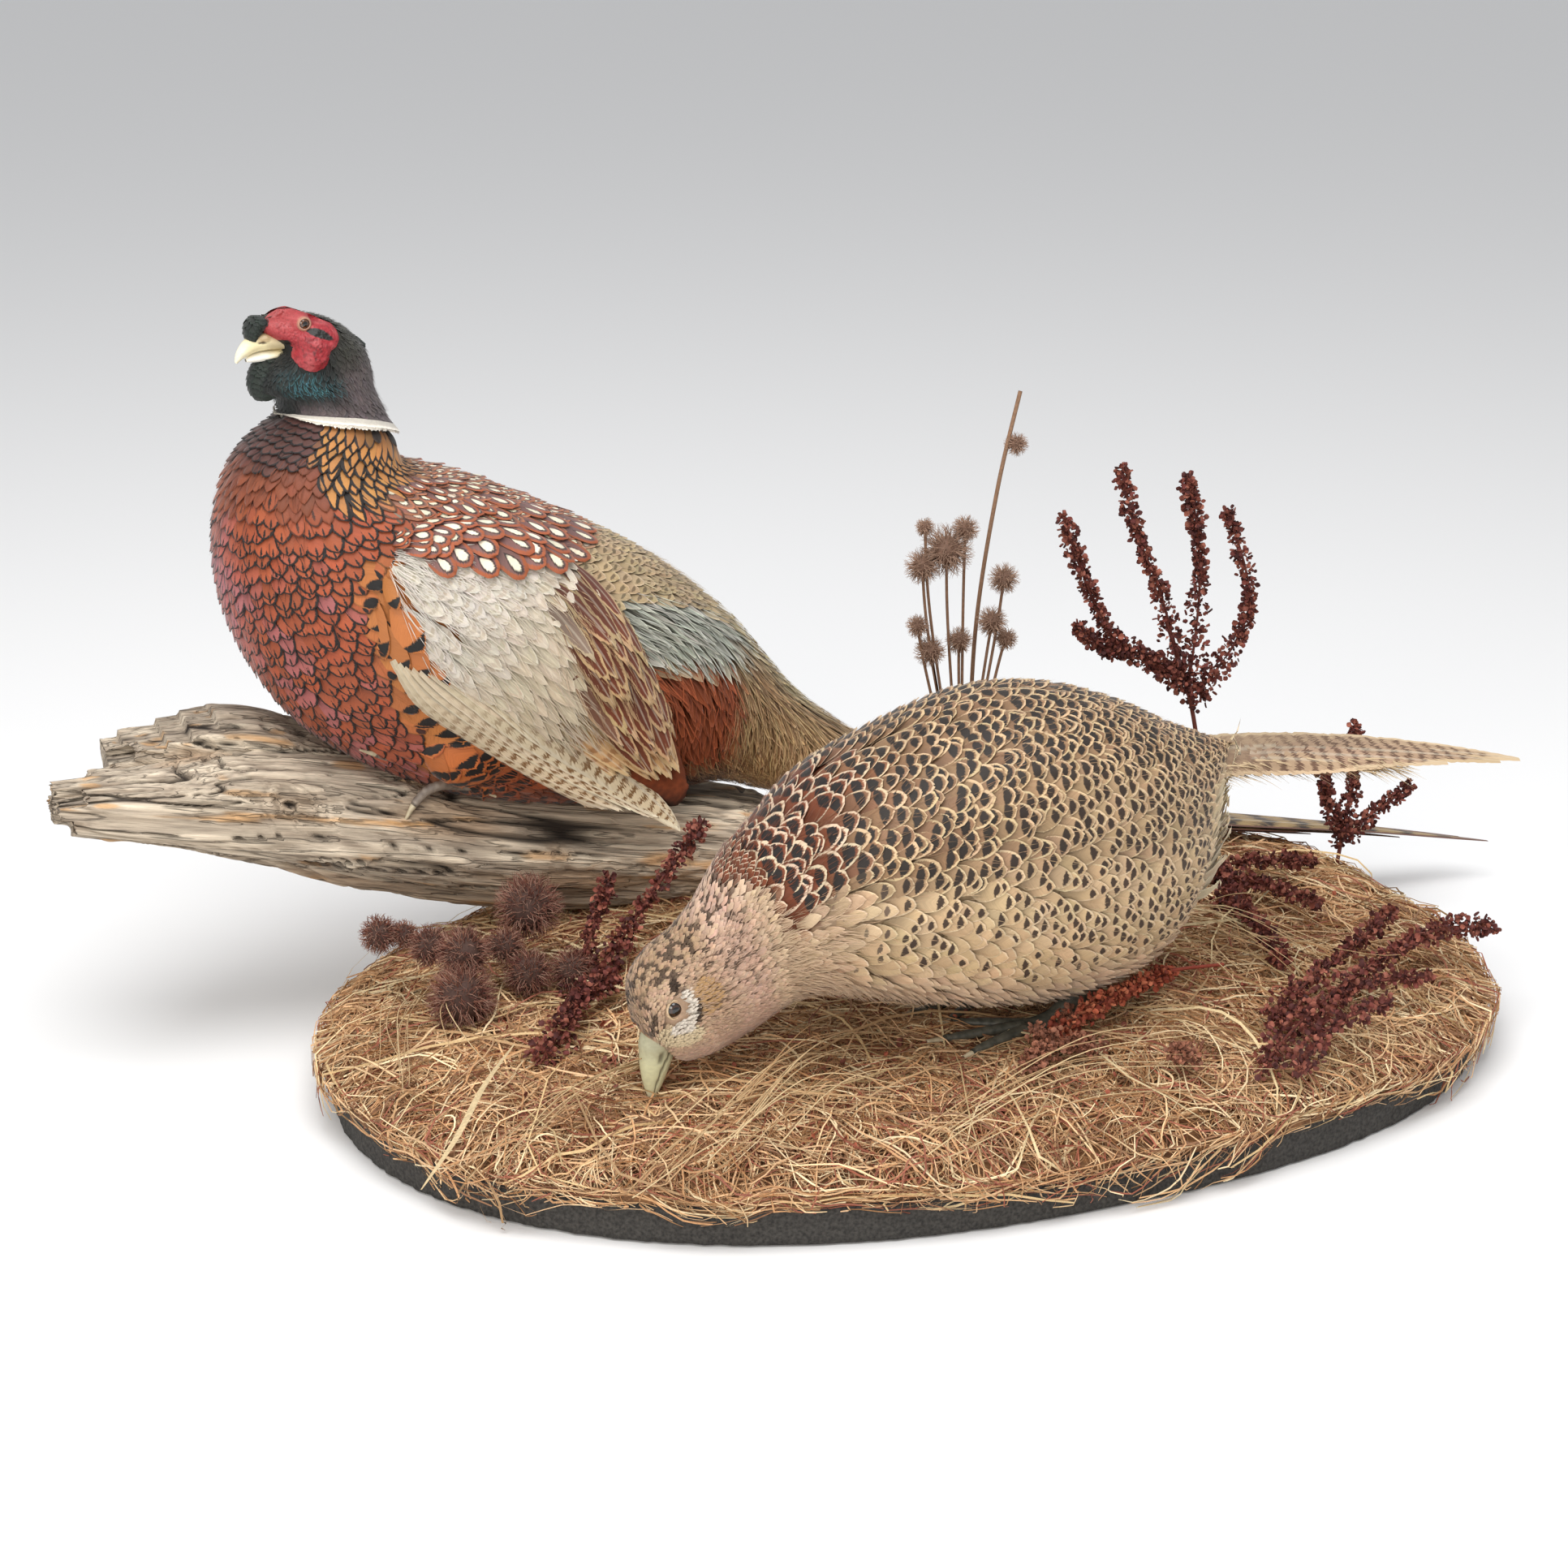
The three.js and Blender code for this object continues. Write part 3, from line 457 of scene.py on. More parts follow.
def scattered_directions(count):
    """Directions spread evenly over a sphere."""
    z = 1 - (2 * np.arange(count) + 1) / count
    angle = np.arange(count) * 2.39996
    flat = np.sqrt(1 - z * z)
    return np.stack([flat * np.cos(angle), flat * np.sin(angle), z], axis=-1)


def feather_material(name, roughness, sheen, fibre):
    """Keratin vane: markings follow the vane's own width and length, and barbs run off its shaft.

    The eye sees soft, dry colour with a fine slanting grain and a faint bloom at grazing angles."""
    material, tree = new_material(name)
    vane = add(tree, "ShaderNodeSeparateXYZ", [add(tree, "ShaderNodeUVMap", uv_map="Vane")])
    length = vane.outputs[1]
    side = calc(tree, "MULTIPLY_ADD", vane.outputs[0], 2.0, -1.0)
    side = calc(tree, "ABSOLUTE", side)
    space = add(tree, "ShaderNodeTexCoord").outputs["Object"]
    barb = calc(tree, "MULTIPLY", length, 16.0)
    barb = calc(tree, "MULTIPLY_ADD", side, -4.0, barb)
    barb = add(tree, "ShaderNodeCombineXYZ", [barb])
    barb = add(tree, "ShaderNodeVectorMath", [space, (70.0, 70.0, 70.0), barb], operation="MULTIPLY_ADD")
    barb = add(tree, NOISE, {"Vector": barb, "Scale": 3.0, "Detail": 3.0, "Roughness": 0.6})
    # The barbs fray every edge of the markings, more across the vane than along it.
    fray = calc(tree, "ADD", barb, -0.5)
    wide = calc(tree, "MULTIPLY_ADD", fray, 0.45, side)
    tall = calc(tree, "MULTIPLY_ADD", fray, 0.14, length)
    even = calc(tree, "MULTIPLY_ADD", fray, 0.08, length)
    traits = add(tree, "ShaderNodeAttribute", attribute_name="Traits")
    rim_width, point, bar_count = add(tree, "ShaderNodeSeparateXYZ", [traits.outputs["Vector"]]).outputs
    # The border runs round the sides and the tip, and narrows to a point where the kind asks for it.
    taper = calc(tree, "MULTIPLY_ADD", point, length, 1.0)
    taper = calc(tree, "MULTIPLY", wide, taper)
    taper = calc(tree, "POWER", taper, 2.6)
    tip = calc(tree, "POWER", tall, 7.0)
    rim = calc(tree, "POWER", calc(tree, "ADD", taper, tip), 0.4)
    rim = calc(tree, "ADD", rim, rim_width)
    edge = add(tree, RANGE, [rim, 1.0, 1.08], interpolation_type="SMOOTHSTEP")
    # One mark on the shaft, drop-shaped and with a dark outline where the kind has one.
    spots = add(tree, "ShaderNodeAttribute", attribute_name="Spot")
    spot_wide, spot_place, spot_long = add(tree, "ShaderNodeSeparateXYZ", [spots.outputs["Vector"]]).outputs
    round_tip = calc(tree, "MULTIPLY", wide, wide)
    round_tip = calc(tree, "MULTIPLY_ADD", round_tip, 0.09, tall)
    up = calc(tree, "SUBTRACT", round_tip, spot_place)
    up = calc(tree, "DIVIDE", up, spot_long)
    drop = calc(tree, "MULTIPLY_ADD", up, 0.5, 1.0)
    out = calc(tree, "DIVIDE", wide, calc(tree, "MULTIPLY", drop, spot_wide))
    far = add(tree, "ShaderNodeVectorMath", [add(tree, "ShaderNodeCombineXYZ", [out, up])],
              operation="LENGTH")
    has_spot = calc(tree, "GREATER_THAN", spot_wide, 0.01)
    inner = add(tree, RANGE, [far.outputs["Value"], 1.1, 0.85], interpolation_type="SMOOTHSTEP")
    inner = calc(tree, "MULTIPLY", inner, has_spot)
    halo = add(tree, RANGE, [far.outputs["Value"], 1.5, 1.2], interpolation_type="SMOOTHSTEP")
    halo = calc(tree, "MULTIPLY", halo, spots.outputs["Alpha"])
    halo = calc(tree, "MULTIPLY", halo, has_spot)
    # Bars across the vane, faint near its root and bent towards its edges.
    bars = calc(tree, "MULTIPLY_ADD", side, 0.3, calc(tree, "MULTIPLY", even, bar_count))
    bars = calc(tree, "SINE", calc(tree, "MULTIPLY", bars, math.tau))
    bars = add(tree, RANGE, [bars, 0.1, 0.55], interpolation_type="SMOOTHSTEP")
    bars = calc(tree, "MULTIPLY", bars, add(tree, RANGE, [wide, 0.98, 0.78]))
    barred = calc(tree, "GREATER_THAN", bar_count, 0.5)
    barred = calc(tree, "MULTIPLY", barred, add(tree, RANGE, [length, 0.1, 0.5, 0.1, 1.0]))
    marked = calc(tree, "MAXIMUM", inner, calc(tree, "MULTIPLY", bars, barred))

    ground, border, mark = (add(tree, "ShaderNodeAttribute", attribute_name=title).outputs["Color"]
                            for title in ("Ground", "Edge", "Mark"))
    colour = blend(tree, halo, ground, rgba("#1d1512"))
    colour = blend(tree, marked, colour, mark)
    colour = blend(tree, edge, colour, border)
    shaft = add(tree, RANGE, [side, 0.16, 0.05])
    shaft = calc(tree, "MULTIPLY", shaft, traits.outputs["Alpha"])
    colour = blend(tree, shaft, colour, rgba("#e9dfc8"))
    # Fibres lighten and darken the vane, and painted shade darkens its root under its neighbours.
    grain = add(tree, RANGE, [barb, 0.25, 0.75, 1.0 - fibre, 1.0 + fibre])
    painted_root_shade = add(tree, RANGE, [length, 0.3, 0.78, 0.7, 1.06], interpolation_type="SMOOTHSTEP")
    # Plain feathers get less of the painted shade at the root.
    figured = add(tree, RANGE, [rim_width, 0.05, 0.11, 0.3, 1.0])
    painted_root_shade = calc(tree, "MULTIPLY_ADD", calc(tree, "ADD", painted_root_shade, -1.0), figured, 1.0)
    grain = calc(tree, "MULTIPLY", grain, painted_root_shade)
    colour = add(tree, "ShaderNodeVectorMath", [colour, grain], operation="MULTIPLY")
    bump = add(tree, "ShaderNodeBump", {"Strength": 0.45, "Distance": 0.0004, "Height": barb})
    keratin = add(tree, SURFACE, {
        "Base Color": colour, "Roughness": roughness, "Sheen Weight": sheen,
        "Sheen Roughness": 0.4, "IOR": 1.54, "Specular IOR Level": 0.35, "Normal": bump,
    })
    add(tree, "ShaderNodeOutputMaterial", [keratin])
    return material


def lumps_over(tree, size, stretch=(1, 1, 1)):
    """Noise in lumps of the given size in millimetres, drawn out along an axis of stretch under 1."""
    space = add(tree, "ShaderNodeTexCoord").outputs["Object"]
    stretch = tuple(float(k) for k in stretch)
    space = add(tree, "ShaderNodeVectorMath", [space, stretch], operation="MULTIPLY")
    return add(tree, NOISE, {"Vector": space, "Scale": 1000.0 / size, "Detail": 4.0})


def finish(tree, colour, roughness, strength, dents, height):
    """The surface of a simple finish, with bumps as deep as the dents, in metres."""
    bump = add(tree, "ShaderNodeBump", {"Strength": strength, "Distance": dents, "Height": height})
    surface = add(tree, SURFACE, {"Base Color": colour, "Roughness": roughness, "Normal": bump})
    add(tree, "ShaderNodeOutputMaterial", [surface])


def plain_material(name, dark, light, size, roughness, bump, dents=0.0004):
    """A finish whose colour wavers between two tones in patches of the given size in millimetres."""
    material, tree = new_material(name)
    patches = lumps_over(tree, size)
    share = add(tree, RANGE, [patches, 0.32, 0.68])
    finish(tree, blend(tree, share, rgba(dark), rgba(light)), roughness, bump, dents, patches)
    return material


def painted_material(name, size, roughness, bump, grain=0.2, stretch=(1, 1, 1)):
    """A finish whose colour is laid on the mesh, with a fine grain of the given size in millimetres."""
    material, tree = new_material(name)
    lumps = lumps_over(tree, size, stretch)
    shade = add(tree, RANGE, [lumps, 0.3, 0.7, 1.0 - grain, 1.0 + grain])
    paint = add(tree, "ShaderNodeAttribute", attribute_name="Paint").outputs["Color"]
    colour = add(tree, "ShaderNodeVectorMath", [paint, shade], operation="MULTIPLY")
    finish(tree, colour, roughness, bump, 0.0004, lumps)
    return material


def driftwood_material(name):
    """Weathered wood: grey and tan fibres that run along the trunk, with fine dark checks between them.

    The eye sees dry, ridged wood, matt all over."""
    material, tree = new_material(name)
    space = add(tree, "ShaderNodeTexCoord").outputs["Object"]
    along_trunk = add(tree, "ShaderNodeMapping", {
        "Vector": space, "Rotation": (0.0, LOG_SLOPE, 0.0), "Scale": (24.0, 1.0, 1.0),
    }, vector_type="TEXTURE")
    fibres = add(tree, NOISE, {"Vector": along_trunk, "Scale": 1000.0 / 2.4, "Detail": 5.0,
                               "Roughness": 0.65})
    hairs = add(tree, NOISE, {"Vector": along_trunk, "Scale": 1000.0 / 0.8, "Detail": 3.0})
    grain = calc(tree, "MULTIPLY_ADD", hairs, 0.45, calc(tree, "MULTIPLY", fibres, 0.55))
    shade = add(tree, RANGE, [grain, 0.34, 0.66, 0.62, 1.34])
    check = add(tree, NOISE, {"Vector": along_trunk, "Scale": 1000.0 / 5.0, "Detail": 2.0})
    check = calc(tree, "ABSOLUTE", calc(tree, "ADD", check, -0.5))
    check = add(tree, RANGE, [check, 0.004, 0.02, 1.0, 0.0])
    paint = add(tree, "ShaderNodeAttribute", attribute_name="Paint").outputs["Color"]
    colour = add(tree, "ShaderNodeVectorMath", [paint, shade], operation="MULTIPLY")
    dark = calc(tree, "MULTIPLY", check, 0.45)
    colour = blend(tree, dark, colour, rgba("#33291f"))
    height = calc(tree, "MULTIPLY_ADD", check, -0.6, grain)
    finish(tree, colour, 0.88, 1.0, 0.0014, height)
    return material


# ---- Feathers ------------------------------------------------------------------------------------

GROUND, EDGE, MARK, TRAITS, SPOT = slice(0, 3), slice(3, 6), slice(6, 9), slice(9, 13), slice(13, 17)
BARS, LONG, WIDE, BLUNT = 11, 17, 18, 19
PATCH = 0.003  # a feather's share of the bake map
TIP_START = 0.42


def plume(ground, edge, mark=None, rim=0.0, point=0.0, bars=0.0, shaft=0.0, spot=(0, 0, 0, 0),
          long=12.0, wide=4.0, blunt=2.0):
    """One kind of feather as a row of numbers. Rim is its border's share of the half width, spot the
    half width, middle and half length of the mark and its dark outline, long and half wide its size."""
    colours = [*linear(ground), *linear(edge), *linear(mark or ground)]
    return np.array([*colours, rim, point, bars, shaft, *spot, long, wide, blunt])


def dressed(default, choices, count):
    """Each feather's numbers: the default, then each choice where its share says."""
    looks = np.tile(default, (count, 1))
    for share, kind in choices:
        looks = mixed(looks, kind, np.clip(share, 0, 1))
    return looks


def varied(looks, rng, amount=0.12):
    """Feathers a little lighter or darker, and longer or shorter, than their kind."""
    looks = looks.copy()
    looks[:, :9] *= 1 + amount * rng.uniform(-1, 1, (len(looks), 1))
    looks[:, :9] *= 1 + 0.3 * amount * rng.uniform(-1, 1, (len(looks), 9))
    looks[:, LONG] *= 1 + 0.7 * amount * rng.uniform(-1, 1, len(looks))
    return looks


def root_rows(form, gaps, rng, jitter=0.35):
    """Roots in staggered rows. Gaps has rows of u, spacing along and spacing round, in millimetres."""
    gaps = np.asarray(gaps, float)
    found, u, odd = [], gaps[0, 0], 0.0
    while u < gaps[-1, 0]:
        ring = form.at(np.full(48, u), np.arange(48) / 48)
        step = np.interp(u, gaps[:, 0], gaps[:, 1]) / np.linalg.norm(ring[2], axis=-1).mean()
        girth = np.linalg.norm(ring[3], axis=-1).mean()
        count = max(3, int(girth / np.interp(u, gaps[:, 0], gaps[:, 2])))
        places = np.stack([np.full(count, u), (np.arange(count) + odd) / count], 1)
        found.append(places + jitter * rng.uniform(-0.5, 0.5, (count, 2)) * np.array([step, 1 / count]))
        odd = 0.5 - odd
        u += step
    u, v = np.concatenate(found).T
    return u, v % 1


def vanes(form, u, v, looks, rng, lift=(0.15, 0.9), lie=0.0, camber=0.0, rows=6, columns=5, bow=0.0,
          ragged=0.06, curl=0.0, roll=0.0, strip=None):
    """Feathers that lie along the form from their roots, lifted from lift[0] to lift[1] of its depth.

    Strip gives each its own strip of the bake map in place of a patch at its root."""
    count = len(u)
    column = lambda values: np.broadcast_to(np.asarray(values, float), (count,))[:, None, None]
    t = (1 - (1 - np.linspace(0, 1, rows)) ** 1.4)[None, :, None]
    s = np.linspace(-1, 1, columns)[None, None, :]
    long, wide, blunt = column(looks[:, LONG]), column(looks[:, WIDE]), column(looks[:, BLUNT])
    cos, sin = np.cos(column(lie)), np.sin(column(lie))
    middle = u + 0.5 * looks[:, LONG] * cos[:, 0, 0] / form.per_u(u, v)
    _, _, tangent_u, tangent_v = form.at(middle, v)
    per_u, per_v = (column(np.linalg.norm(k, axis=-1)) for k in (tangent_u, tangent_v))
    x = np.clip((t - TIP_START) / (1 - TIP_START), 0, 1)
    outline = (0.4 + 0.6 * smooth(0, TIP_START, t)) * np.maximum((1 - x ** blunt) ** (1 / blunt), 0.1)
    fray = 1 - ragged * rng.uniform(0, 1, (count, rows, columns)) * np.abs(s)
    aside = wide * outline * s * fray + column(bow) * long * t ** 2
    ahead = long * t * (1 - ragged * rng.uniform(0, 0.6, (count, rows, columns)) * t ** 4)
    at_u = column(u) + (cos * ahead - sin * aside) / per_u
    at_v = column(v) + (sin * ahead + cos * aside) / per_v
    point, normal, _, _ = form.at(at_u, at_v)
    depth = column(form.depth_at(u))
    tilt = column(rng.uniform(-0.05, 0.05, count)) + roll
    height = depth * (lift[0] + (lift[1] - lift[0]) * t) + tilt * wide * s
    height = height - camber * s ** 2 * (0.2 + 0.8 * t) + curl * long * t ** 3
    points, faces = many_grids(point + normal * height[..., None])
    spread_s, spread_t = np.broadcast_arrays(s, t)
    bake = np.stack([column(np.clip(u, 0, 1)) * 0.99 + 0.005 + 0.5 * PATCH * spread_s,
                     column(v % 1) * 0.99 + 0.005 + PATCH * (spread_t - 0.5)], -1)
    if strip:
        across = (np.arange(count)[:, None, None] + 0.5 + 0.45 * spread_s) / count
        bake = np.stack([strip[0] + (strip[1] - strip[0]) * across, 0.01 + 0.98 * spread_t + 0 * across], -1)
    vane = np.broadcast_to(np.stack([0.5 + 0.5 * spread_s, spread_t], -1), (count, rows, columns, 2))
    return {
        "points": points, "faces": faces, "looks": np.repeat(looks, rows * columns, axis=0),
        "bake": bake.reshape(-1, 2), "vane": vane.reshape(-1, 2),
    }


def ruffled(points, rng, amount=0.12, size=35):
    """How far each feather turns aside: a slow drift over the body and a little of its own."""
    return amount * (noise(points, size, 60) + 0.6 * rng.uniform(-1, 1, len(points)))


def shown_looks(looks_of, form, u, v, lie=0.0):
    """A feather's kind follows from the place where it shows, well down from its root."""
    reach = 0.7 * looks_of(u, v)[:, LONG]
    _, _, tangent_u, tangent_v = form.at(u, v)
    per_u, per_v = np.linalg.norm(tangent_u, axis=-1), np.linalg.norm(tangent_v, axis=-1)
    return looks_of(u + reach * np.cos(lie) / per_u, (v + reach * np.sin(lie) / per_v) % 1)


def wisps(form, u, v, looks, rng, width=0.32, long=0.8, lift=(0.5, 1.25), lie=0.0, rows=4):
    """Loose barbs that stand a little off the coat and soften its edges."""
    looks = looks.copy()
    pick = rng.uniform(0, 1, (len(u), 1)) < 0.5
    looks[:, GROUND] = np.where(pick, looks[:, GROUND], looks[:, EDGE])
    looks[:, EDGE] = looks[:, GROUND]
    looks[:, TRAITS] = 0
    looks[:, SPOT] = 0
    looks[:, LONG] *= long * rng.uniform(0.6, 1.3, len(u))
    looks[:, WIDE] = width * rng.uniform(0.7, 1.3, len(u))
    looks[:, BLUNT] = 1.3
    turn = lie + rng.uniform(-0.28, 0.28, len(u))
    bow = rng.uniform(-0.12, 0.12, len(u))
    return vanes(form, u, v, looks, rng, lift, turn, rows=rows, columns=2, ragged=0, bow=bow)


def blade(path, half_width, look, strip, arch, hint=(0, 0, 1)):
    """One long quill along a path of points, rounded over its shaft, on its own strip of the bake map."""
    path, half_width = np.asarray(path, float), np.asarray(half_width, float)[:, None]
    tangent = unit(np.gradient(path, axis=0))
    side = unit(np.cross(tangent, np.asarray(hint, float)))
    lift = np.cross(side, tangent)
    s = np.linspace(-1, 1, 9)
    raised = half_width * arch * (1 - s ** 2)
    points = path[:, None] + side[:, None] * (half_width * s)[..., None] + lift[:, None] * raised[..., None]
    points, faces = many_grids(points[None])
    t = np.broadcast_to(np.linspace(0, 1, len(path))[:, None], (len(path), len(s)))
    spread = np.broadcast_to(0.5 + 0.5 * s, t.shape)
    bake = np.stack([strip[0] + (strip[1] - strip[0]) * spread, 0.01 + 0.98 * t], -1)
    return {
        "points": points, "faces": faces, "looks": np.tile(look, (len(points), 1)),
        "bake": bake.reshape(-1, 2), "vane": np.stack([spread, t], -1).reshape(-1, 2),
    }


def make_coat(name, batches, material, replaced=(), flip=False):
    """One piece of plumage from several batches of vanes."""
    points, faces = joined([(batch["points"], batch["faces"]) for batch in batches])
    gathered = lambda key: np.concatenate([batch[key] for batch in batches])
    looks, bake, vane = gathered("looks"), gathered("bake"), gathered("vane")
    if flip:
        points, faces = mirrored(points), faces[:, ::-1]
    solid = np.ones((len(points), 1))
    colours = {title: np.hstack([looks[:, part], solid])
               for title, part in (("Ground", GROUND), ("Edge", EDGE), ("Mark", MARK))}
    colours |= {"Traits": looks[:, TRAITS], "Spot": looks[:, SPOT]}
    make_piece(name, (points, faces), material, replaced, None, {"OFBake": bake, "Vane": vane}, colours)


# ---- The cock's plumage --------------------------------------------------------------------------

# How deep the coat is at each body section, in millimetres.
COCK_DEPTHS = [1.3] * 6 + [1.5, 1.8] + [2.4, 3.0] + [3.6, 4.2] + [4.8] * 6 + [4.5] * 3 + [4.0] * 5
# Rows of feather roots: place along the body, spacing along it and spacing round it.
COCK_GAPS = [
    [0.012, 1.9, 2.1], [0.2, 2.1, 2.4], [0.3, 2.4, 3.0], [0.35, 2.6, 3.2], [0.4, 3.0, 4.0], [0.43, 4.6, 5.0],
    [0.48, 5.2, 5.8], [0.54, 5.6, 7.2], [0.62, 6.4, 8.4], [0.68, 6.2, 7], [0.72, 5.5, 5.4], [0.8, 5.2, 4.8],
    [0.97, 5, 4.5],
]

CROWN = plume("#33322a", "#3c3b30", rim=0.1, long=6, wide=1.8)
TUFT = plume("#1a211c", "#26332b", rim=0.1, long=6, wide=1.8)
NECK_GREY = plume("#5b5050", "#655a5b", rim=0.1, long=9, wide=2.4, blunt=1.6)
TEAL = plume("#22312f", "#3a6a72", "#14201f", rim=0.22, spot=(0.5, 0.55, 0.14, 0.0), long=6, wide=1.8,
             blunt=1.6)
THROAT = plume("#1a1c1a", "#222a28", rim=0.1, long=6, wide=1.8)
COLLAR = plume("#f0e8da", "#f8f3e8", rim=0.2, long=5, wide=1.3, blunt=3.0)
BLACK_BAND = plume("#1a1511", "#38241a", rim=0.2, long=10, wide=3.0)
MAROON = plume("#50302a", "#160e0c", rim=0.19, point=0.1, long=13, wide=4.4)
BROWN_FRONT = plume("#7c4027", "#7c3f24", rim=0.08, long=16, wide=4.4, blunt=1.5)
GOLDEN = plume("#b0783f", "#17100c", rim=0.17, point=0.9, long=18, wide=4.2, blunt=1.6)
BREAST = plume("#9a4a2a", "#170e0b", "#130c0a", rim=0.13, point=0.16, spot=(0.2, 1.0, 0.26, 0.0), long=19,
               wide=5.8, blunt=2.2)
# Breast feathers low on the breast whose pink ground is painted sheen.
ROSY_SHEEN = plume("#a85a50", "#241213", "#1a0e10", rim=0.1, point=0.16, spot=(0.16, 1.0, 0.3, 0.0), long=19,
             wide=5.8, blunt=2.2)
FLANK = plume("#b9723a", "#b06a34", "#100d0b", rim=0.0, spot=(1.15, 0.86, 0.115, 0.0), long=30, wide=8.6,
              blunt=2.0)
LOW_BREAST = plume("#9c4c34", "#1d100e", rim=0.11, spot=(0.4, 0.96, 0.1, 0.0), long=19, wide=6.0)
BELLY = plume("#3a2319", "#4a2c1d", rim=0.2, long=24, wide=6.0, blunt=1.6)
RUST_BELLY = plume("#a2502a", "#964b26", "#120e0c", rim=0.0, spot=(1.1, 0.86, 0.11, 0.0), long=28, wide=8.2)
MANTLE = plume("#80584a", "#a76a4a", "#e6dcc0", rim=0.16, spot=(0.34, 0.74, 0.11, 0.9), long=22, wide=5.6,
               blunt=1.8)
SCAPULAR = plume("#7a5550", "#9c5230", "#e9dfc6", rim=0.22, point=0.1, spot=(0.4, 0.7, 0.17, 0.85), long=27,
                 wide=6.4, blunt=2.4)
LOWER_BACK = plume("#a89270", "#bda785", "#6c5a40", rim=0.1, spot=(0.6, 0.8, 0.06, 0.0), long=18, wide=5.0)
RUMP = plume("#9b9c90", "#bfc0b2", rim=0.3, long=24, wide=2.0, blunt=1.2)
RUST_PATCH = plume("#85401f", "#a4532e", rim=0.2, long=26, wide=2.2, blunt=1.2)
FRINGE = plume("#8b6943", "#c6a577", rim=0.34, long=38, wide=1.6, blunt=1.1)
OLIVE_BACK = plume("#a08d66", "#b9a77f", rim=0.3, long=26, wide=2.0, blunt=1.3)
UNDER_TAIL = plume("#33201a", "#553323", rim=0.3, long=30, wide=2.6, blunt=1.2)


def below(v):
    """How far round a body a place is: 0 along the back and 1 along the belly."""
    return 1 - np.abs(1 - 2 * v)


def within(x, low, high, soft):
    """1 inside a range, with soft edges."""
    return smooth(low - soft, low + soft, x) * (1 - smooth(high - soft, high + soft, x))


# The white collar over the share round from back to breast: its middle along the body and its width in mm.
COLLAR_SHARES = [0, 0.08, 0.32, 0.48, 0.63, 0.76, 0.84, 0.92, 1]
COLLAR_LINE = [0.392, 0.389, 0.375, 0.3685, 0.3665, 0.366, 0.3665, 0.374, 0.392]
COLLAR_WIDTH = [5.0, 4.9, 4.9, 5.5, 4.8, 3.4, 2.2, 1.6, 1.4]

# Edges of the markings along the body: places along it, and their share round it from back to breast.
GOLDEN_EDGE = ([0.39, 0.402, 0.421, 0.436, 0.444, 0.467, 0.49, 0.5],
               [0.69, 0.68, 0.65, 0.62, 0.57, 0.535, 0.51, 0.48])
FLANK_EDGE = ([0.52, 0.54, 0.565, 0.59, 0.615, 0.63, 0.655, 0.67],
              [0.54, 0.57, 0.59, 0.61, 0.65, 0.7, 0.79, 0.9])
RUMP_EDGES = [0.637, 0.656, 0.68, 0.7, 0.737], [0.25, 0.2, 0.155, 0.13, 0.1], [0.3, 0.34, 0.378, 0.34, 0.26]


def collar_edges(w):
    """Where the collar starts and ends along the body."""
    middle = np.interp(w, COLLAR_SHARES, COLLAR_LINE)
    half = np.interp(w, COLLAR_SHARES, COLLAR_WIDTH) / 1000
    return middle - half, middle + half


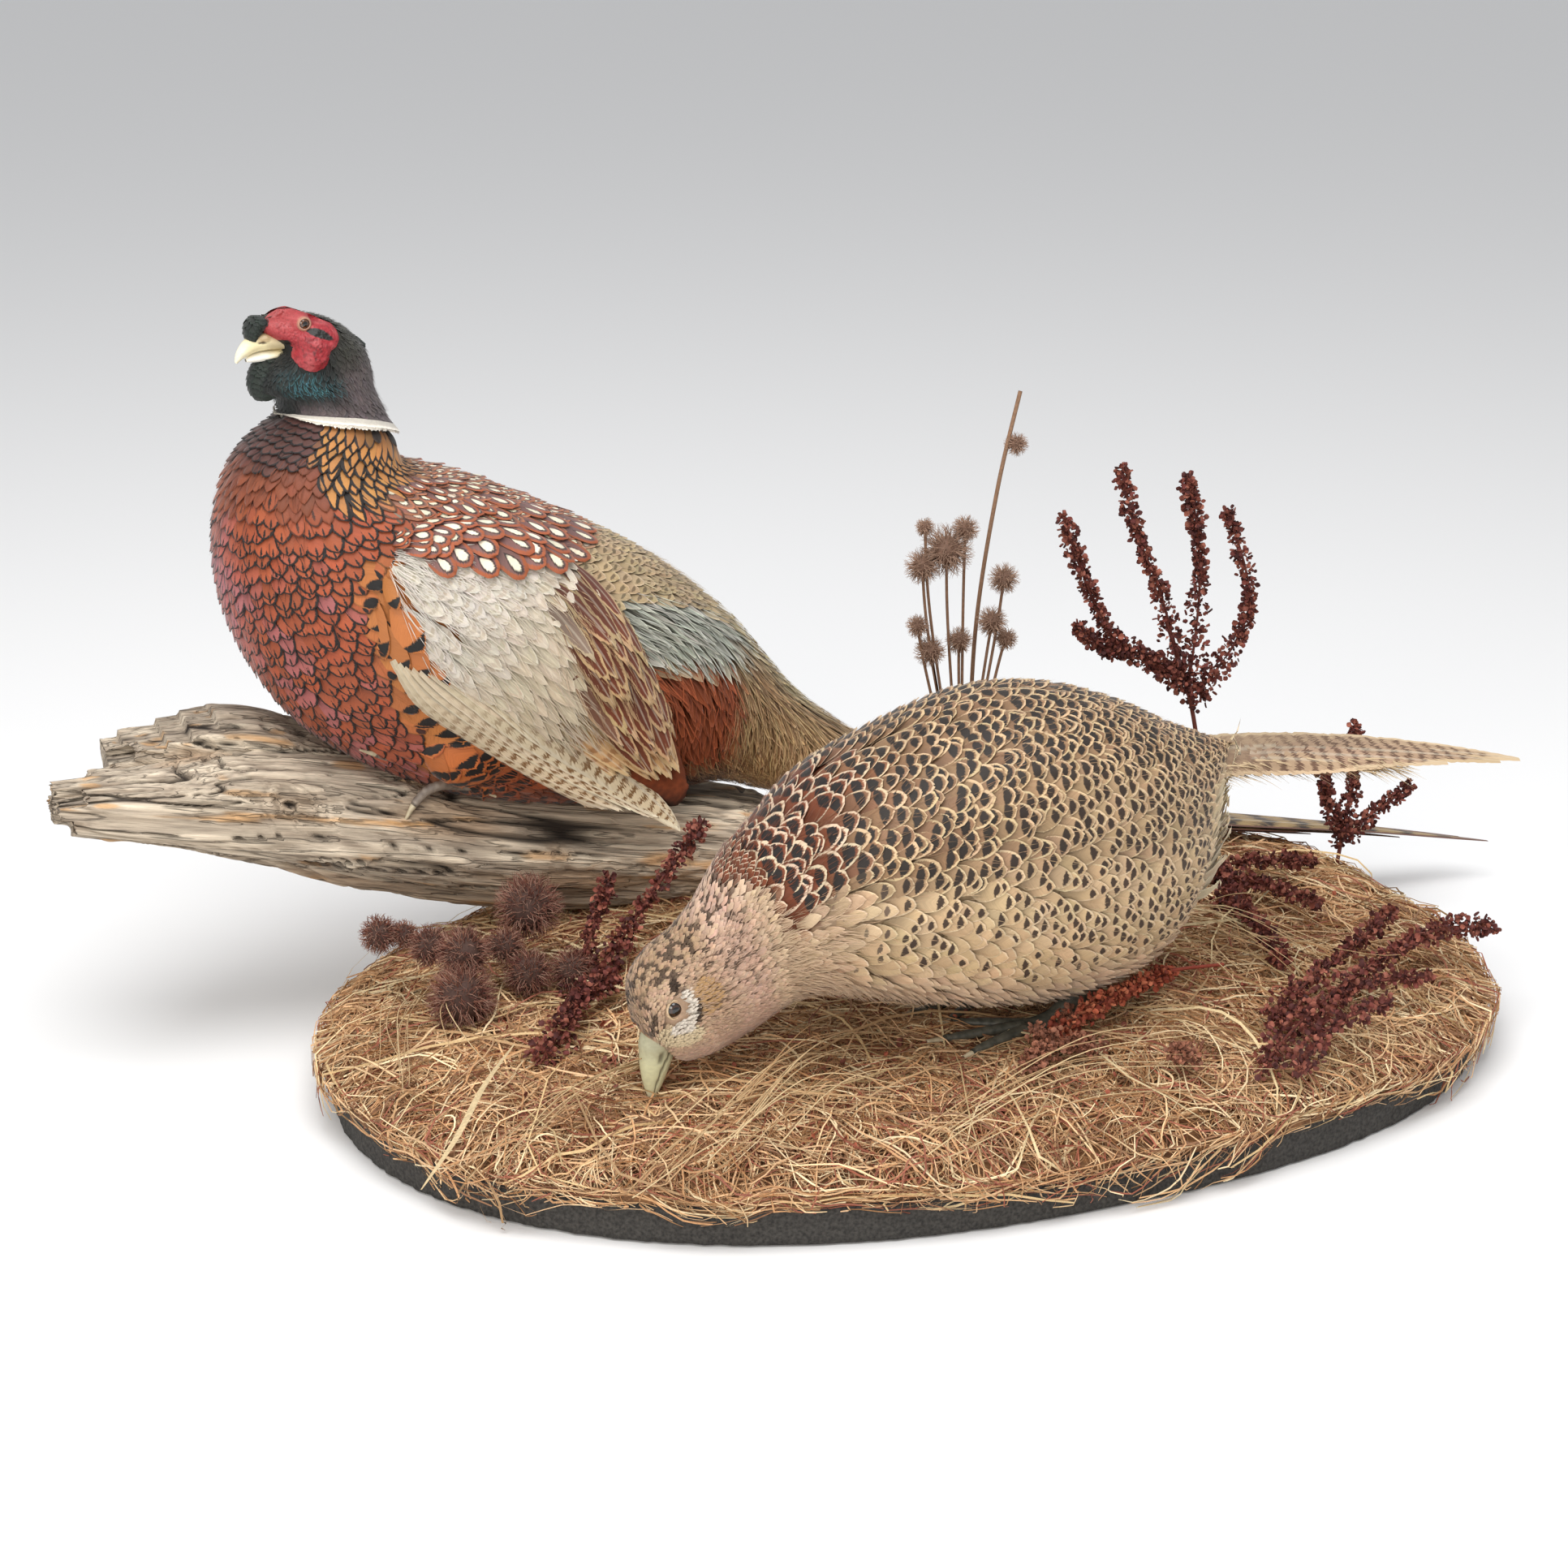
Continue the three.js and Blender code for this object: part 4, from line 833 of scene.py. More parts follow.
def cock_looks(u, v):
    """What grows at each place of the cock's body; w is 0 along the back and 1 along the breast."""
    w = below(v)
    ripple = 0.012 * np.sin(37 * v + 60 * u) + 0.008 * np.sin(91 * v)
    start, end = collar_edges(w)
    flank_front = np.interp(u, *FLANK_EDGE)
    flank = smooth(flank_front + 0.02, flank_front - 0.02, w + ripple) * smooth(0.38, 0.44, w)
    flank = flank * within(u, 0.527, 0.76, 0.008)
    golden_edge = np.interp(u, *GOLDEN_EDGE)
    rump_top, rump_foot = (np.interp(u, RUMP_EDGES[0], edge) for edge in RUMP_EDGES[1:])
    hanging = np.interp(w, [0.1, 0.26, 0.43, 0.56], [0.735, 0.735, 0.757, 0.765])
    choices = [
        (smooth(0.05, 0.03, u), TUFT), (smooth(0.205, 0.235, u) * smooth(0.2, 0.1, w), TUFT),
        (smooth(0.5, 0.75, w) * smooth(0.05, 0.07, u), THROAT),
        (smooth(0.2, 0.27, u - 0.07 * w), NECK_GREY), (smooth(0.74, 0.86, w) * smooth(0.12, 0.2, u), THROAT),
        (within(w, 0.45, 0.9, 0.08) * within(u, 0.2, 0.33, 0.02), THROAT),
        (within(u + 0.06 * w, 0.295, 0.345, 0.01) * within(w + 2 * ripple, 0.5, 0.76, 0.06), TEAL),
        (smooth(start - 0.001, start + 0.001, u), COLLAR), (smooth(end, end + 0.002, u), BLACK_BAND),
        (smooth(end + 0.01, end + 0.015, u), GOLDEN),
        (smooth(golden_edge - 0.015, golden_edge + 0.015, w) * smooth(end + 0.006, end + 0.012, u), MAROON),
        (smooth(golden_edge, golden_edge + 0.03, w) * smooth(0.441, 0.451, u + 0.3 * ripple), BROWN_FRONT),
        (smooth(0.473, 0.488, u + 0.6 * ripple) * smooth(golden_edge - 0.02, golden_edge, w)
         + smooth(0.49, 0.505, u), BREAST),
        # Rosy feathers low on the breast: painted sheen.
        (smooth(0.82, 0.94, w + ripple) * within(u, 0.5, 0.57, 0.02), ROSY_SHEEN),
        (smooth(0.42, 0.32, w) * smooth(0.476, 0.492, u), MANTLE),
        (smooth(0.6, 0.66, u) * smooth(0.6, 0.7, w), LOW_BREAST), (flank, FLANK),
        (flank * smooth(0.64, 0.68, u), RUST_BELLY),
        (smooth(0.66, 0.7, u) * smooth(0.9, 0.96, w), BELLY),
        (smooth(0.595, 0.615, u + 0.04 * w) * smooth(0.44, 0.34, w), LOWER_BACK),
        (smooth(0.68, 0.71, u - 0.05 * w) * smooth(0.32, 0.22, w), OLIVE_BACK),
        (within(u, 0.637, 0.737, 0.006) * within(w + 0.5 * ripple, rump_top, rump_foot, 0.012), RUMP),
        (within(u, 0.655, 0.775, 0.008) * within(w + 0.5 * ripple, rump_foot + 0.01, 0.6, 0.012), RUST_PATCH),
        (smooth(-0.006, 0.012, u - hanging + 0.5 * ripple) * smooth(0.12, 0.2, w) + smooth(0.8, 0.86, u),
         FRINGE),
        (smooth(0.74, 0.79, u) * smooth(0.7, 0.85, w), UNDER_TAIL),
        (within(u, 0.7, 0.79, 0.02) * within(w, 0.62, 0.78, 0.04), UNDER_TAIL),
    ]
    return dressed(CROWN, choices, len(u))


def fallen(u, v):
    """How far the loose plumage of the rump and tail coverts hangs down the sides."""
    w = below(v)
    side = np.where(v > 0.5, -1, 1)
    return side * 0.75 * smooth(0.64, 0.72, u) * smooth(0.05, 0.3, w) * smooth(0.75, 0.5, w)


# The bare face in the head's own plane: an oval round the eye and a lobe that hangs below it.
EYE_SPOT = {"ahead": -11.4, "height": 365.0, "aside": 12.2}
EYE_RADIUS = 3.5
FACE_ROUNDS = [
    {"ahead": -14, "height": 362.5, "wide": 13.4, "tall": 8.6},
    {"ahead": -4.2, "height": 359.5, "wide": 10.4, "tall": 8.8},
    {"ahead": -9.8, "height": 350.9, "wide": 8.8, "tall": 8.8},
]


def head_point(ahead, aside, height):
    """A point of the cock's head from its own measures, turned with the head."""
    points = np.stack(np.broadcast_arrays(ahead, aside, height), -1)
    return turned(points, HEAD_TURN) + np.array(HEAD_PIVOT)


def middle_form(rows, size, depth=0.0):
    """A form on the head's middle line: distance ahead, height, half width and half depth."""
    placed = [[*head_point(ahead, 0, height), wide, deep] for ahead, height, wide, deep in rows]
    return limb_form(placed, turned((0, 1, 0), HEAD_TURN), size, depth)


def head_measures(points):
    """How far ahead, aside and up the points are in the head's own plane."""
    return turned(points - np.array(HEAD_PIVOT), -HEAD_TURN)


def face_reach(ahead, height):
    """0 in the middle of the bare face, 1 on its outline."""
    reach = [((ahead - k["ahead"]) / k["wide"]) ** 2 + ((height - k["height"]) / k["tall"]) ** 2
             for k in FACE_ROUNDS]
    return np.sqrt(np.min(reach, axis=0))


def crown_strip(ahead):
    """Half width of the feathered crown between the bare faces."""
    return 2.2 + 4.3 * smooth(-14, -2, ahead)


def off_face(form, u, v, long):
    """Whether a feather keeps clear of the bare face and the mouth, from its root to its tip."""
    clear = np.ones(len(u), bool)
    per_u = form.per_u(u, v)
    for share in (0.0, 0.4, 0.8):
        local = head_measures(form.at(u + share * long / per_u, v)[0])
        past_face = face_reach(local[:, 0], local[:, 2]) > 0.99
        on_crown = np.abs(local[:, 1]) < crown_strip(local[:, 0])
        clear &= (u > 0.3) | past_face | on_crown
    local = head_measures(form.at(u, v)[0])
    return clear & ~((u < 0.12) & (local[:, 0] < -19) & (local[:, 2] < 358))


# Small lumps of longer plumage on the head's middle line: ahead, height, half width and half depth.
TUFTS = {
    "forehead": [[-24.5, 364.5, 4.5, 2.4], [-27.5, 365, 6.8, 3.8], [-31, 363.8, 7, 4.2],
                 [-32.8, 359.6, 6, 3.0], [-32, 357, 4, 1.8]],
    "chin": [[-20, 346, 7, 8], [-22.5, 342, 8.5, 9.3], [-25.4, 337.5, 9.5, 10.2], [-25.6, 333.5, 8.8, 9.6],
             [-24.5, 330.2, 6.6, 7.0]],
    "nape": [[14, 354.5, 6, 2.4], [20, 351.2, 6, 2.8], [25, 348.2, 4, 1.6]],
}


def make_tufts(rng):
    batches = []
    for rows in TUFTS.values():
        form = middle_form(rows, (50, 41), 0.8)
        u, v = root_rows(form, [[0.0, 1.6, 1.7], [0.9, 1.3, 1.5]], rng)
        per_u = form.per_u(u, v)
        long = np.clip((0.99 - u) * per_u, 0.05, 4.5)
        keep = form.per_u(u + 0.5 * long / per_u, v) > 0.6 * per_u
        u, v, long = picked(keep, u, v, long)
        looks = varied(np.tile(TUFT, (len(u), 1)), rng, 0.25)
        looks[:, LONG] = long
        batches.append(vanes(form, u, v, looks, rng, lift=(0.4, 1.5), rows=4, columns=3, ragged=0.25))
    return batches


def collar_band(form, rng):
    """Short square-ended white feathers in close rows that make one clean band."""
    count = 230
    batches = []
    for row in range(3):
        v = (np.arange(count) + 0.5 * (row % 2) + 0.2 * rng.uniform(-1, 1, count)) / count % 1
        w = below(v)
        start, end = collar_edges(w)
        wide = np.interp(w, COLLAR_SHARES, COLLAR_WIDTH)
        u = start + (end - start) * row * 0.28
        looks = varied(np.tile(COLLAR, (count, 1)), rng, 0.05)
        looks[:, LONG] = wide * (1 - 0.28 * row) * rng.uniform(0.92, 1.1, count) + 0.4
        looks[:, WIDE] = 0.85
        lift = (0.95 + 0.08 * row, 1.15 + 0.08 * row)
        batches.append(vanes(form, u, v, looks, rng, lift, rows=4, columns=3, ragged=0.05))
    return batches


def flank_rows(form, gaps, rng, lie, place=None):
    """The broad flank feathers, each with its black bar, in rows wide enough to show every bar."""
    u, v = root_rows(form, gaps, rng, 0.3)
    if place is None:
        looks = shown_looks(cock_looks, form, u, v)
        keep = (looks[:, LONG] > 26) & (looks[:, SPOT.start] > 0.7)
        looks = looks[keep]
    else:
        keep = place(u, v)
        looks = np.tile(FLANK, (keep.sum(), 1))
    u, v, looks = u[keep], v[keep], varied(looks, rng, 0.14)
    looks[:, SPOT.start] *= rng.uniform(0.75, 1.15, len(u))
    lie = lie + rng.uniform(-0.1, 0.1, len(u))
    return vanes(form, u, v, looks, rng, (0.3, 1.15), lie, camber=0.4, rows=9, columns=7, ragged=0.12)


def rump_barbs(form, rng):
    u, v = rng.uniform(0.63, 0.97, 9000), rng.uniform(0, 1, 9000)
    lie = fallen(u, v)
    looks = varied(shown_looks(cock_looks, form, u, v, lie), rng, 0.2)
    return wisps(form, u, v, looks, rng, width=0.28, long=0.9, lie=lie, rows=5)


def breast_barbs(form, rng):
    u, v = rng.uniform(0.42, 0.62, 2600), rng.uniform(0, 1, 2600)
    u, v = picked((below(v) < 0.24) | (below(v) > 0.6), u, v)
    looks = varied(shown_looks(cock_looks, form, u, v), rng, 0.2)
    return wisps(form, u, v, looks, rng, width=0.14, long=0.6, lift=(0.5, 1.1))


def head_barbs(form, rng):
    """Fine barbs of the head and neck that stop short of the collar and the bare face."""
    u, v = rng.uniform(0.05, 0.35, 5000), rng.uniform(0, 1, 5000)
    looks = varied(cock_looks(u, v), rng, 0.25)
    room = collar_edges(below(v))[0] - 0.003 - u
    looks[:, LONG] = np.clip(looks[:, LONG], 0.3, np.maximum(room * form.per_u(u, v), 0.3))
    clear = off_face(form, u, v, looks[:, LONG]) & (room > 0.004)
    return wisps(form, *picked(clear, u, v, looks), rng, width=0.16, long=0.5, lift=(0.5, 1.35))


def make_cock_coat(form, rng, material):
    u, v = root_rows(form, COCK_GAPS, rng)
    lie = ruffled(form.at(u, v)[0], rng) * smooth(0.3, 0.5, u) + fallen(u, v)
    looks = varied(shown_looks(cock_looks, form, u, v, lie), rng, 0.16)
    looks[:, LONG] *= 1 - 0.3 * smooth(0.16, 0.05, u)
    w = below(v)
    start, end = collar_edges(w)
    to_collar = np.minimum(looks[:, LONG], (start - u + 0.0018) * form.per_u(u, v))
    looks[:, LONG] = np.where(u < start, to_collar, looks[:, LONG])
    near = (u < start) & (u > start - 0.03)
    looks[near, :9] = varied(cock_looks(np.minimum(u, start - 0.004), v), rng, 0.16)[near, :9]
    points = form.at(u, v)[0]
    # Painted sheen: a rosy tint in patches over the breast feathers' ground stands for their pink gloss.
    sheen = smooth(0.15, 0.6, noise(points, 9, 71) + 0.3 * smooth(0.6, 0.95, w))
    sheen = sheen * within(u, 0.475, 0.66, 0.02) * (w > 0.5)
    painted_sheen_tint = 0.75 * looks[:, GROUND] + 0.25 * linear("#b8809a")
    looks[:, GROUND] = mixed(looks[:, GROUND], painted_sheen_tint, sheen)
    spotted = looks[:, SPOT.start] > 0.6
    looks[spotted, SPOT.start] *= rng.uniform(0.6, 1.25, spotted.sum())
    barred = (looks[:, SPOT.start] > 0.7) & (looks[:, LONG] > 27) & (u > 0.5)
    keep = off_face(form, u, v, looks[:, LONG]) & ~((u > start - 0.002) & (u < end - 0.003)) & ~barred
    u, v, looks, lie = picked(keep, u, v, looks, lie)
    hair = (u > 0.6) & (looks[:, WIDE] < 3.4)
    small, middle = u < 0.36, (u >= 0.36) & ~hair
    part = lambda mask: (form, *picked(mask, u, v, looks), rng)
    head = vanes(*part(small), rows=4, columns=3, ragged=0.1)
    body = vanes(*part(middle), camber=0.5, lift=(0.1, 1.0), lie=lie[middle], rows=7, columns=5)
    flank = flank_rows(form, [[0.5, 9.2, 9.0], [0.78, 9.2, 9.0]], rng, 0.0)
    rump = vanes(*part(hair), rows=6, columns=3, ragged=0.3, lift=(0.2, 1.1), lie=lie[hair],
                 bow=rng.uniform(-0.1, 0.1, hair.sum()))
    loose, soft, fuzz = rump_barbs(form, rng), breast_barbs(form, rng), head_barbs(form, rng)
    make_coat("cock_head_coat", [head, fuzz] + make_tufts(rng), material)
    make_coat("cock_collar", collar_band(form, rng), material)
    make_coat("cock_body_coat", [body, flank], material)
    make_coat("cock_rump_coat", [rump, loose], material)
    make_coat("cock_loose_barbs", [soft], material)


# ---- The cock's wings ----------------------------------------------------------------------------

WING_GAPS = [[0.02, 5.5, 5.6], [0.3, 6.5, 6.4], [0.62, 8, 7.5]]
SILVER = plume("#d8d0c4", "#ded7cc", "#c2b7a5", rim=0.05, bars=4, shaft=0.3, long=24, wide=4.6, blunt=1.7)
BEIGE = plume("#ccbda3", "#d9ccb4", rim=0.08, shaft=0.35, long=34, wide=4.8, blunt=1.6)
STREAK = plume("#6f3b2a", "#c0a078", rim=0.34, shaft=0.3, long=46, wide=5.4, blunt=1.5)
SECONDARY = plume("#d6ab7c", "#e2c494", "#b0825a", rim=0.2, bars=9, shaft=0.4, long=92, wide=7.0, blunt=2.2)
PRIMARY = plume("#ecd9b8", "#f0e2c6", "#8d6844", rim=0.14, bars=21, shaft=0.7, long=165, wide=6.0, blunt=2.2)


def wing_front(u):
    """Where the wing's silver coverts begin; the flank's feathers cover the wing ahead of it."""
    return np.interp(u, [0, 0.08, 0.15, 0.21, 0.27, 0.32, 0.41, 0.5],
                     [0.785, 0.74, 0.705, 0.67, 0.65, 0.635, 0.6, 0.5])


def wing_looks(u, v):
    """Coverts of the wing: silver near the shoulder, then beige, with streaked ones towards the back."""
    line = np.interp(u, [0.28, 0.375, 0.48, 0.6, 0.7], [0.88, 0.81, 0.75, 0.715, 0.70])
    return dressed(SILVER, [
        (smooth(0.16, 0.4, u + 0.2 * (0.8 - v)), BEIGE),
        (smooth(0.28, 0.36, u) * smooth(line - 0.02, line + 0.02, v), STREAK),
        (smooth(0.006, -0.006, v - wing_front(u)), FLANK),
    ], len(u))


def scapulars(form, rows, top, lie, rng):
    """Staggered rows of broad spotted feathers, each row with its u, first and last v, and count."""
    shrink = 0.6  # the first row's size beside the last
    batches = []
    for n, (u, first, last, count) in enumerate(rows):
        v = np.linspace(first, last, count) + (n % 2) * 0.5 * (last - first) / max(count - 1, 1)
        v = v + 0.006 * rng.uniform(-1, 1, count)
        looks = varied(np.tile(SCAPULAR, (count, 1)), rng, 0.12)
        looks[:, [LONG, WIDE]] *= shrink + (1 - shrink) * n / max(len(rows) - 1, 1)
        looks[:, LONG] *= rng.uniform(0.85, 1.15, count)
        looks[:, SPOT.start] *= rng.uniform(0.5, 1.0, count)
        place = u + 0.006 * rng.uniform(-1, 1, count)
        turn = lie + rng.uniform(-0.12, 0.12, count)
        batches.append(vanes(form, place, v % 1, looks, rng, (0.5 + 0.02 * n, top), turn, camber=0.5,
                             rows=10, columns=7, ragged=0.05))
    return batches


WING_CAPE = [(-0.03, 0.93, 1.01, 3), (0.0, 0.905, 1.01, 4), (0.03, 0.89, 1.01, 5), (0.06, 0.875, 1.01, 5),
             (0.09, 0.875, 1.01, 5), (0.125, 0.89, 1.01, 4), (0.16, 0.9, 1.01, 4), (0.2, 0.91, 1.01, 4),
             (0.24, 0.93, 1.01, 3), (0.285, 0.95, 1.01, 3)]
BODY_CAPE = [(0.47, 0.865, 0.92, 3), (0.485, 0.87, 0.94, 4), (0.5, 0.875, 0.95, 4), (0.515, 0.88, 0.955, 4),
             (0.53, 0.885, 0.96, 4), (0.545, 0.89, 0.96, 4), (0.56, 0.895, 0.96, 3), (0.575, 0.9, 0.955, 3)]
STREAK_GAPS = [[0.22, 15, 4.6], [0.6, 19, 5.4]]


def make_wing(side, form, primaries, body, rng, material, soft):
    flip = side == "right"
    count = 11
    looks = varied(np.tile(PRIMARY, (count, 1)), rng, 0.06)
    looks[:, LONG] *= np.linspace(0.85, 1.08, count)
    quills = vanes(primaries, np.linspace(0.0, 0.2, count), np.linspace(0.56, 0.93, count), looks, rng,
                   lift=(0.1, 1.1), rows=34, columns=7, camber=0.4, roll=-0.16, lie=-0.03, strip=(0.0, 0.5))
    count = 13
    looks = varied(np.tile(SECONDARY, (count, 1)), rng, 0.1)
    secondaries = vanes(form, np.linspace(0.3, 0.5, count), np.linspace(0.585, 0.9, count), looks, rng,
                        lift=(0.1, 0.8), rows=26, columns=7, camber=0.5, roll=-0.12, lie=-0.12,
                        strip=(0.5, 1.0))
    make_coat(f"flight_feathers_{side}", [quills, secondaries], material,
              (f"primaries_{side}",), flip)
    u, v = root_rows(form, WING_GAPS, rng)
    outer = (v > 0.5) & (u < 0.42 + 0.16 * smooth(0.7, 0.85, v)) & ~((v > 0.93) & (u < 0.25))
    outer &= v > wing_front(u) + 0.004 * rng.uniform(-1, 1, len(u))
    u, v = picked(outer, u, v)
    lie = -0.24 + ruffled(form.at(u, v)[0], rng, 0.1)
    looks = varied(wing_looks(u, v), rng, 0.1)
    coverts = vanes(form, u, v, looks, rng, lift=(0.2, 1.2), camber=0.3, lie=lie, rows=9, columns=5,
                    ragged=0.1)
    u, v = root_rows(form, STREAK_GAPS, rng, 0.8)
    back = (wing_looks(u, v)[:, LONG] > 40) & (v < 0.97)
    u, v = picked(back, u, v)
    looks = varied(wing_looks(u, v), rng, 0.16)
    lie = -0.16 + rng.uniform(-0.08, 0.08, len(u))
    streaks = vanes(form, u, v, looks, rng, (0.9, 1.5), lie, camber=0.3, rows=12, columns=5, ragged=0.25)
    ahead = flank_rows(form, [[0.01, 8.6, 9.0], [0.5, 8.6, 9.0]], rng, -0.3,
                       lambda u, v: (v > 0.5) & (v < wing_front(u) - 0.004) & (u < 0.46))
    make_coat(f"wing_front_{side}", [ahead], material, (), flip)
    u, v = rng.uniform(0.0, 0.55, 2600), rng.uniform(0.52, 0.9, 2600)
    u, v = picked(v > wing_front(u), u, v)
    looks = varied(wing_looks(u, v), rng, 0.12)
    loose = wisps(form, u, v, looks, rng, width=0.2, long=0.6, lift=(0.6, 1.4), lie=-0.24, rows=5)
    make_coat(f"wing_coverts_{side}", [coverts, streaks, loose], material, (), flip)
    cape = scapulars(body, BODY_CAPE, 1.25, -0.22, rng) + scapulars(form, WING_CAPE, 2.0, -0.42, rng)
    make_coat(f"scapulars_{side}", cape, soft, (), flip)


# ---- Tails ---------------------------------------------------------------------------------------

COCK_TAIL_PATH = [
    [-6, COCK_Y - 1, 113], [60, COCK_Y - 8, 91], [140, COCK_Y - 24, 70], [225, COCK_Y - 38, 54],
    [320, COCK_Y - 47, 38], [410, COCK_Y - 53, 20],
]
TAIL_QUILL = plume("#a3875a", "#6a4638", "#2e1f17", rim=0.2, bars=22, shaft=0.3)
# Quills from the middle pair outwards: share of the full length, sideways fan, drop and half width.
COCK_QUILLS = [
    (1.0, -4, 0, 14), (0.955, 6, 1.5, 14), (0.86, -8, 2, 13), (0.8, 11, 2.4, 13), (0.74, -13, 3, 12),
    (0.7, 15, 3.6, 12),
    (0.6, -16, 4, 11), (0.56, 17, 4.6, 11), (0.46, -17, 5, 10), (0.42, 18, 5.6, 10),
]


def make_cock_tail(rng, material):
    batches = []
    t = np.linspace(0, 1, 60)
    for n, (share, fan, drop, half) in enumerate(COCK_QUILLS):
        path = along(COCK_TAIL_PATH, t * share)
        path[:, 1] += fan * np.sin(np.pi * np.minimum(1, t * 1.15) * 0.72)
        path[:, 2] += 2.2 - drop * t - 0.5 * n * (1 - t)
        half_width = half * (1 - 0.92 * t ** 2.4) * (1 - 0.03 * rng.uniform(0, 1, len(t)))
        look = TAIL_QUILL.copy()
        look[BARS] *= share
        batches.append(blade(path, half_width, look, (n / 10 + 0.005, (n + 1) / 10 - 0.005), 0.12))
    make_coat("cock_tail", batches, material, ("tail",))


# ---- The hen -------------------------------------------------------------------------------------

HEN_DEPTHS = [1.3] * 3 + [1.6, 2.0, 2.6, 3.2, 3.8, 4.2] + [4.8] * 6 + [4.2, 3.0]
HEN_GAPS = [
    [0.01, 1.9, 2.0], [0.15, 2.1, 2.4], [0.25, 2.4, 3.0], [0.35, 3.2, 4.0], [0.42, 5.0, 6.6], [0.5, 6.0, 8.2],
    [0.6, 5.7, 7.6], [0.75, 5.4, 7.0], [0.9, 5.0, 6.2], [0.965, 4.6, 5.4],
]
HEN_BUFF = plume("#c6a68a", "#ceb19a", rim=0.05, long=5, wide=1.4, blunt=1.6)
HEN_CROWN = plume("#a98a6d", "#bb9f83", "#2d2119", rim=0.05, spot=(0.9, 0.6, 0.2, 0.0), long=5.5, wide=1.6)
HEN_WHITE = plume("#e6dccd", "#efe6da", rim=0.1, long=4.5, wide=1.2)
HEN_CREAM = plume("#e0cda8", "#e8d8ba", rim=0.1, long=4.5, wide=1.2)
HEN_EAR = plume("#bf9868", "#cda879", rim=0.05, long=5.5, wide=1.2)
HEN_DARK = plume("#3a2a1c", "#4d382a", rim=0.1, long=4, wide=1.2)
HEN_NECK = plume("#cdab94", "#d4b9a6", "#8f7262", rim=0.05, spot=(0.5, 0.8, 0.1, 0.0), long=8, wide=2.0)
HEN_MANTLE = plume("#74391c", "#cdb69b", "#17100d", rim=0.2, spot=(0.95, 0.77, 0.13, 0.0), long=22,
                   wide=6.2, blunt=2.0)
HEN_BACK = plume("#8a6a4c", "#c6aa84", "#231a13", rim=0.2, spot=(0.9, 0.77, 0.12, 0.0), long=19, wide=5.6,
                 blunt=2.0)
HEN_SIDE = plume("#c3a680", "#d2ba96", "#3d2c1f", rim=0.12, spot=(0.75, 0.83, 0.085, 0.0), long=18,
                 wide=5.2, blunt=1.9)
HEN_BREAST = plume("#d2b697", "#dac1a5", rim=0.05, long=13, wide=3.6, blunt=1.4)
HEN_VENT = plume("#d6c29c", "#e4d3b0", rim=0.3, long=28, wide=3.2, blunt=1.2)


def hen_looks(u, v):
    """What grows at each place of the hen's body; w is 0 along the back and 1 along the belly."""
    w = below(v)
    ripple = 0.015 * np.sin(41 * v + 50 * u) + 0.01 * np.sin(97 * v)
    line = np.interp(u, [0.34, 0.36, 0.41, 0.43, 0.46, 0.5, 0.55, 0.62],
                     [0.0, 0.1, 0.28, 0.38, 0.5, 0.46, 0.4, 0.42])
    spotted = smooth(line + 0.02, line - 0.02, w + ripple)
    choices = [
        (smooth(0.3, 0.2, w), HEN_CROWN), (smooth(0.25, 0.3, u) + smooth(0.6, 0.8, w), HEN_NECK),
        (smooth(0.34, 0.4, u), HEN_BREAST), (smooth(0.345, 0.36, u) * spotted, HEN_MANTLE),
        (smooth(0.52, 0.6, u) * within(w + ripple, 0.36, 0.72, 0.05), HEN_SIDE),
        (smooth(0.55, 0.64, u + 0.12 * w + ripple) * smooth(0.5, 0.42, w), HEN_BACK),
        (0.55 * smooth(0.62, 0.74, u) * within(w, 0.26, 0.5, 0.07), HEN_SIDE),
        (smooth(0.86, 0.93, u) * smooth(0.35, 0.5, w), HEN_VENT),
    ]
    return dressed(HEN_BUFF, choices, len(u))


HEN_EYE = {"ahead": -160.6, "height": 92.4, "aside": 12.0, "radius": 4.5, "wide": 3.3, "tall": 4.3}
# Patches of the hen's cheek in her own plane: ahead, height, half width, half height and kind.
HEN_PATCHES = [
    (-156.5, 80.5, 10.5, 7, HEN_CREAM), (-144.8, 98.5, 7.5, 9, HEN_EAR), (-149.3, 92, 2.4, 6.5, HEN_DARK),
    (-153.8, 93.5, 4.8, 9.5, HEN_WHITE), (-156, 84.5, 6, 4, HEN_WHITE), (-159.4, 104.6, 2.6, 3.6, HEN_DARK),
]


def hen_point(ahead, aside, height):
    return in_hen_place(np.stack(np.broadcast_arrays(ahead, aside, height), -1))


def hen_place(form, u, v, share, long):
    """Where a share of a feather's length lies, in the hen's own plane."""
    points = form.at(u + share * long / form.per_u(u, v), v)[0]
    return turned(points - np.array(HEN_PLACE), -HEN_TURN)


def eye_clear(form, u, v, long):
    """Whether a feather keeps clear of the eye from its root to its tip."""
    clear = u > 0.02
    for share in (0, 0.5, 0.85):
        ahead, aside, height = hen_place(form, u, v, share, long).T
        far = np.hypot((ahead - HEN_EYE["ahead"]) / HEN_EYE["wide"],
                       (height - HEN_EYE["height"]) / HEN_EYE["tall"])
        clear = clear & ~((far < 1.45) & (np.abs(aside) > 6))
    return clear


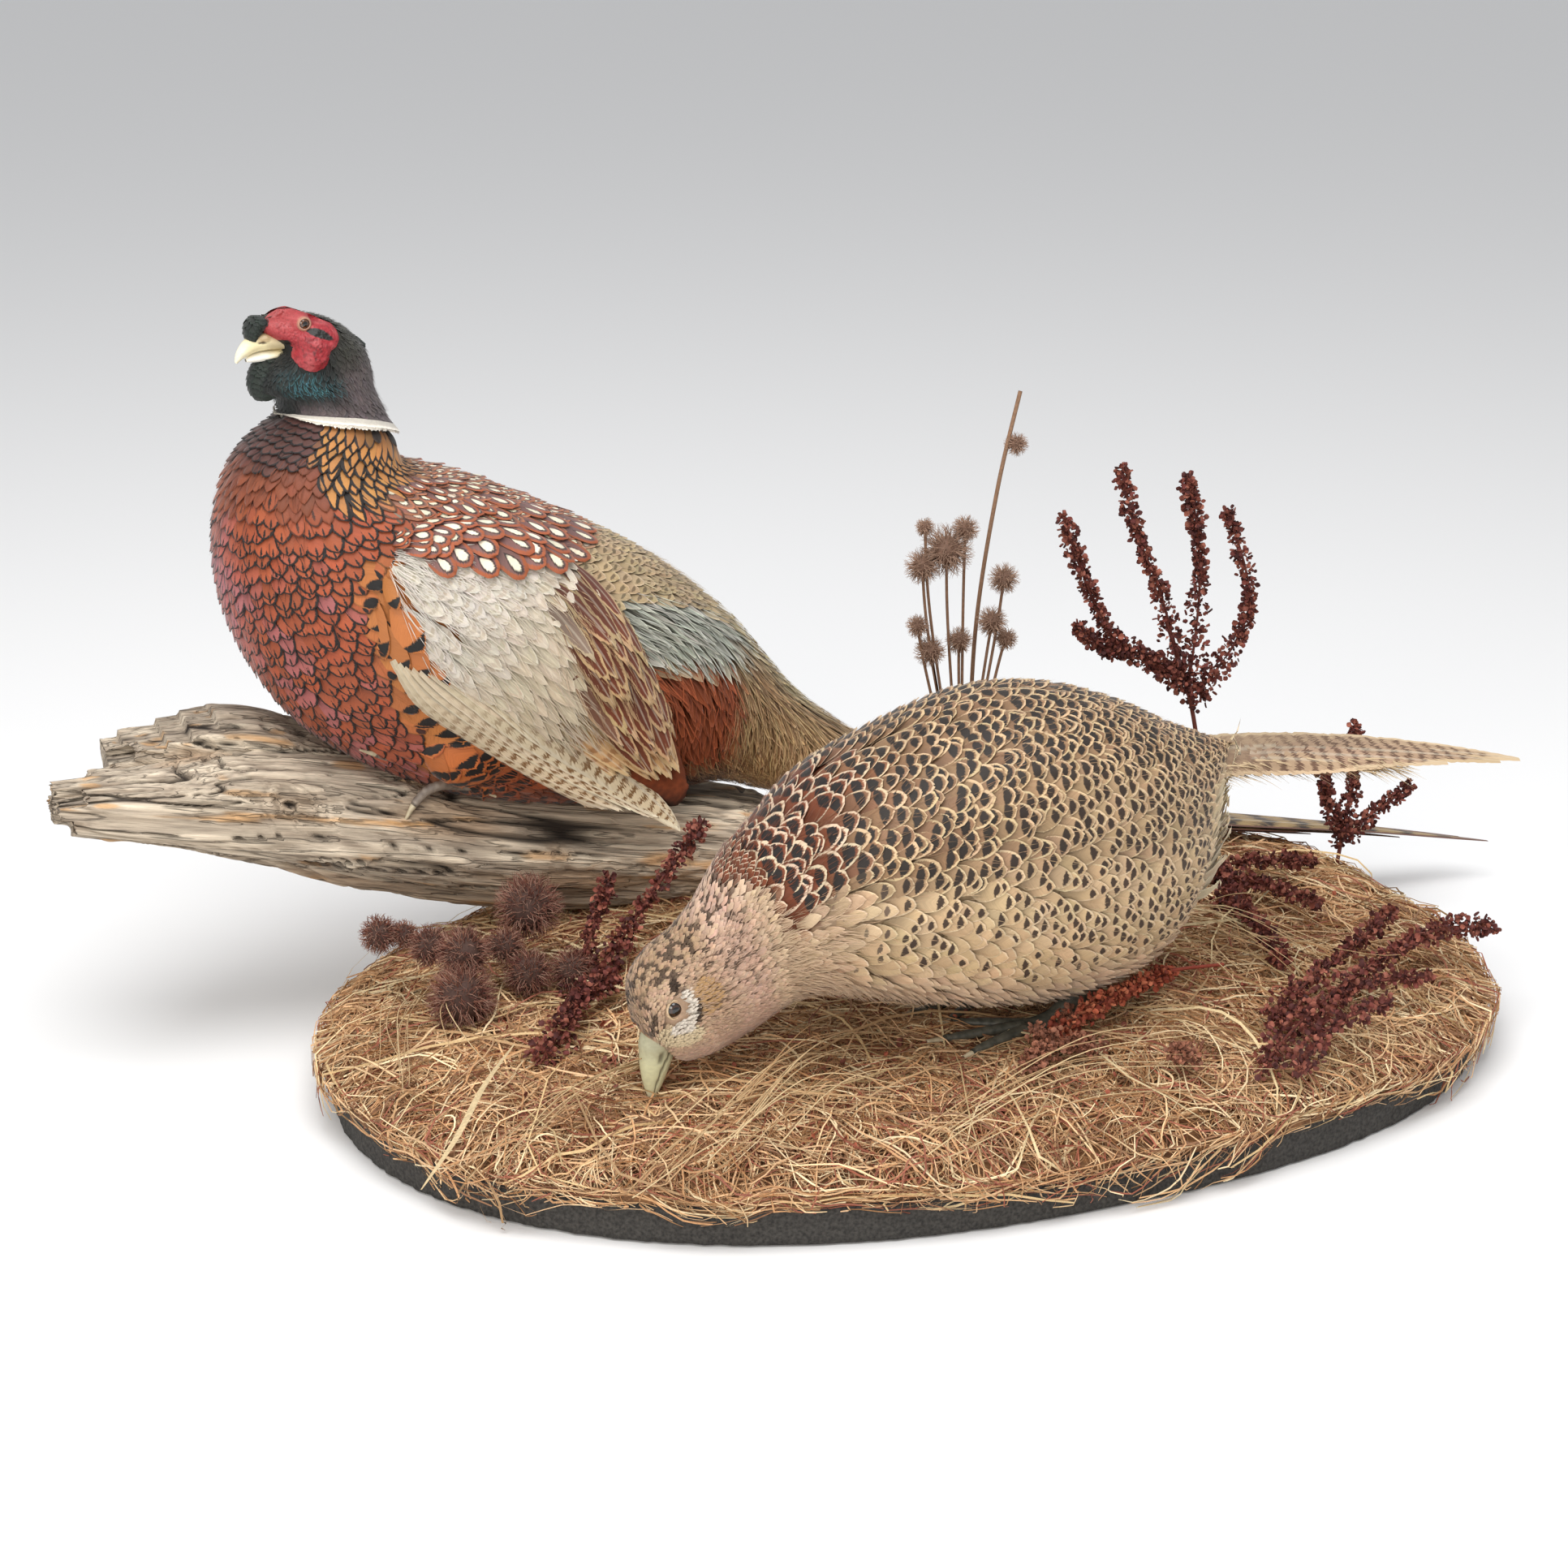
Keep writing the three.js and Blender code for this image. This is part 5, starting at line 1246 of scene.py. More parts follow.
def cheeks(form, u, v, looks):
    """The marked patches of the cheeks, and the mottling of the crown and nape."""
    local = hen_place(form, u, v, 0.6, looks[:, LONG])
    w = below(v)
    mottle = noise(local, 1.9, 81) + 0.3 * noise(local, 6, 82) - 0.25
    mottle = mottle + 0.35 * smooth(0.5, 0.2, w) * smooth(0.4, 0.2, u)
    dark = smooth(0.05, 0.3, mottle) * smooth(0.62, 0.45, w) * smooth(0.42, 0.34, u)
    looks = mixed(looks, HEN_DARK, 0.85 * dark)
    side = smooth(5, 8, np.abs(local[:, 1])) * smooth(0.32, 0.28, u)
    for ahead, height, wide, tall, kind in HEN_PATCHES:
        far = np.hypot((local[:, 0] - ahead) / wide, (local[:, 2] - height) / tall)
        looks = mixed(looks, kind, side * smooth(1.08, 0.9, far + 0.12 * noise(local, 2.5, 83)))
    return looks


def hen_face(form, rng):
    """A second, finer layer of small plumage over the head and neck."""
    u, v = root_rows(form, [[0.012, 1.2, 1.15], [0.2, 1.35, 1.3], [0.3, 2.0, 2.0], [0.41, 2.6, 2.8]], rng,
                     0.8)
    looks = cheeks(form, u, v, varied(hen_looks(u, v), rng, 0.16))
    looks[:, [LONG, WIDE]] *= 0.72
    looks[:, [LONG, WIDE]] *= np.minimum(1, 6.5 / looks[:, LONG])[:, None]
    looks[:, SPOT.start] = 0
    clear = eye_clear(form, u, v, looks[:, LONG])
    return vanes(form, *picked(clear, u, v, looks), rng, lift=(0.9, 1.35), rows=3, columns=3, ragged=0.2)


def hen_barbs(form, rng):
    u, v = rng.uniform(0.0, 1.0, 10500) ** 1.3 * 0.94 + 0.03, rng.uniform(0, 1, 10500)
    looks = cheeks(form, u, v, varied(shown_looks(hen_looks, form, u, v), rng, 0.2))
    looks[:, EDGE] = looks[:, GROUND]
    clear = eye_clear(form, u, v, looks[:, LONG])
    return wisps(form, *picked(clear, u, v, looks), rng, width=0.13, long=0.45, lift=(0.5, 1.15))


def hen_vent(form, rng):
    """Long limp plumes that spread from under the root of the tail, more on the near side."""
    near, far = 110, 60
    count = near + far
    u = rng.uniform(0.84, 0.96, count)
    v = np.concatenate([rng.uniform(0.56, 0.68, near), rng.uniform(0.32, 0.44, far)])
    looks = varied(np.tile(HEN_VENT, (count, 1)), rng, 0.12)
    looks[:, LONG] *= rng.uniform(0.8, 1.5, count)
    lie = np.where(v > 0.5, -0.6, 0.6) + rng.uniform(-0.3, 0.3, count)
    return vanes(form, u, v, looks, rng, lift=(0.4, 2.6), lie=lie, camber=0.3, rows=8, columns=3, ragged=0.4)


def hen_down(form, rng):
    """Down that clouds the plain plumage of the neck and breast."""
    u, v = rng.uniform(0.2, 0.64, 16000), rng.uniform(0, 1, 16000)
    looks = varied(hen_looks(u, v), rng, 0.1)
    u, v, looks = picked((looks[:, LONG] < 13.5) & (below(v) > 0.25), u, v, looks)
    looks[:, EDGE] = looks[:, GROUND]
    clear = eye_clear(form, u, v, looks[:, LONG])
    return wisps(form, *picked(clear, u, v, looks), rng, width=0.2, long=0.6, lift=(0.8, 1.5))


def make_hen_coat(form, rng, material):
    u, v = root_rows(form, HEN_GAPS, rng, 0.7)
    points = form.at(u, v)[0]
    lie = (ruffled(points, rng, 0.22, 45) + 0.15 * noise(points, 14, 61)) * smooth(0.3, 0.45, u)
    looks = cheeks(form, u, v, varied(shown_looks(hen_looks, form, u, v, lie), rng, 0.12))
    w = below(v)
    plain = (looks[:, LONG] < 13.5) & (u > 0.25)
    looks[plain, :6] = mixed(looks[plain, :6], hen_looks(u, v)[plain, :6], 0.7)
    sparse = smooth(0.5, 0.7, w) * smooth(0.4, 0.5, u) * smooth(0.85, 0.65, u)
    bare = rng.uniform(0, 1, len(u)) < np.where(u < 0.32, 0.5, 0.85 * sparse)
    looks[bare, SPOT.start] = 0
    looks[:, SPOT.start] *= rng.uniform(0.7, 1.15, len(u))
    looks[:, WIDE] *= rng.uniform(0.88, 1.12, len(u))
    looks[:, TRAITS.start] *= rng.uniform(0.3, 1.25, len(u))
    keep = eye_clear(form, u, v, looks[:, LONG])
    u, v, looks, lie = picked(keep, u, v, looks, lie)
    small = u < 0.36
    part = lambda mask: (form, *picked(mask, u, v, looks), rng)
    head = vanes(*part(small), rows=4, columns=3, ragged=0.12)
    body = vanes(*part(~small), camber=0.4, lift=(0.1, 1.0), rows=7, lie=lie[~small], ragged=0.08)
    face, loose = hen_face(form, rng), hen_barbs(form, rng)
    vent, down = hen_vent(form, rng), hen_down(form, rng)
    for name, batch in (
        ("hen_face_coat", face), ("hen_vent_plumes", vent), ("hen_down", down),
        ("hen_head_coat", head), ("hen_body_coat", body), ("hen_loose_barbs", loose),
    ):
        make_coat(name, [batch], material)


HEN_TAIL = {"root": (104, 0, 166), "tip": (322, 0, 131)}
HEN_QUILL = plume("#b3967a", "#d0b693", "#6d5240", rim=0.25, bars=25, shaft=0.3)
HEN_QUILLS = [(1.0, 0, 11), (0.93, -3, 11.5), (0.86, 4, 12), (0.76, -7, 12), (0.7, 8, 12), (0.6, -10, 12),
              (0.52, 11, 12)]


def hen_tail_line(share, above):
    """X and z at a share of the tail's length, a little above or below its middle line."""
    (x, _, z), (tip_x, _, tip_z) = HEN_TAIL["root"], HEN_TAIL["tip"]
    return x + (tip_x - x) * share, z + (tip_z - z) * share ** 1.6 + above


def make_hen_tail(rng, material):
    batches = []
    t = np.linspace(0, 1, 90)
    for n, (share, fan, half) in enumerate(HEN_QUILLS):
        x, z = hen_tail_line(t * share, 1.8 - 0.5 * n)
        path = hen_point(x, fan * np.minimum(1, t * 1.6), z - 0.35 * abs(fan) * t)
        look = varied(HEN_QUILL[None], rng, 0.1)[0]
        look[BARS] = round(HEN_QUILL[BARS] * share)
        strip = (n / 7 + 0.005, (n + 1) / 7 - 0.005)
        half_width = half * (1 - 0.88 * t ** 2.2) * (1 - 0.16 * rng.uniform(0, 1, len(t)) ** 2)
        batches.append(blade(path, half_width, look, strip, 0.14, (0, -0.5, 0.87)))
    make_coat("hen_tail", batches + [tail_fringe(700, rng)], material)


def tail_fringe(count, rng):
    """Short loose barbs that hang along the underside of the tail."""
    steps = np.linspace(0, 1, count)
    x, z = hen_tail_line(0.6 * steps, -2)
    start = hen_point(x, rng.uniform(-12, 10, count), z + rng.uniform(-6, 1, count))
    fall = np.stack([rng.uniform(8, 20, count), rng.uniform(-7, 3, count), rng.uniform(-7, 0, count)], -1)
    share = np.linspace(0, 1, 5)[None, :, None]
    paths = start[:, None] + fall[:, None] * share - np.array([0, 0, 2.5]) * share ** 2
    half = (0.35 * (1 - share) + 0.05) * np.array([0.0, 0.7, 0.7])
    points, faces = many_grids(np.stack([paths - half, paths + half], axis=2))
    place = np.repeat(np.stack([0.2 + 0.6 * steps, 0.5 + 0 * steps], -1), len(points) // count, axis=0)
    looks = np.tile(plume("#cdb48f", "#cdb48f"), (len(points), 1))
    return {"points": points, "faces": faces, "looks": looks, "bake": place,
            "vane": np.full((len(points), 2), 0.4)}


# ---- Heads ---------------------------------------------------------------------------------------


def ball(centre, radius, rows=20, columns=32):
    """A sphere from rings about the Y axis, so that its poles look to both sides."""
    theta = np.linspace(0.02, np.pi - 0.02, rows)[:, None]
    phi = 2 * np.pi * np.arange(columns)[None, :] / columns
    grid = np.stack([np.sin(theta) * np.cos(phi), np.cos(theta) + 0 * phi, np.sin(theta) * np.sin(phi)], -1)
    return many_grids((np.asarray(centre) + radius * grid)[None], closed=True)


def glass_eye_material(name, iris, pupil):
    """Blown glass eye: a wet, dark dome with a coloured iris. The pupil is a share of the iris."""
    material, tree = new_material(name)
    reach = add(tree, "ShaderNodeSeparateXYZ",
                [add(tree, "ShaderNodeAttribute", attribute_name="Iris").outputs["Vector"]])
    black = add(tree, RANGE, [reach, pupil, pupil + 0.06])
    rim = add(tree, RANGE, [reach, 0.8, 0.9])
    colour = blend(tree, black, rgba("#070505"), rgba(iris))
    colour = blend(tree, rim, colour, rgba("#120b08"))
    glass = add(tree, SURFACE, {
        "Base Color": colour, "Roughness": 0.08, "IOR": 1.5, "Coat Weight": 1.0, "Coat Roughness": 0.02,
    })
    add(tree, "ShaderNodeOutputMaterial", [glass])
    return material


IRIS_ANGLE = 0.75  # radians from the middle of the pupil to the rim of the iris


def make_eye(name, centre, radius, outward, material, replaced=()):
    dome = ball(centre, radius)
    away = np.arccos(np.clip(unit(dome[0] - np.asarray(centre)) @ unit(np.asarray(outward)), -1, 1))
    values = np.stack([away / IRIS_ANGLE, 0 * away, 0 * away, 1 + 0 * away], -1)
    make_piece(name, dome, material, replaced, colours={"Iris": values})


def aside_on(form, ahead, height, side):
    """How far aside the head's surface is at places of its own plane."""
    points = head_measures(form.grid[:110, :-1].reshape(-1, 3))
    points = points[points[:, 1] * side > 0]
    tree = mathutils.kdtree.KDTree(len(points))
    for n, (x, y, z) in enumerate(points):
        tree.insert((x, z, 0), n)
    tree.balance()
    values = []
    for x, z in zip(ahead.ravel(), height.ravel()):
        near = tree.find_n((x, z, 0), 6)
        weights = np.array([1 / (distance + 0.3) ** 2 for _, _, distance in near])
        values.append(np.sum(weights * np.abs(points[[n for _, n, _ in near], 1])) / weights.sum())
    return np.array(values).reshape(ahead.shape)


LID = {"wide": 2.45, "tall": 2.15, "lip": 0.4}
# The top edge of the bare face: how far ahead, and its height.
BROW = [-30, -25, -20, -12, -5, 0, 5], [366, 369.3, 371, 370.6, 368, 365.2, 362.8]


def make_face(side, form, material):
    """Bare skin of one cheek: lids round the eye, pebbled lobes, and an outline tucked under the coat."""
    sign = -1 if side == "left" else 1
    count, rings = 190, 60
    angle = 2 * np.pi * np.arange(count) / count
    reach = np.zeros(count)
    for k in FACE_ROUNDS:
        dx, dz = EYE_SPOT["ahead"] - k["ahead"], EYE_SPOT["height"] - k["height"]
        a = (np.cos(angle) / k["wide"]) ** 2 + (np.sin(angle) / k["tall"]) ** 2
        b = dx * np.cos(angle) / k["wide"] ** 2 + dz * np.sin(angle) / k["tall"] ** 2
        c = (dx / k["wide"]) ** 2 + (dz / k["tall"]) ** 2 - 1
        inside = b * b - a * c
        reach = np.maximum(reach, np.where(inside > 0, (-b + np.sqrt(np.maximum(inside, 0))) / a, 0))
    for _ in range(5):
        reach = 0.5 * reach + 0.25 * (np.roll(reach, 1) + np.roll(reach, -1))
    lid = LID["wide"] * LID["tall"] / np.hypot(LID["tall"] * np.cos(angle), LID["wide"] * np.sin(angle))
    t = (np.linspace(0, 1, rings) ** 1.3)[:, None]
    radius = lid + (reach * 1.04 - lid) * t
    ahead, height = EYE_SPOT["ahead"] + radius * np.cos(angle), EYE_SPOT["height"] + radius * np.sin(angle)
    height = np.minimum(height, np.interp(ahead, *BROW))
    skin = np.maximum(aside_on(form, ahead, height, sign), crown_strip(ahead))
    past = radius - lid
    on_ball = EYE_SPOT["aside"] + np.sqrt(np.maximum(EYE_RADIUS ** 2 - lid ** 2, 0)) + 0.1
    lip = on_ball + LID["lip"] * np.sin(np.pi * np.clip(past / 1.3, 0, 1)) - 0.25 * past
    lobe = np.exp(-((ahead + 9.3) / 7) ** 2 - ((height - 350.5) / 7) ** 2)
    swell = 1.2 + 1.6 * lobe + 0.3 * np.sin(0.8 * (height - 343) + 0.25 * ahead)
    skin = skin + swell * smooth(1.04, 0.8, radius / reach) - 0.8 * smooth(0.97, 1.04, radius / reach)
    places = np.stack([ahead, skin, height], -1)
    pebbles = noise(places, 1.0, 3) + 0.6 * noise(places, 0.55, 4)
    skin = skin + 0.34 * pebbles * smooth(0.3, 2.5, past)
    skin = skin + 0.35 * np.cos(2.6 * past) * smooth(0.8, 1.4, past) * smooth(4.2, 2.4, past)
    aside = mixed(lip[..., None], skin[..., None], smooth(0.6, 4.6, past))[..., 0]
    points, faces = many_grids(head_point(ahead, sign * aside, height)[None], closed=True)
    if sign > 0:
        faces = faces[:, ::-1]
    specks = smooth(0.1, 0.5, noise(places, 1.1, 8) + 0.5 * noise(places, 0.6, 7)) * smooth(1, 4, past)
    over, above = ahead + 4.4, height - 359.8
    streak = np.hypot(0.9 * over - 0.434 * above, 3.0 * (0.434 * over + 0.9 * above) + 0.06 * over ** 2)
    gape = np.hypot((ahead + 20.6) / 3.0, (height - 355) / 2.5)
    tone = painted(
        np.tile(linear("#9e2830"), ahead.shape + (1,)),
        ("#a44443", 0.8 * smooth(356, 368, height) * smooth(-4, -20, ahead)),
        ("#8c1d24", 0.6 * lobe),
        ("#c9696a", 0.35 * smooth(0.1, 0.7, noise(places, 4, 6))),
        ("#56151a", specks * (0.25 + 0.6 * lobe)),
        # The rim of the lids, then the dark line round the glass.
        ("#b0826c", smooth(1.7, 0.8, past)),
        ("#3a1c18", smooth(0.3, 0.05, past)),
        # The dark streak behind the eye, then the black corner of the mouth.
        ("#1b1a17", smooth(6.6, 5.4, streak + 0.9 * noise(places, 1.3, 9)) * smooth(0.6, 1.4, past)),
        ("#171412", smooth(1.25, 0.9, gape + 0.1 * noise(places, 1.3, 5))),
    )
    make_piece(f"face_skin_{side}", (points, faces), material, (f"wattle_{side}",), tone)


# Bill rows in the head's plane: distance ahead, height, half width and half depth.
UPPER_BILL_ROWS = [
    [-16, 354.6, 7.4, 4.2], [-21, 356, 7.2, 4.6], [-26, 356.4, 6.6, 4.8], [-30.5, 355.8, 5.6, 4.4],
    [-34.7, 354, 4.3, 3.7],
    [-38.2, 351.4, 2.9, 2.7], [-40.4, 348.9, 1.6, 1.6], [-41.3, 346.9, 0.6, 0.7],
]
LOWER_BILL_ROWS = [
    [-16, 349.2, 6.8, 2.6], [-23, 349.1, 5.9, 2.7], [-29, 348.7, 4.6, 2.4], [-33.5, 348.2, 2.9, 1.8],
    [-36.4, 347.7, 0.9, 0.8],
]


def make_cock_bill(material):
    for name, rows in (("bill_upper", UPPER_BILL_ROWS), ("bill_lower", LOWER_BILL_ROWS)):
        form = middle_form(rows, (70, 49))
        grid = form.grid[:, :-1]
        around = 2 * np.pi * np.arange(grid.shape[1]) / grid.shape[1]
        normal = form.table[:, :-1, 3:6]
        side = np.abs(np.cos(around))
        local = head_measures(grid)
        tone = linear("#ecdfb2") * np.ones_like(grid)
        if name == "bill_upper":
            nostril = np.hypot((local[..., 0] + 29.0) / 3.4, (local[..., 2] - 358.4) / 2.0)
            cover = smooth(1.25, 0.6, nostril) * smooth(0.3, 0.8, side)
            slit = smooth(1.0, 0.5, np.hypot((local[..., 0] + 29.8) / 2.6, (local[..., 2] - 356.4) / 0.6))
            slit = slit * smooth(0.3, 0.8, side)
            grid = grid + normal * (0.9 * cover - 0.9 * slit)[..., None]
            tone = painted(tone, ("#cdbb94", 0.8 * smooth(-30, -24, local[..., 0])), ("#b39b74", cover),
                           ("#4a3626", slit), ("#f3ecd0", smooth(-35, -40, local[..., 0])))
        else:
            tone = painted(tone, ("#f6f1e4", smooth(-20, -30, local[..., 0])))
        grid = grid + normal * (0.06 * noise(local, 0.8, 5, (0.25, 1, 1)))[..., None]
        make_piece(name, many_grids(grid[None], closed=True), material, (name,), tone)


# ---- Legs ----------------------------------------------------------------------------------------

THIGH_ROWS = [
    [-194, 94, 176, 10, 28], [-193, 91, 162, 14, 30], [-192, 92, 149, 14, 25], [-190, 95, 139, 9, 14],
]
TOE_PATHS = [
    [[-199, 100, 131, 3.6, 3.6], [-209, 95, 133, 2.6, 2.6], [-217, 94, 131, 2.3, 2.3],
     [-224.5, 92, 125, 1.9, 1.9],
     [-229.5, 92, 117, 0.6, 0.6]],
    [[-199, 102, 131, 3.6, 3.6], [-212, 104, 138, 2.4, 2.4], [-226, 102, 145, 2, 2],
     [-241, 100, 152, 1.6, 1.6],
     [-249, 99, 155.5, 0.5, 0.5]],
    [[-199, 100, 131, 3.6, 3.6], [-200, 112, 131, 2.6, 2.6], [-205, 122, 130, 2.2, 2.2],
     [-210, 130, 126, 0.6, 0.8]],
    [[-199, 100, 131, 3.6, 3.6], [-190, 100, 128, 2.6, 2.6], [-180, 98, 122, 0.8, 1]],
]
RIGHT_FOOT_AHEAD = -7
THIGH_PLUME = plume("#b5642f", "#a05028", "#15100d", rim=0.0, spot=(0.95, 0.85, 0.1, 0.0), long=26,
                    wide=7.5, blunt=1.9)


def scaly_toes(paths, place, scale, claw, names, replaced=(), claw_share=0.74):
    """Toes ringed with scutes, and their claws as pieces of their own."""
    toes, claws = [], []
    for path in paths:
        form = limb_form(path, (0, 0, 1), (72, 25))
        u = np.linspace(0, 1, 72)
        around = np.linspace(0, 2 * np.pi, 25)
        scutes = 0.28 * np.abs(np.sin(u * 11 * np.pi))[:, None] * (0.5 + 0.5 * np.cos(around))
        scutes = scutes * smooth(claw_share + 0.02, claw_share - 0.04, u)[:, None]
        grid = form.grid + form.table[..., 3:6] * scutes[..., None]
        cut = int(claw_share * 72)
        shrink = np.where(u > claw_share, 0.86, 1.0)[:, None, None]
        middle = grid[:, :-1].mean(axis=1, keepdims=True)
        grid = middle + (grid - middle) * shrink
        toes.append(many_grids(place(grid[None, :cut + 1, :-1]), closed=True))
        claws.append(many_grids(place(grid[None, cut - 2:, :-1]), closed=True))
    make_piece(names[0], joined(toes), scale, replaced)
    make_piece(names[1], joined(claws), claw)


def make_cock_legs(rng, feather, scale, claw):
    form = limb_form(THIGH_ROWS, size=(60, 49), depth=2.5)
    u, v = root_rows(form, [[0.0, 6, 7], [0.86, 6, 7]], rng)
    back = -0.95 * within(v, 0.3, 0.7, 0.1)
    looks = varied(np.tile(THIGH_PLUME, (len(u), 1)), rng)
    coat = vanes(form, u, v, looks, rng, (0.2, 1.6), back, rows=7, columns=5, ragged=0.1)
    for side, ahead in (("left", 0), ("right", RIGHT_FOOT_AHEAD)):
        flip = side == "right"
        make_coat(f"thigh_coat_{side}", [coat], feather, (), flip)
        place = lambda grid: (mirrored(grid) if flip else grid) + np.array([ahead, 0, 0])
        scaly_toes(TOE_PATHS, place, scale, claw, (f"toes_{side}", f"claws_{side}"), (f"foot_{side}",))


HEN_BILL_ROWS = [
    [-161, 0, 82, 5.5, 6.5], [-163.3, 0, 73, 7.4, 8.6], [-163.8, 0, 67, 6.8, 8.4],
    [-164.8, 0, 61, 5.8, 7.4], [-165.6, 0, 54.5, 4.4, 5.8],
    [-166.2, 0, 48.5, 2.9, 3.8], [-166.5, 0, 44, 1.5, 1.8], [-166.6, 0, 40.6, 0.5, 0.6],
]
HEN_LEG_ROWS = [[56, -20, 78, 9, 12], [48, -20, 64, 6, 7], [34, -21, 54, 4, 4], [18, -22, 51, 4, 4]]
HEN_TOES = [
    [[20, -24, 52, 2.6, 3.2], [-6, -31, 51.5, 2.1, 2.6], [-25, -38, 51, 1.1, 1.3]],
    [[21, -21, 52, 2.8, 3.2], [-6, -18, 51.5, 2.2, 2.6], [-32, -15, 51, 1.1, 1.3]],
    [[19, -20, 52, 2.5, 3.2], [0, -8, 51.5, 2.1, 2.6], [-16, 3, 51, 1.1, 1.3]],
    [[15, -22, 52, 2.4, 3.0], [33, -25, 51, 1.3, 1.5]],
]
# The hen's lids from the glass outwards: how far past its edge, how far up, and the tone.
HEN_LIDS = [(0.0, 2.5, "#3a271d"), (0.35, 3.0, "#cfae84"), (0.8, 3.0, "#dcc3a0"), (1.6, 1.8, "#c3a283"),
            (2.6, -0.8, "#b8967a")]


def make_hen_extras(eye, horn, dark_scale, claw, skin):
    angle = 2 * np.pi * np.arange(40) / 40
    for side, name in ((-1, "left"), (1, "right")):
        centre = hen_point(HEN_EYE["ahead"], side * (HEN_EYE["aside"] - 0.6), HEN_EYE["height"])
        make_eye(f"hen_eye_{name}", centre, HEN_EYE["radius"], turned((0, side, 0), HEN_TURN), eye)
        flip = np.array([1, 1, 1]) if side < 0 else np.array([1, -1, 1])
        place = lambda grid: in_hen_place(grid * flip)
        scaly_toes(HEN_TOES, place, dark_scale, claw, (f"hen_toes_{name}", f"hen_claws_{name}"), (), 0.8)
        leg = limb_form(HEN_LEG_ROWS, size=(40, 25)).grid[None, :, :-1]
        make_piece(f"hen_shank_{name}", many_grids(place(leg), closed=True), dark_scale)
        past, up, tones = zip(*HEN_LIDS)
        past, up = np.array(past)[:, None], np.array(up)[:, None]
        lid = np.stack([HEN_EYE["ahead"] + (HEN_EYE["wide"] - 0.4 + past) * np.cos(angle),
                        0 * angle + side * (HEN_EYE["aside"] - 0.6 + up),
                        HEN_EYE["height"] + (HEN_EYE["tall"] - 0.4 + past) * np.sin(angle)], -1)
        lid = many_grids(in_hen_place(lid)[None], closed=True)
        tone = np.repeat(palette(tones), len(angle), axis=0)
        make_piece(f"hen_lids_{name}", lid, skin, (), tone)
    form = limb_form(HEN_BILL_ROWS, size=(60, 49))
    local = form.grid[:, :-1]
    around = 2 * np.pi * np.arange(48) / 48
    t = np.linspace(0, 1, 60)
    line = np.interp(t, [0, 0.15, 0.4, 0.65, 1], [0.8, 0.6, 0.25, 0.02, -0.1])[:, None]
    gape = smooth(0.13, 0.04, np.abs(np.sin(around) - line)) * smooth(0.98, 0.88, t)[:, None]
    reach = np.hypot((local[..., 2] - 66) / 3.4, (np.sin(around) + 0.05) / 0.2)
    nostril = smooth(1.2, 0.5, reach) * (np.abs(np.cos(around)) > 0.3)
    points = local - form.table[:, :-1, 3:6] * (0.5 * gape + 0.6 * nostril)[..., None]
    tone = painted(linear("#cfcda6") * np.ones_like(local), ("#b3b092", smooth(60, 72, local[..., 2])),
                   ("#dcd8b8", smooth(52, 44, local[..., 2])),
                   ("#4a4230", np.maximum(0.85 * gape, 0.75 * nostril)))
    make_piece("hen_bill", many_grids(in_hen_place(points)[None], closed=True), horn, (), tone)


# ---- Skins under the plumage ---------------------------------------------------------------------

CAP_SHARE = 0.02  # the small ring that closes each end of a form


def skin_of(name, forms, looks_of, material, replaced, voxel):
    """One closed skin over several forms, coloured by what grows at the nearest place of the first."""
    parts = []
    for form in forms:
        grid = form.grid[:, :-1]
        middle = grid.mean(axis=1, keepdims=True)
        ends = middle + CAP_SHARE * (grid - middle)
        parts.append(many_grids(np.concatenate([ends[:1], grid, ends[-1:]])[None], closed=True))
    points, faces = joined(parts)
    mesh = bpy.data.meshes.new(name)
    mesh.from_pydata((points * MM).tolist(), [], faces.tolist())
    rough = bpy.data.objects.new(name, mesh)
    bpy.context.scene.collection.objects.link(rough)
    remesh = rough.modifiers.new("one skin", "REMESH")
    remesh.mode = "VOXEL"
    remesh.voxel_size = voxel * MM
    soften = rough.modifiers.new("soften", "SMOOTH")
    soften.iterations = 4
    made = bpy.data.meshes.new_from_object(rough.evaluated_get(bpy.context.evaluated_depsgraph_get()))
    bpy.data.objects.remove(rough)
    points = np.empty(len(made.vertices) * 3, np.float32)
    made.vertices.foreach_get("co", points)
    points = points.reshape(-1, 3) / MM
    body = forms[0].grid[:, :-1]
    tree = mathutils.kdtree.KDTree(body.shape[0] * body.shape[1])
    for n, place in enumerate(body.reshape(-1, 3)):
        tree.insert(place, n)
    tree.balance()
    nearest = np.array([tree.find(place)[1] for place in points])
    u, v = nearest // body.shape[1] / (body.shape[0] - 1), nearest % body.shape[1] / body.shape[1]
    # Darker than the plumage above it: painted shade under the coat.
    tone = 0.8 * looks_of(u, v)[:, GROUND]
    layer = made.color_attributes.new("Paint", "FLOAT_COLOR", "POINT")
    layer.data.foreach_set("color", np.hstack([tone, np.ones((len(tone), 1))]).astype(np.float32).ravel())
    made.shade_smooth()
    made.materials.clear()
    made.materials.append(material)
    place_piece(name, made, replaced)


# ---- Board and straw -----------------------------------------------------------------------------

BOARD = {"left": 289, "right": 304, "half_depth": 205, "height": 21}
SQUARENESS = {"left": 2.1, "right": 2.5}
MAT_TOP = 51
MAT_PROFILE = [[0.1, 1], [0.4, 0.96], [0.7, 0.84], [0.88, 0.64], [0.98, 0.4], [1.015, 0.15], [1.02, 0.0]]


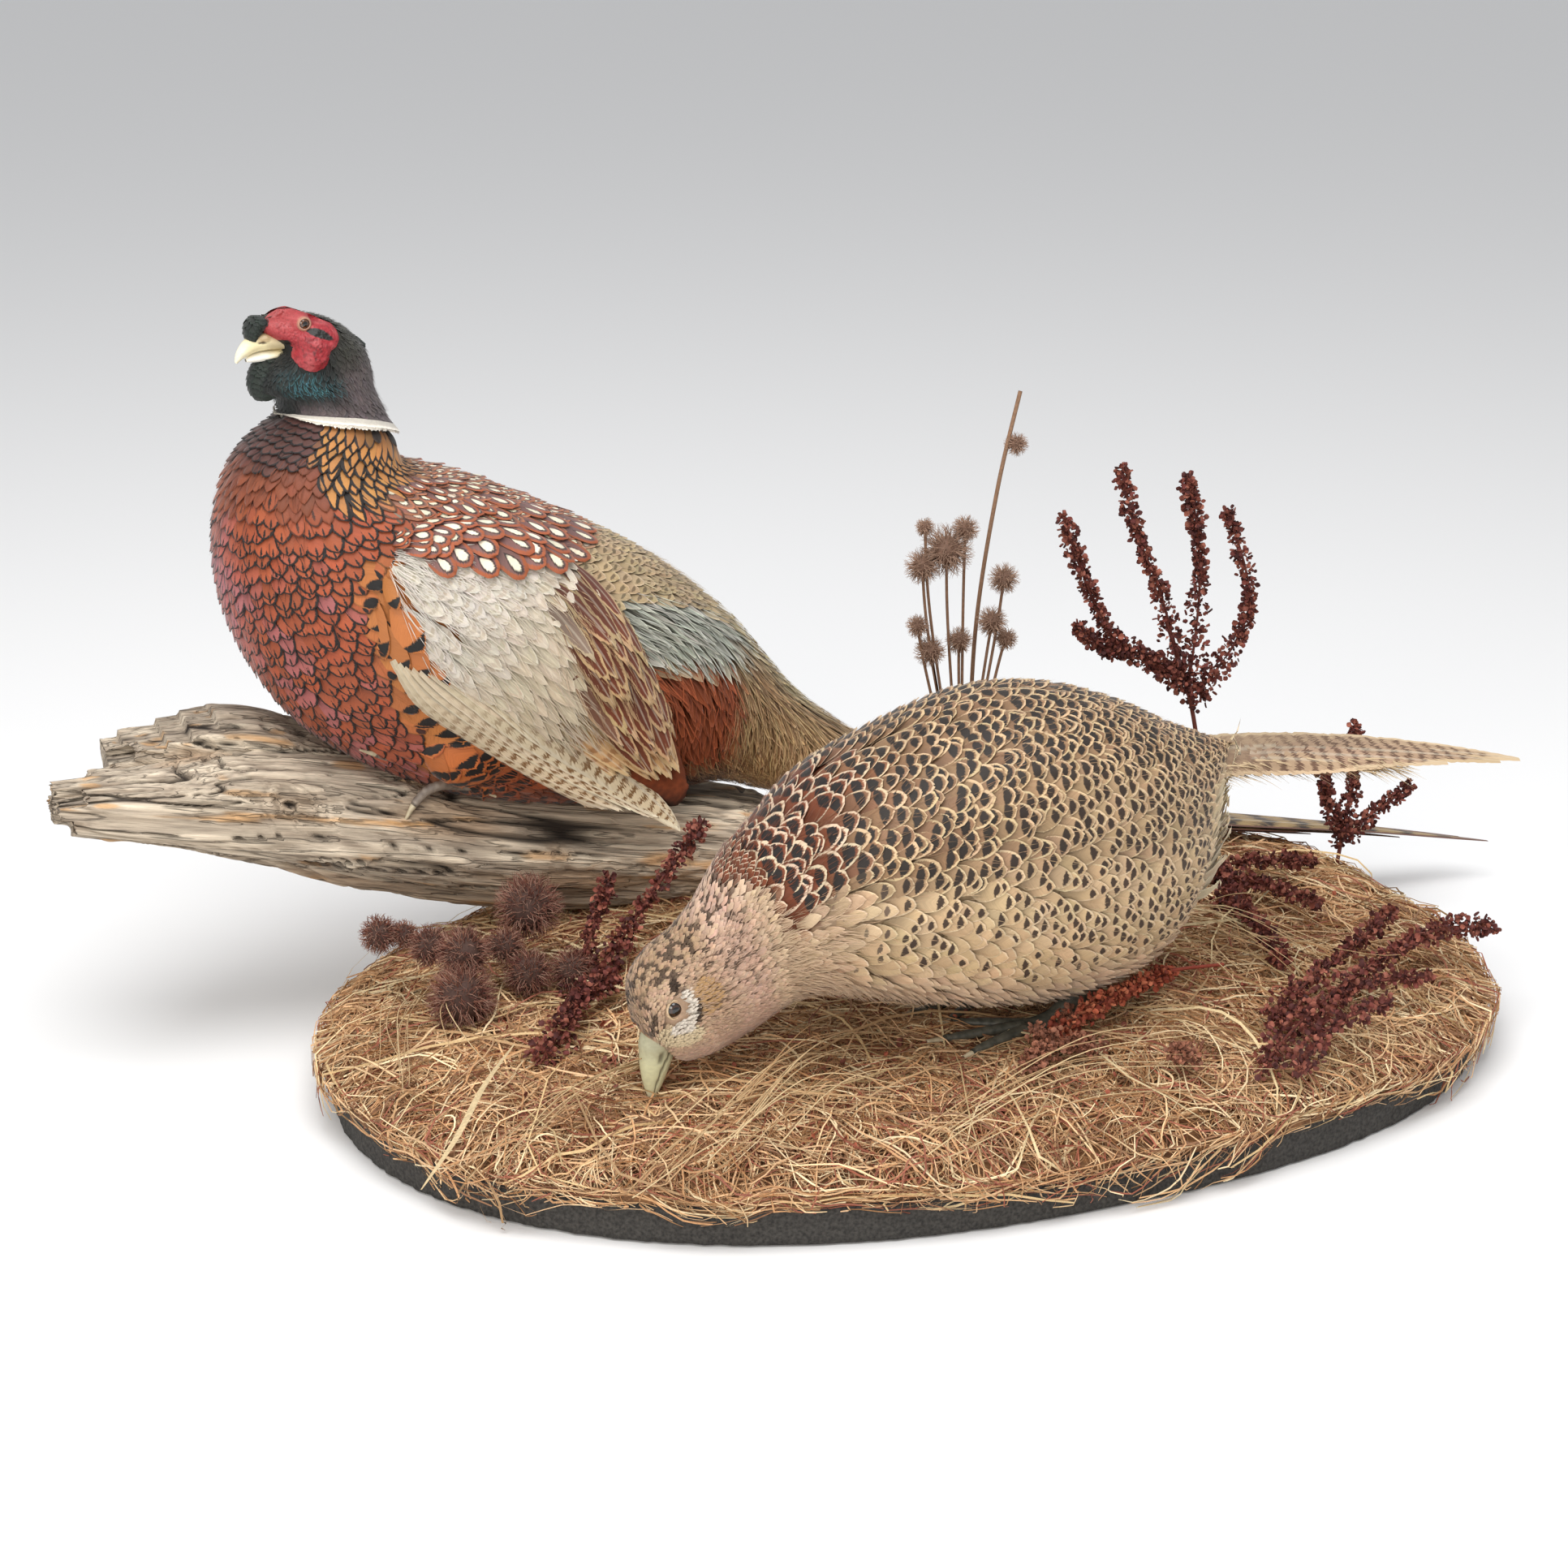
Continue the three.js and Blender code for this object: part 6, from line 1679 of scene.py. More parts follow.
def oval(scale, angle):
    """Places on the board's rounded oval outline, at a share of its size."""
    right = np.cos(angle) > 0
    power = np.where(right, 2 / SQUARENESS["right"], 2 / SQUARENESS["left"])
    reach = np.where(right, BOARD["right"], BOARD["left"])
    x = reach * np.sign(np.cos(angle)) * np.abs(np.cos(angle)) ** power
    y = BOARD["half_depth"] * np.sign(np.sin(angle)) * np.abs(np.sin(angle)) ** power
    return np.stack([x * scale, y * scale], -1)


def oval_rings(rows, count):
    """Rings of the board's outline from rows of a share of its size and a height."""
    angle = 2 * np.pi * np.arange(count) / count
    return np.stack([np.concatenate([oval(share, angle), np.full((count, 1), z)], -1) for share, z in rows])


def oval_share(x, y):
    """0 at the middle of the board, 1 on its outline."""
    right = x > 0
    power = np.where(right, SQUARENESS["right"], SQUARENESS["left"])
    reach = np.where(right, BOARD["right"], BOARD["left"])
    return (np.abs(x / reach) ** power + np.abs(y / BOARD["half_depth"]) ** power) ** (1 / power)


def mat_height(share):
    profile = np.array(MAT_PROFILE)
    return BOARD["height"] + (MAT_TOP - BOARD["height"]) * np.interp(share, profile[:, 0], profile[:, 1])


def make_board(material):
    rows = [(0.02, 0), (0.5, 0), (0.985, 0), (1, 1.2), (1, 5), (1, 9), (1, 13), (1, 17), (0.998, 19.8),
            (0.985, 21), (0.5, 21), (0.02, 21)]
    grid = oval_rings(rows, 420)
    edge = np.array([share > 0.9 and 0 < z for share, z in rows])[:, None]
    worn = 1 - 0.003 * edge * (1 + noise(grid, 4, 21, (1, 1, 2.0)) + 0.8 * noise(grid, 1.5, 22))
    grid[..., :2] *= worn[..., None]
    make_piece("board", many_grids(grid[None], closed=True), material, ("base_board",))


def make_mat(material):
    share = np.concatenate([[0.01], np.linspace(0.06, 0.9, 40), np.linspace(0.92, 1.0, 8)])
    height = mat_height(share) - 3
    rim = [(1.012, 26), (1.012, 22), (0.99, 21.4)]
    grid = oval_rings([*zip(share, height), *rim], 360)
    lumps = 2.0 * noise(grid, 17, 31) + 1.2 * noise(grid, 6, 32)
    grid[..., 2] += lumps * np.array([*(share < 1.0), *(r < 1.0 for r, _ in rim)])[:, None]
    # Dark brown in patches, far darker than the strands over it: painted shade in the depths of the straw.
    tone = painted(linear("#4d3524") * np.ones_like(grid), ("#8a5f38", 0.5 + 0.5 * noise(grid, 9, 33)))
    make_piece("straw_bed", many_grids(grid[None], closed=True), material, ("ground_mat",), tone)


STRAW_TONES = ["#d3aa7d", "#e6c598", "#b6885d", "#c6976b", "#efd8ae", "#90684a", "#9c5a44", "#dab389"]


def make_straw(name, count, length, width, rng, material, spread=0.995, rise=5.0, curl=2.6,
               tones=STRAW_TONES):
    """Flat curly strands that wander over the bed and hang over the board's edge. Length and width are
    the least and the greatest of each, and spread the share of the board that they start on."""
    steps = 9
    start = oval(np.sqrt(rng.uniform(0, 1, count)) * spread, rng.uniform(0, 2 * np.pi, count))
    heading = rng.uniform(0, 2 * np.pi, count)[:, None] + np.cumsum(
        rng.uniform(-1, 1, (count, 1)) * curl / steps + rng.uniform(-0.3, 0.3, (count, steps)), axis=1)
    step = (rng.uniform(*length, count) / steps)[:, None]
    x = start[:, :1] + np.cumsum(step * np.cos(heading), axis=1)
    y = start[:, 1:] + np.cumsum(step * np.sin(heading), axis=1)
    share = oval_share(x, y)
    past = np.maximum(share - 1.0, 0)
    x, y = x / (1 + past), y / (1 + past)
    shaggy = np.clip(0.8 + 0.6 * noise(np.stack([x, y, 0 * x], -1), 38, 34), 0.4, 1.25)
    droop = np.minimum(past * 130, 26 * shaggy * rng.uniform(0.1, 1, (count, 1)))
    arc = np.sin(np.pi * np.linspace(0, 1, steps))[None, :] * rng.uniform(0, 1, (count, 1)) ** 3
    z = mat_height(np.minimum(share, 1.0)) - 1.5 + rise * arc + rng.uniform(-0.5, 3.0, (count, 1)) - droop
    z = z + 2.2 * noise(np.stack([x, y, 0 * x], -1), 17, 31)
    out = 1 + np.where(past > 0, 0.006 + rng.uniform(0, 0.026, (count, 1)) * shaggy, 0)
    paths = np.stack([x * out, y * out, np.maximum(z, 2)], -1)
    tangent = unit(np.gradient(paths, axis=1))
    twist = rng.uniform(0, np.pi, (count, 1)) + np.linspace(0, 1, steps) * rng.uniform(-2, 2, (count, 1))
    side = unit(np.cross(tangent, [0, 0, 1.0]))
    side = side * np.cos(twist)[..., None] + np.cross(side, tangent) * np.sin(twist)[..., None]
    taper = np.sin(np.pi * np.linspace(0.1, 0.9, steps))[None, :, None] ** 0.4
    half = rng.uniform(*width, (count, 1, 1)) * taper
    strands = many_grids(np.stack([paths - side * half, paths + side * half], axis=2))
    tone = palette(tones)[rng.integers(0, len(tones), count)]
    tone = tone * rng.uniform(0.75, 1.2, (count, 1))
    make_piece(name, strands, material, (), np.repeat(tone, steps * 2, axis=0))


# ---- Log -----------------------------------------------------------------------------------------

# Each row is x, middle y, top z, bottom z and half width of the weathered trunk.
LOG_ROWS = [
    [-399, 113, 151, 131, 24], [-372, 117, 150, 123, 30], [-340, 123, 150, 111, 36], [-300, 129, 153, 94, 41],
    [-245, 133, 143, 70, 45], [-190, 135, 124, 54, 46], [-120, 136, 108, 43, 44], [-60, 136, 98, 42, 40],
    [-22, 136, 88, 42, 33], [-12, 136, 80, 48, 25],
]
LOG_CREST_ROWS = [
    [-366, 155, 160, 138, 17], [-345, 154, 166, 132, 21], [-300, 150, 168, 120, 27],
    [-262, 146, 153, 110, 24], [-225, 140, 130, 100, 18],
]
# Splintered steps in the broken left end, as the low and high corner of each.
LOG_STEPS = [
    [(-402, 84, 147), (-384, 104, 158)], [(-402, 84, 120), (-391, 112, 139)],
    [(-366, 136, 150), (-352, 151, 170)], [(-402, 122, 138), (-378, 148, 158)],
]
LOG_SLOPE = 0.2
# Knots: x, height along the grain and half sizes.
LOG_KNOTS = [(-286.5, 117, 13, 8), (-218, 128, 5, 3), (-150, 100, 6, 4)]
LOG_BASE = 34  # how low the log reaches into the straw
# The heights that the crest steps up to behind each of these places along it.
LOG_CREST_STEPS = [(-357, 152), (-338, 155.5), (-326, 159), (-312, 163)]


def make_log(material):
    heap = Heap()
    for rows, size in ((LOG_ROWS, (330, 180)), (LOG_CREST_ROWS, (140, 92))):
        heap.add(*weathered(log_loft(rows, size)))
    heap.make("driftwood", material, ("log",))


def log_loft(rows, size):
    """The trunk's rough outline along its rows, closed at both ends by shrinking rings."""
    row = along(rows, np.linspace(0, 1, size[0]))[:, None, :]
    caps = np.linspace(0.02, 1, 16)
    angle = 2 * np.pi * np.arange(size[1])[None, :] / size[1]
    x = row[..., 0] + 0 * angle
    grain = 1 + 0.035 * np.sin(7 * angle + 0.01 * x) + 0.025 * np.sin(3 * angle - 0.02 * x)
    across = row[..., 4] * grain * soft_power(np.cos(angle), 0.75)
    up = (row[..., 2] - row[..., 3]) / 2 * grain * soft_power(np.sin(angle), 0.75)
    grid = np.stack([x, row[..., 1] + across, (row[..., 2] + row[..., 3]) / 2 + up], -1)
    middle = grid.mean(axis=1, keepdims=True)
    front = middle[:1] + (grid[:1] - middle[:1]) * caps[:, None, None]
    back = middle[-1:] + (grid[-1:] - middle[-1:]) * caps[::-1, None, None]
    return np.concatenate([front[:-1], grid, back[1:]])


def weathered(grid):
    """The grooved, cracked and broken wood over a loft, as a part and its colours."""
    outward = unit(grid - grid.mean(axis=1, keepdims=True))
    straight = grid + np.stack([0 * grid[..., 0], 0 * grid[..., 0], LOG_SLOPE * (grid[..., 0] + 200)], -1)
    spot, bend = np.full(grid.shape[:2], 9.0), 0.0
    for knot_x, knot_z, wide, tall in LOG_KNOTS:
        reach = np.hypot((grid[..., 0] - knot_x) / wide, (straight[..., 2] - knot_z) / tall)
        reach = reach + 3 * (grid[..., 1] > 120)
        bend = bend + tall * np.exp(-reach ** 2 / 4) * np.sign(straight[..., 2] - knot_z)
        spot = np.minimum(spot, reach)
    # The fibres wander and bend round the knots.
    warped = straight + 5 * np.stack([0 * grid[..., 0], noise(grid, 60, 47), noise(grid, 60, 48)], -1)
    warped[..., 2] += bend
    fibre = warped * np.array([0.03, 1, 1])
    groove = smooth(0.3, 0.0, np.abs(noise(fibre, 3.6, 41)))
    broad = smooth(0.34, 0.0, np.abs(noise(fibre, 8, 52)))
    crack = smooth(0.1, 0.0, np.abs(noise(fibre, 8, 49)))
    crack = crack * smooth(-0.1, 0.3, noise(straight, 22, 42, (0.25, 1, 1)))
    fine = noise(fibre, 2.2, 43, (1.6, 1, 1))
    lump = noise(straight, 18, 44, (0.3, 1, 1))
    chip = noise(straight, 9, 50, (0.5, 1, 1))
    # A slab has split off under the front, and rings stand round each knot.
    slab = 100 + 6 * noise(grid, 24, 51, (1, 0, 0))
    under = smooth(0.6, -0.6, straight[..., 2] - slab + 13) * (grid[..., 1] < 150)
    under = under * smooth(-385, -340, grid[..., 0])
    ring = np.sin(spot * 13 + 5 * noise(straight, 6, 53)) * np.exp(-(spot / 1.3) ** 2)
    move = 0.5 + 0.9 * lump + 0.5 * fine - 1.0 * groove - 1.0 * broad - 3.4 * crack - 3.4 * under + 1.3 * ring
    move = move - 3 * smooth(0.3, 0.1, spot) - 1.2 * smooth(0.35, 0.6, chip)
    grid = grid + outward * move[..., None]
    # Each step is broken off square at its far side.
    for low, high in LOG_STEPS:
        inside = np.all((grid > np.array(low) - 0.5) & (grid < np.array(high) + 0.5), axis=-1)
        grid[..., 0] = np.where(inside, high[0] + 2.5 * fine + 2 * chip, grid[..., 0])
    grid[..., 0] = np.maximum(grid[..., 0], LOG_ROWS[0][0] + 5 * np.abs(fine) + 3 * np.maximum(chip, 0))
    steps = np.select([grid[..., 0] < x for x, _ in LOG_CREST_STEPS], [z for _, z in LOG_CREST_STEPS], 200)
    grid[..., 2] = np.clip(grid[..., 2], LOG_BASE, steps + 0.8 * fine)
    tone = painted(
        linear("#a39584") * np.ones_like(grid),
        ("#cbbda8", smooth(-0.6, 0.7, fine + 0.4 * lump)),
        ("#a07c58", 0.45 * smooth(0.15, 0.6, noise(straight, 14, 45, (0.2, 1, 1)))),
        ("#c08d4e", 0.6 * smooth(0.5, 0.7, noise(straight, 5, 46, (0.16, 1, 1.4)))),
        ("#6b5c4d", 0.6 * np.maximum(groove, 0.6 * broad)),
        # Painted shade: darker where the wood faces down.
        ("#4a3f34", 0.4 * smooth(0.1, -0.9, outward[..., 2])),
        ("#a08a72", 0.6 * np.exp(-(spot / 1.1) ** 2)),
        ("#4d4034", 0.5 * smooth(0.1, -0.7, ring)),
    )
    # The paint is lightened overall, and more towards the right end, where painted light offsets the birds'
    # shadow.
    tone = tone * (1.3 + 0.5 * smooth(-220, -20, grid[..., :1]))
    tone = painted(tone, ("#2a211a", np.maximum(crack, smooth(0.3, 0.12, spot))))
    return many_grids(grid[None], closed=True), tone.reshape(-1, 3)


# ---- Dried plants --------------------------------------------------------------------------------

TALL_DOCK = {
    "stem": [[213, 62, 40], [206, 61, 90], [196, 60, 140], [178, 60, 190]],
    "racemes": [
        [[190, 60, 150], [176, 60, 200], [158, 60, 240], [149, 60, 272]],
        [[194, 60, 146], [198, 60, 200], [194, 60, 240], [187, 60, 264]],
        [[196, 60, 140], [222, 60, 172], [228, 60, 200], [212, 60, 246]],
        [[184, 60, 160], [150, 60, 180], [130, 60, 215], [117, 60, 249]],
        [[196, 60, 148], [168, 60, 168], [144, 60, 176], [126, 60, 190]],
    ],
}
SHORT_DOCK = {
    "stem": [[298, 66, 30], [302, 66, 60], [306, 66, 84]],
    "racemes": [
        [[300, 66, 46], [304, 66, 70], [304, 66, 92], [304, 66, 112]],
        [[300, 66, 44], [316, 66, 56], [330, 66, 64], [342, 66, 72]],
        [[301, 66, 50], [293, 66, 62], [287, 66, 78], [286, 66, 92]],
    ],
}
# Cut docks on the straw: for each, the paths of its sprays with the radius of their seeds and how many.
LYING_DOCKS = {
    "dock_lying": [
        ([[107, -186, 50], [150, -156, 58], [205, -124, 61], [255, -97, 60], [290, -95, 56]], 10, 900),
        ([[133, -148, 52], [160, -132, 60], [200, -108, 64], [245, -72, 62]], 8, 520),
        ([[120, -196, 50], [148, -176, 58], [190, -160, 58]], 8, 330),
        ([[140, -160, 50], [185, -140, 58], [226, -138, 56]], 7, 300),
        ([[186, -3, 52], [180, -30, 60], [174, -66, 60], [166, -100, 58]], 9, 620),
        ([[180, 30, 50], [215, 26, 58], [255, 22, 54]], 7, 420),
        ([[196, 24, 52], [206, -10, 60], [222, -40, 58]], 7, 420),
    ],
    "dock_leaning": [([[-162, 12, 50], [-140, 22, 66], [-112, 40, 88], [-84, 58, 108]], 9, 650),
                     ([[-172, 2, 50], [-158, 20, 64], [-146, 36, 80], [-138, 44, 92]], 8, 380)],
    "dock_front": [([[-205, -62, 49], [-186, -40, 58], [-170, -22, 62], [-152, -6, 60]], 11, 620)],
    "dock_by_foot": [([[24, -134, 56], [50, -126, 64], [78, -116, 66], [100, -104, 64]], 8, 620)],
}
LYING_TONES = {"dock_by_foot": ["#9c4a33", "#b05a3e", "#8a3d2b", "#c07050"]}
RED_STEM = [[60, -122, 62], [92, -108, 66], [134, -97, 60]]
# Dry brown heads by the hen's feet, and seeds and a striped pod by the burrs.
LOOSE_HEADS = [(6, -151, 57, 8), (15, -145, 61, 9), (31, -146, 57, 9), (34, -123, 60, 8), (72, -166, 56, 9)]
POD = {"place": (-174.7, -25.9, 58), "half_sizes": (8.5, 3.6, 3.6)}
LOOSE_TONES = ["#8f4a38", "#a5583f", "#7a4536", "#b98a6a"]
HEAD_SEEDS = 190
# Bunches of long grass over the straw: paths, how many and how wide they spread.
GRASS = [
    ([[-140, -152, 50], [-112, -136, 62], [-84, -122, 62], [-46, -116, 54]], 12, 9),
    ([[-160, -92, 56], [-213, -130, 62], [-256, -158, 50]], 7, 5),
    ([[-182, -187, 48], [-125, -164, 62], [-80, -174, 54]], 10, 13),
    ([[150, -20, 52], [158, -60, 64], [176, -112, 58]], 16, 14),
    ([[-60, -190, 44], [10, -182, 60], [90, -186, 50]], 10, 15),
    ([[-240, 30, 50], [-262, -20, 58], [-270, -70, 50]], 10, 10),
]
STRAP = [[-218, -62, 60], [-244, -104, 62], [-266, -138, 56], [-288, -162, 47]]
THISTLE_TWIG = [[59, 50, 40], [61, 50, 120], [63, 49, 200], [73, 49, 270], [84, 48, 321]]
THISTLE_BUD = (82.5, 48, 294, 6)
FLOWER_STALK = [[52, 36, 40], [51, 36, 100], [49, 36, 160]]
FLOWER_HEADS = [
    (40, 246, 13), (27, 239, 9), (28, 259, 5), (50, 256, 7), (72, 228, 8), (25, 208, 6), (32, 194, 8),
    (48, 198, 7),
    (66, 206, 8), (74, 196, 6),
]
BURRS = [
    (-226, 2, 58, 19), (-219, 22, 72, 16), (-198, 24, 72, 11), (-181, 40, 84, 19), (-189, 14, 60, 14),
    (-167, 14, 58, 13),
    (-231, 44, 69, 12), (-240, 58, 71, 8), (-252, 60, 72, 11),
]
DOCK_TONES = ["#632c27", "#74382f", "#86493b", "#4e2320", "#985a49"]
STEM_FOOT = 30  # the height in the straw under which no dock shows


def stalk(path, radius, count, sides):
    """A round stem along the smooth curve through a path, of so many points and sides."""
    return tubes(along(path, np.linspace(0, 1, count))[None], radius, sides)


def seed_valves(place, out, size, rng):
    """Papery seed valves, each a small cupped heart that faces outward."""
    count = len(place)
    axis = unit(out + 0.8 * rng.normal(size=(count, 3)))
    side = unit(np.cross(axis, rng.normal(size=(count, 3))))
    third = np.cross(axis, side)
    big = size * rng.uniform(0.7, 1.2, count)[:, None, None, None]
    s, t = np.meshgrid(np.linspace(-1, 1, 3), np.linspace(0, 1, 4), indexing="ij")
    wide = np.sin(np.pi * (0.1 + 0.85 * t)) * 0.8
    local = np.stack([s * wide, t * 1.4, 0.4 * s ** 2 + 0.3 * t ** 2], -1)[None]
    grids = place[:, None, None] + big * (local[..., :1] * side[:, None, None]
                                          + local[..., 1:2] * axis[:, None, None]
                                          + local[..., 2:] * third[:, None, None])
    return many_grids(grids), 12


def dock_seeds(path, radius, count, rng, size=2.0):
    """Valves crowded in whorls round a stalk."""
    whorls = max(6, int(np.linalg.norm(np.diff(np.asarray(path, float), axis=0),
                                       axis=1).sum() / (0.8 * radius)))
    t = np.clip((rng.integers(0, whorls, count) + 0.5 + rng.normal(0, 0.22, count)) / whorls, 0, 1)
    out = unit(rng.normal(size=(count, 3)))
    reach = radius * (0.75 + 0.25 * np.sin(9 * t)) * (1 - 0.55 * t ** 2) * rng.uniform(0.02, 1, count) ** 0.6
    return seed_valves(along(path, t) + out * reach[:, None], out, size, rng)


def make_dock(name, stems, racemes, material, rng, replaced, tones=DOCK_TONES):
    heap = Heap()
    for path, radius in stems:
        heap.add(stalk(path, radius, 24, 7), linear("#6a3328"))
    for path, radius, count in racemes:
        part, each = dock_seeds(path, radius, count, rng)
        tone = palette(tones)[rng.integers(0, len(tones), count)] * rng.uniform(0.7, 1.2, (count, 1))
        heap.add(part, np.repeat(tone, each, axis=0))
    heap.make(name, material, replaced, STEM_FOOT)


SPINE_TONES = ["#8a5a48", "#a98270", "#6b3d33"]
SPINE_SIDES = 3
SPINE_POINTS = 4 * SPINE_SIDES


def spiny_ball(centre, radius, count, rng, thick, hook, core=0.62):
    """A round core and the spines that stand out all over it, and how many points the spines have."""
    out = scattered_directions(count)
    out = unit(out + 0.25 * rng.normal(size=out.shape))
    steps = np.linspace(0, 1, 4)[None, :, None]
    reach = radius * (core - 0.1 + (1.1 - core) * steps * rng.uniform(0.75, 1.0, (count, 1, 1)))
    bend = unit(np.cross(out, rng.normal(size=out.shape)))[:, None, :]
    paths = np.asarray(centre) + out[:, None, :] * reach + bend * hook * radius * steps ** 3
    spines = tubes(paths, thick * np.array([1.0, 0.8, 0.5, 0.15]), SPINE_SIDES)
    heart = ball(centre, radius * core, 12, 16)
    return joined([spines, heart]), len(spines[0])


def make_burrs(material, rng):
    heap = Heap()
    for x, y, z, radius in BURRS:
        part, spines = spiny_ball((x, y, z), radius, int(42 * radius), rng, thick=0.3, hook=0.22)
        tone = np.tile(linear("#4a332b"), (len(part[0]), 1))
        each = palette(SPINE_TONES)[rng.integers(0, len(SPINE_TONES), spines // SPINE_POINTS)]
        tone[:spines] = np.repeat(each, SPINE_POINTS, axis=0)
        heap.add(part, tone)
    heap.make("burrs", material, ("burr_heads",))


def make_stalks(material, rng):
    heap = Heap()
    heap.add(stalk(THISTLE_TWIG, 1.1, count=40, sides=7), linear("#8a6a52"))
    heap.add(stalk(FLOWER_STALK, 1.0, count=24, sides=6), linear("#80604a"))
    heads = [THISTLE_BUD]
    fork, (top_x, y, top_z) = FLOWER_STALK[1], FLOWER_STALK[2]
    for x, z, radius in FLOWER_HEADS:
        bend = [top_x + (x - top_x) * 0.8, y, (z + top_z) / 2]
        heap.add(stalk([fork, bend, [x, y, z]], 0.8, 16, 5), linear("#80604a"))
        heads.append((x, y, z, radius))
    for x, y, z, radius in heads:
        count = int(60 + 34 * radius)
        part, spines = spiny_ball((x, y, z), 1.12 * radius, count, rng, thick=0.26, hook=0.25, core=0.5)
        tone = np.tile(linear("#6e5344"), (len(part[0]), 1))
        tone[:spines] = linear("#a98a76")
        heap.add(part, tone)
    heap.make("dry_flowers", material, ("thistle_twig", "flower_heads"))


def make_litter(material, rng):
    """Loose seeds, dry heads, a striped pod and bunches of grass that lie on the straw."""
    heap = Heap()
    count = 420
    flat = oval(0.93 * np.sqrt(rng.uniform(0, 1, count)), rng.uniform(0, 2 * np.pi, count))
    place = np.concatenate([flat, np.zeros((count, 1))], 1)
    place[:, 2] = mat_height(oval_share(place[:, 0], place[:, 1])) + rng.uniform(0, 4, count)
    part, each = seed_valves(place, np.array([0, 0, 1.0]), 2.2, rng)
    heap.add(part, np.repeat(palette(LOOSE_TONES)[rng.integers(0, len(LOOSE_TONES), count)], each, axis=0))
    for x, y, z, radius in LOOSE_HEADS:
        slant = rng.uniform(-8, 8, 2)
        path = [[x - slant[0], y - 6, z - 3], [x + slant[0], y + slant[1], z + 2]]
        part, each = dock_seeds(path, radius, HEAD_SEEDS, rng, size=1.8)
        heap.add(part, np.repeat(linear("#94604a") * rng.uniform(0.6, 1.3, (HEAD_SEEDS, 1)), each, axis=0))
    points, faces = ball((0, 0, 0), 1, 24, 32)
    stripe = smooth(-0.2, 0.2, np.sin(9 * np.arctan2(points[:, 2], points[:, 1])))
    heap.add((points * np.array(POD["half_sizes"]) + np.array(POD["place"]), faces),
             painted(linear("#8a6a48") * np.ones_like(points), ("#d8c8a4", stripe)))
    for path, count, spread in GRASS:
        t = np.linspace(0, 1, 14)
        paths = along(path, t)[None] + spread * rng.normal(size=(count, 1, 3)) * np.array([1, 1, 0.25])
        paths = paths + spread * rng.normal(size=(count, 1, 3)) * np.array([1, 1, 0.4]) * (t ** 2)[:, None]
        paths[..., 2] += 7 * rng.uniform(-0.6, 1, (count, 1)) * np.sin(np.pi * t)
        tone = painted(linear("#d9bf93") * np.ones((count, 3)), ("#a8845c", rng.uniform(0, 1, count)))
        heap.add(tubes(paths, 0.42 * np.linspace(1, 0.4, len(t)), 3), np.repeat(tone, 3 * len(t), axis=0))
    centre = along(STRAP, np.linspace(0, 1, 24))
    half = np.array([1.4, -1.0, 0.5]) * np.sin(np.pi * np.linspace(0.06, 0.94, 24))[:, None]
    heap.add(many_grids(np.stack([centre - half, centre + half], axis=1)[None]), linear("#cdb68d"))
    heap.add(stalk(RED_STEM, 0.9, 20, 6), linear("#94402f"))
    heap.make("litter", material)


# ---- The whole mount -----------------------------------------------------------------------------

make_studio()
make_camera()

# Contour feathers: soft keratin, dry and slightly glossy along the barbs.
contour = feather_material("pheasant contour feather", roughness=0.55, sheen=0.25, fibre=0.16)
# Flight quills: stiffer vanes with a flatter, slightly waxy surface.
quill = feather_material("pheasant flight quill", roughness=0.45, sheen=0.1, fibre=0.1)
# Bare skin: wax-finished, with a fine pebble and a low gloss.
face_skin = painted_material("wax-finished bird skin", size=0.9, roughness=0.5, bump=0.5, grain=0.18)
# Hide between the feathers: cured, dry and matt.
bare_skin = painted_material("cured bird hide", size=3.0, roughness=0.8, bump=0.2)
# Horn: smooth and waxed, with fine growth lines.
horn = painted_material("polished horn", size=1.6, roughness=0.32, bump=0.15, grain=0.08, stretch=(0.4, 1, 1))
# Claws: duller horn, a little mottled.
claw_horn = plain_material("dull claw horn", "#a8997c", "#cfc3a6", size=5, roughness=0.45, bump=0.1)
# Scaly legs: dried, uneven and slightly dusty.
scale_skin = plain_material("dried leg scales", "#6e6259", "#94887b", size=4, roughness=0.5, bump=0.4)
dark_scale_skin = plain_material("dried leg scales, dark", "#3f4038", "#656256", size=4, roughness=0.5,
                                 bump=0.4)
# Eyes: blown glass over a painted iris, wet and bright.
cock_eye = glass_eye_material("blown glass eye, amber", "#5a3418", pupil=0.5)
hen_eye = glass_eye_material("blown glass eye, brown", "#3a2114", pupil=0.55)
# Felt-faced board: charcoal, matt and rough.
felt = plain_material("charcoal felt on board", "#2a2826", "#4a4743", size=1.6, roughness=0.95, bump=0.8,
                      dents=0.0008)
# Wood wool: dry shavings, matt in the bed and a little smoother as single strands.
straw_bed = painted_material("wood-wool bed", size=2.0, roughness=0.9, bump=0.6, grain=0.35)
straw = painted_material("wood-wool strand", size=1.0, roughness=0.7, bump=0.2, grain=0.15)
# Driftwood: weathered grey and tan, dry, ridged and matt.
driftwood = driftwood_material("weathered driftwood")
# Dried plants: papery valves and burrs, and fibrous stems, all matt.
papery = painted_material("dry dock seed", size=1.2, roughness=0.8, bump=0.3)
dry_stem = painted_material("dry plant stem", size=1.5, roughness=0.8, bump=0.3)

cock = body_form(COCK_ROWS, COCK_DEPTHS, HEAD_PIVOT)
wing = body_form(WING_ROWS, 4.0)
primaries = body_form(PRIMARY_ROWS, 2.5)
hen = hen_form(HEN_DEPTHS)

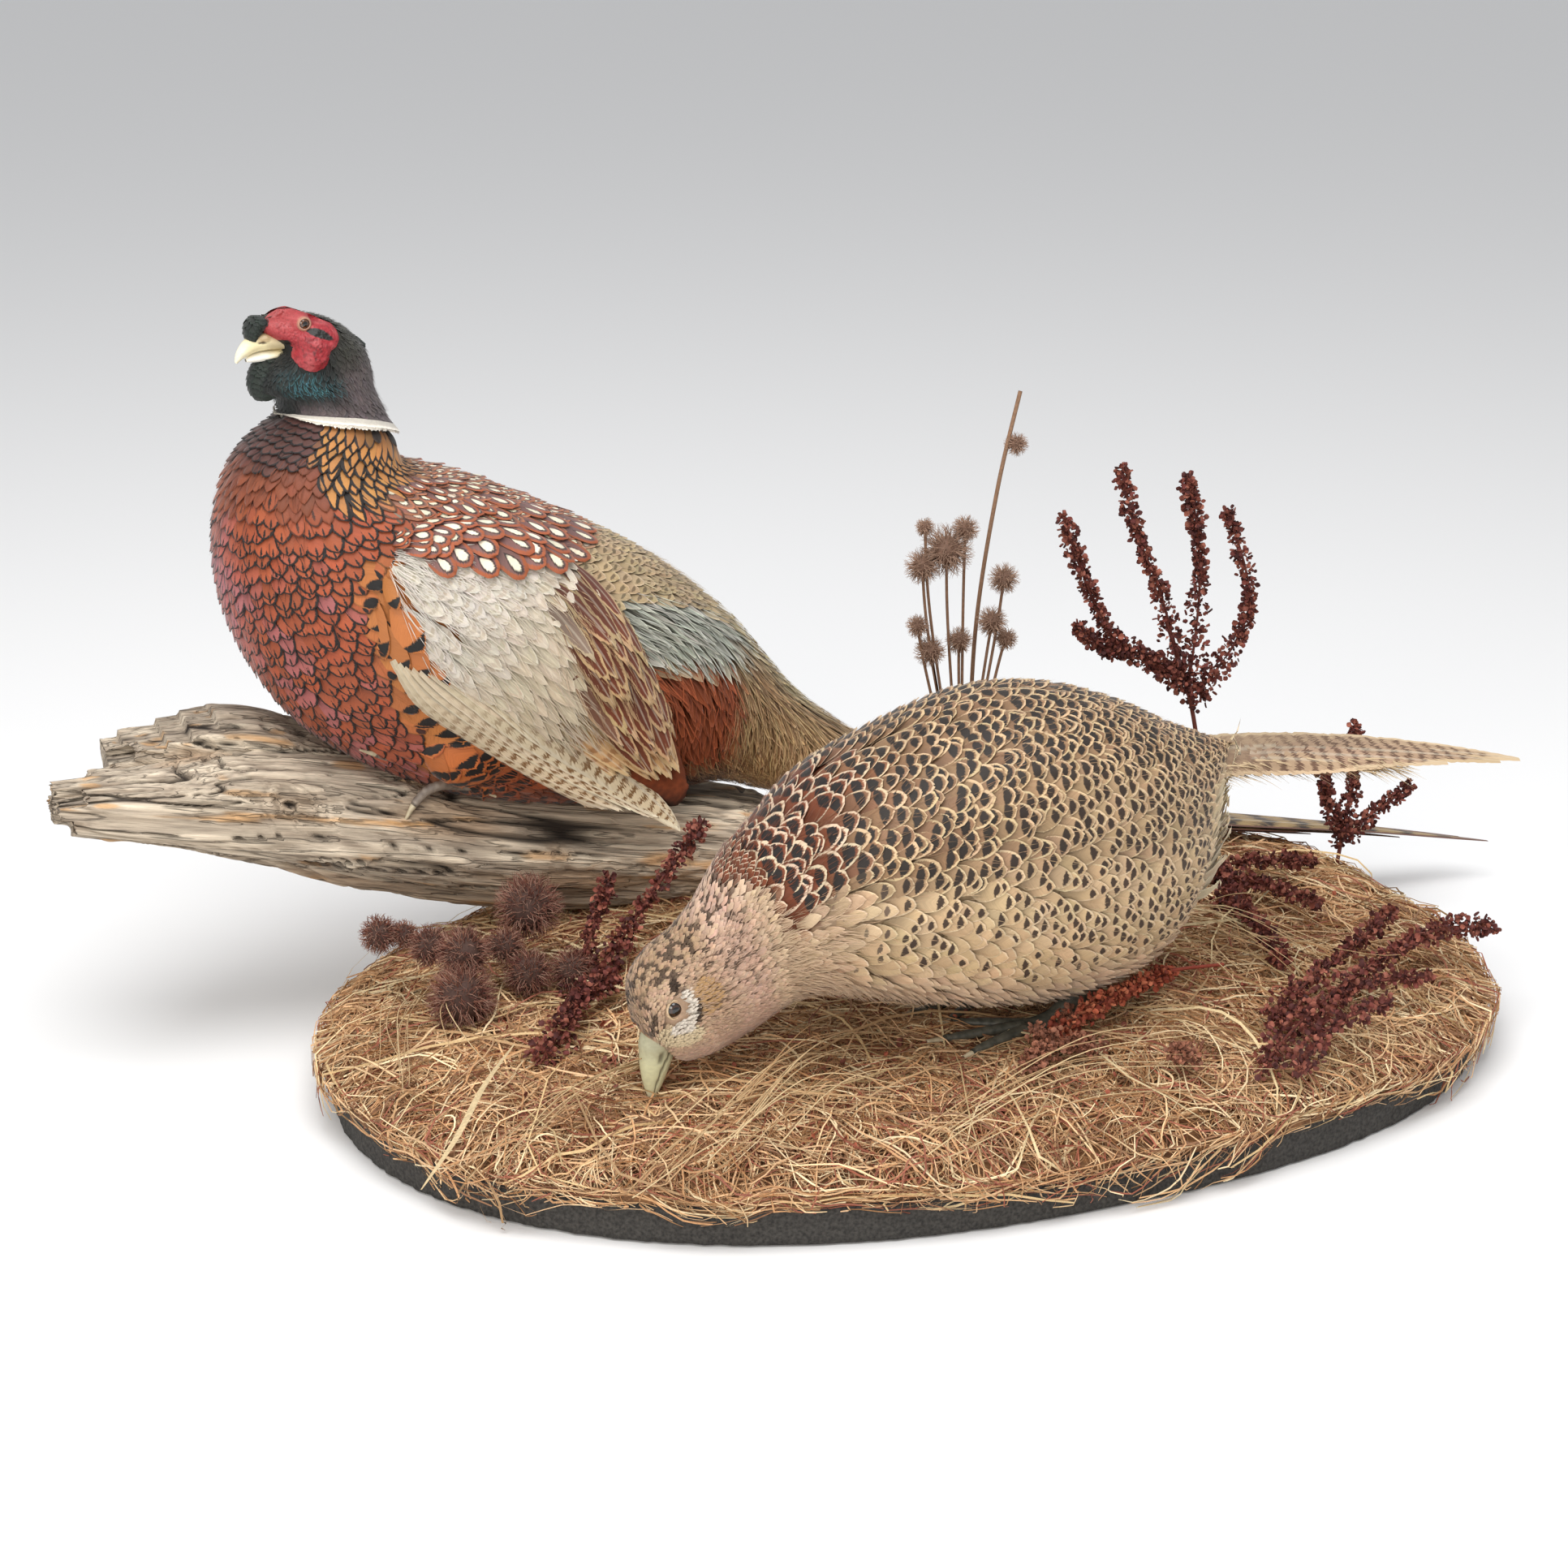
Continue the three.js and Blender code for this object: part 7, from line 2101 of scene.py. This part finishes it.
thigh = limb_form(THIGH_ROWS, size=(40, 41), depth=2.5)
flesh = [cock, wing, Form(mirrored(wing.grid)), thigh, Form(mirrored(thigh.grid))]
skin_of("cock_skin", flesh, cock_looks, bare_skin,
        ("trunk", "neck", "head", "tail_coverts", "wing_left", "wing_right", "leg_left", "leg_right"), 2.2)
skin_of("hen_skin", [hen], hen_looks, bare_skin, ("hen",), 2.2)

make_cock_coat(cock, np.random.default_rng(11), contour)
for side in ("left", "right"):
    make_wing(side, wing, primaries, cock, np.random.default_rng(12), quill, contour)
    make_face(side, cock, face_skin)
    sign = -1 if side == "left" else 1
    centre = head_point(EYE_SPOT["ahead"], sign * EYE_SPOT["aside"], EYE_SPOT["height"])
    make_eye(f"glass_eye_{side}", centre, EYE_RADIUS, turned((0, sign, 0), HEAD_TURN), cock_eye,
             (f"eye_{side}",))
make_cock_bill(horn)
make_cock_legs(np.random.default_rng(14), contour, scale_skin, claw_horn)
make_cock_tail(np.random.default_rng(15), quill)
make_hen_coat(hen, np.random.default_rng(16), contour)
make_hen_tail(np.random.default_rng(17), quill)
make_hen_extras(hen_eye, horn, dark_scale_skin, claw_horn, face_skin)

make_board(felt)
make_mat(straw_bed)
for part in range(3):
    make_straw(f"wood_wool_{part}", 8800, (22, 90), (0.22, 0.5), np.random.default_rng(20 + part), straw)
make_straw("long_straws", 420, (110, 220), (0.35, 0.7), np.random.default_rng(24), straw,
           spread=0.85, rise=14, curl=1.4, tones=["#dcc69a", "#cdb081", "#b8946a"])
make_log(driftwood)
rng = np.random.default_rng(30)
for name, plant, radius, count in (("dock_tall", TALL_DOCK, 8, 620), ("dock_short", SHORT_DOCK, 7, 330)):
    racemes = [(path, radius, count) for path in plant["racemes"]]
    stems = [(plant["stem"], 1.2)] + [(path, 0.7) for path in plant["racemes"]]
    make_dock(f"seeds_{name}", stems, racemes, papery, rng, (name,))
for name, sprays in LYING_DOCKS.items():
    make_dock(f"seeds_{name}", [(path, 0.8) for path, _, _ in sprays], sprays, papery, rng, (name,),
              LYING_TONES.get(name, DOCK_TONES))
make_litter(dry_stem, rng)
make_burrs(papery, rng)
make_stalks(dry_stem, rng)
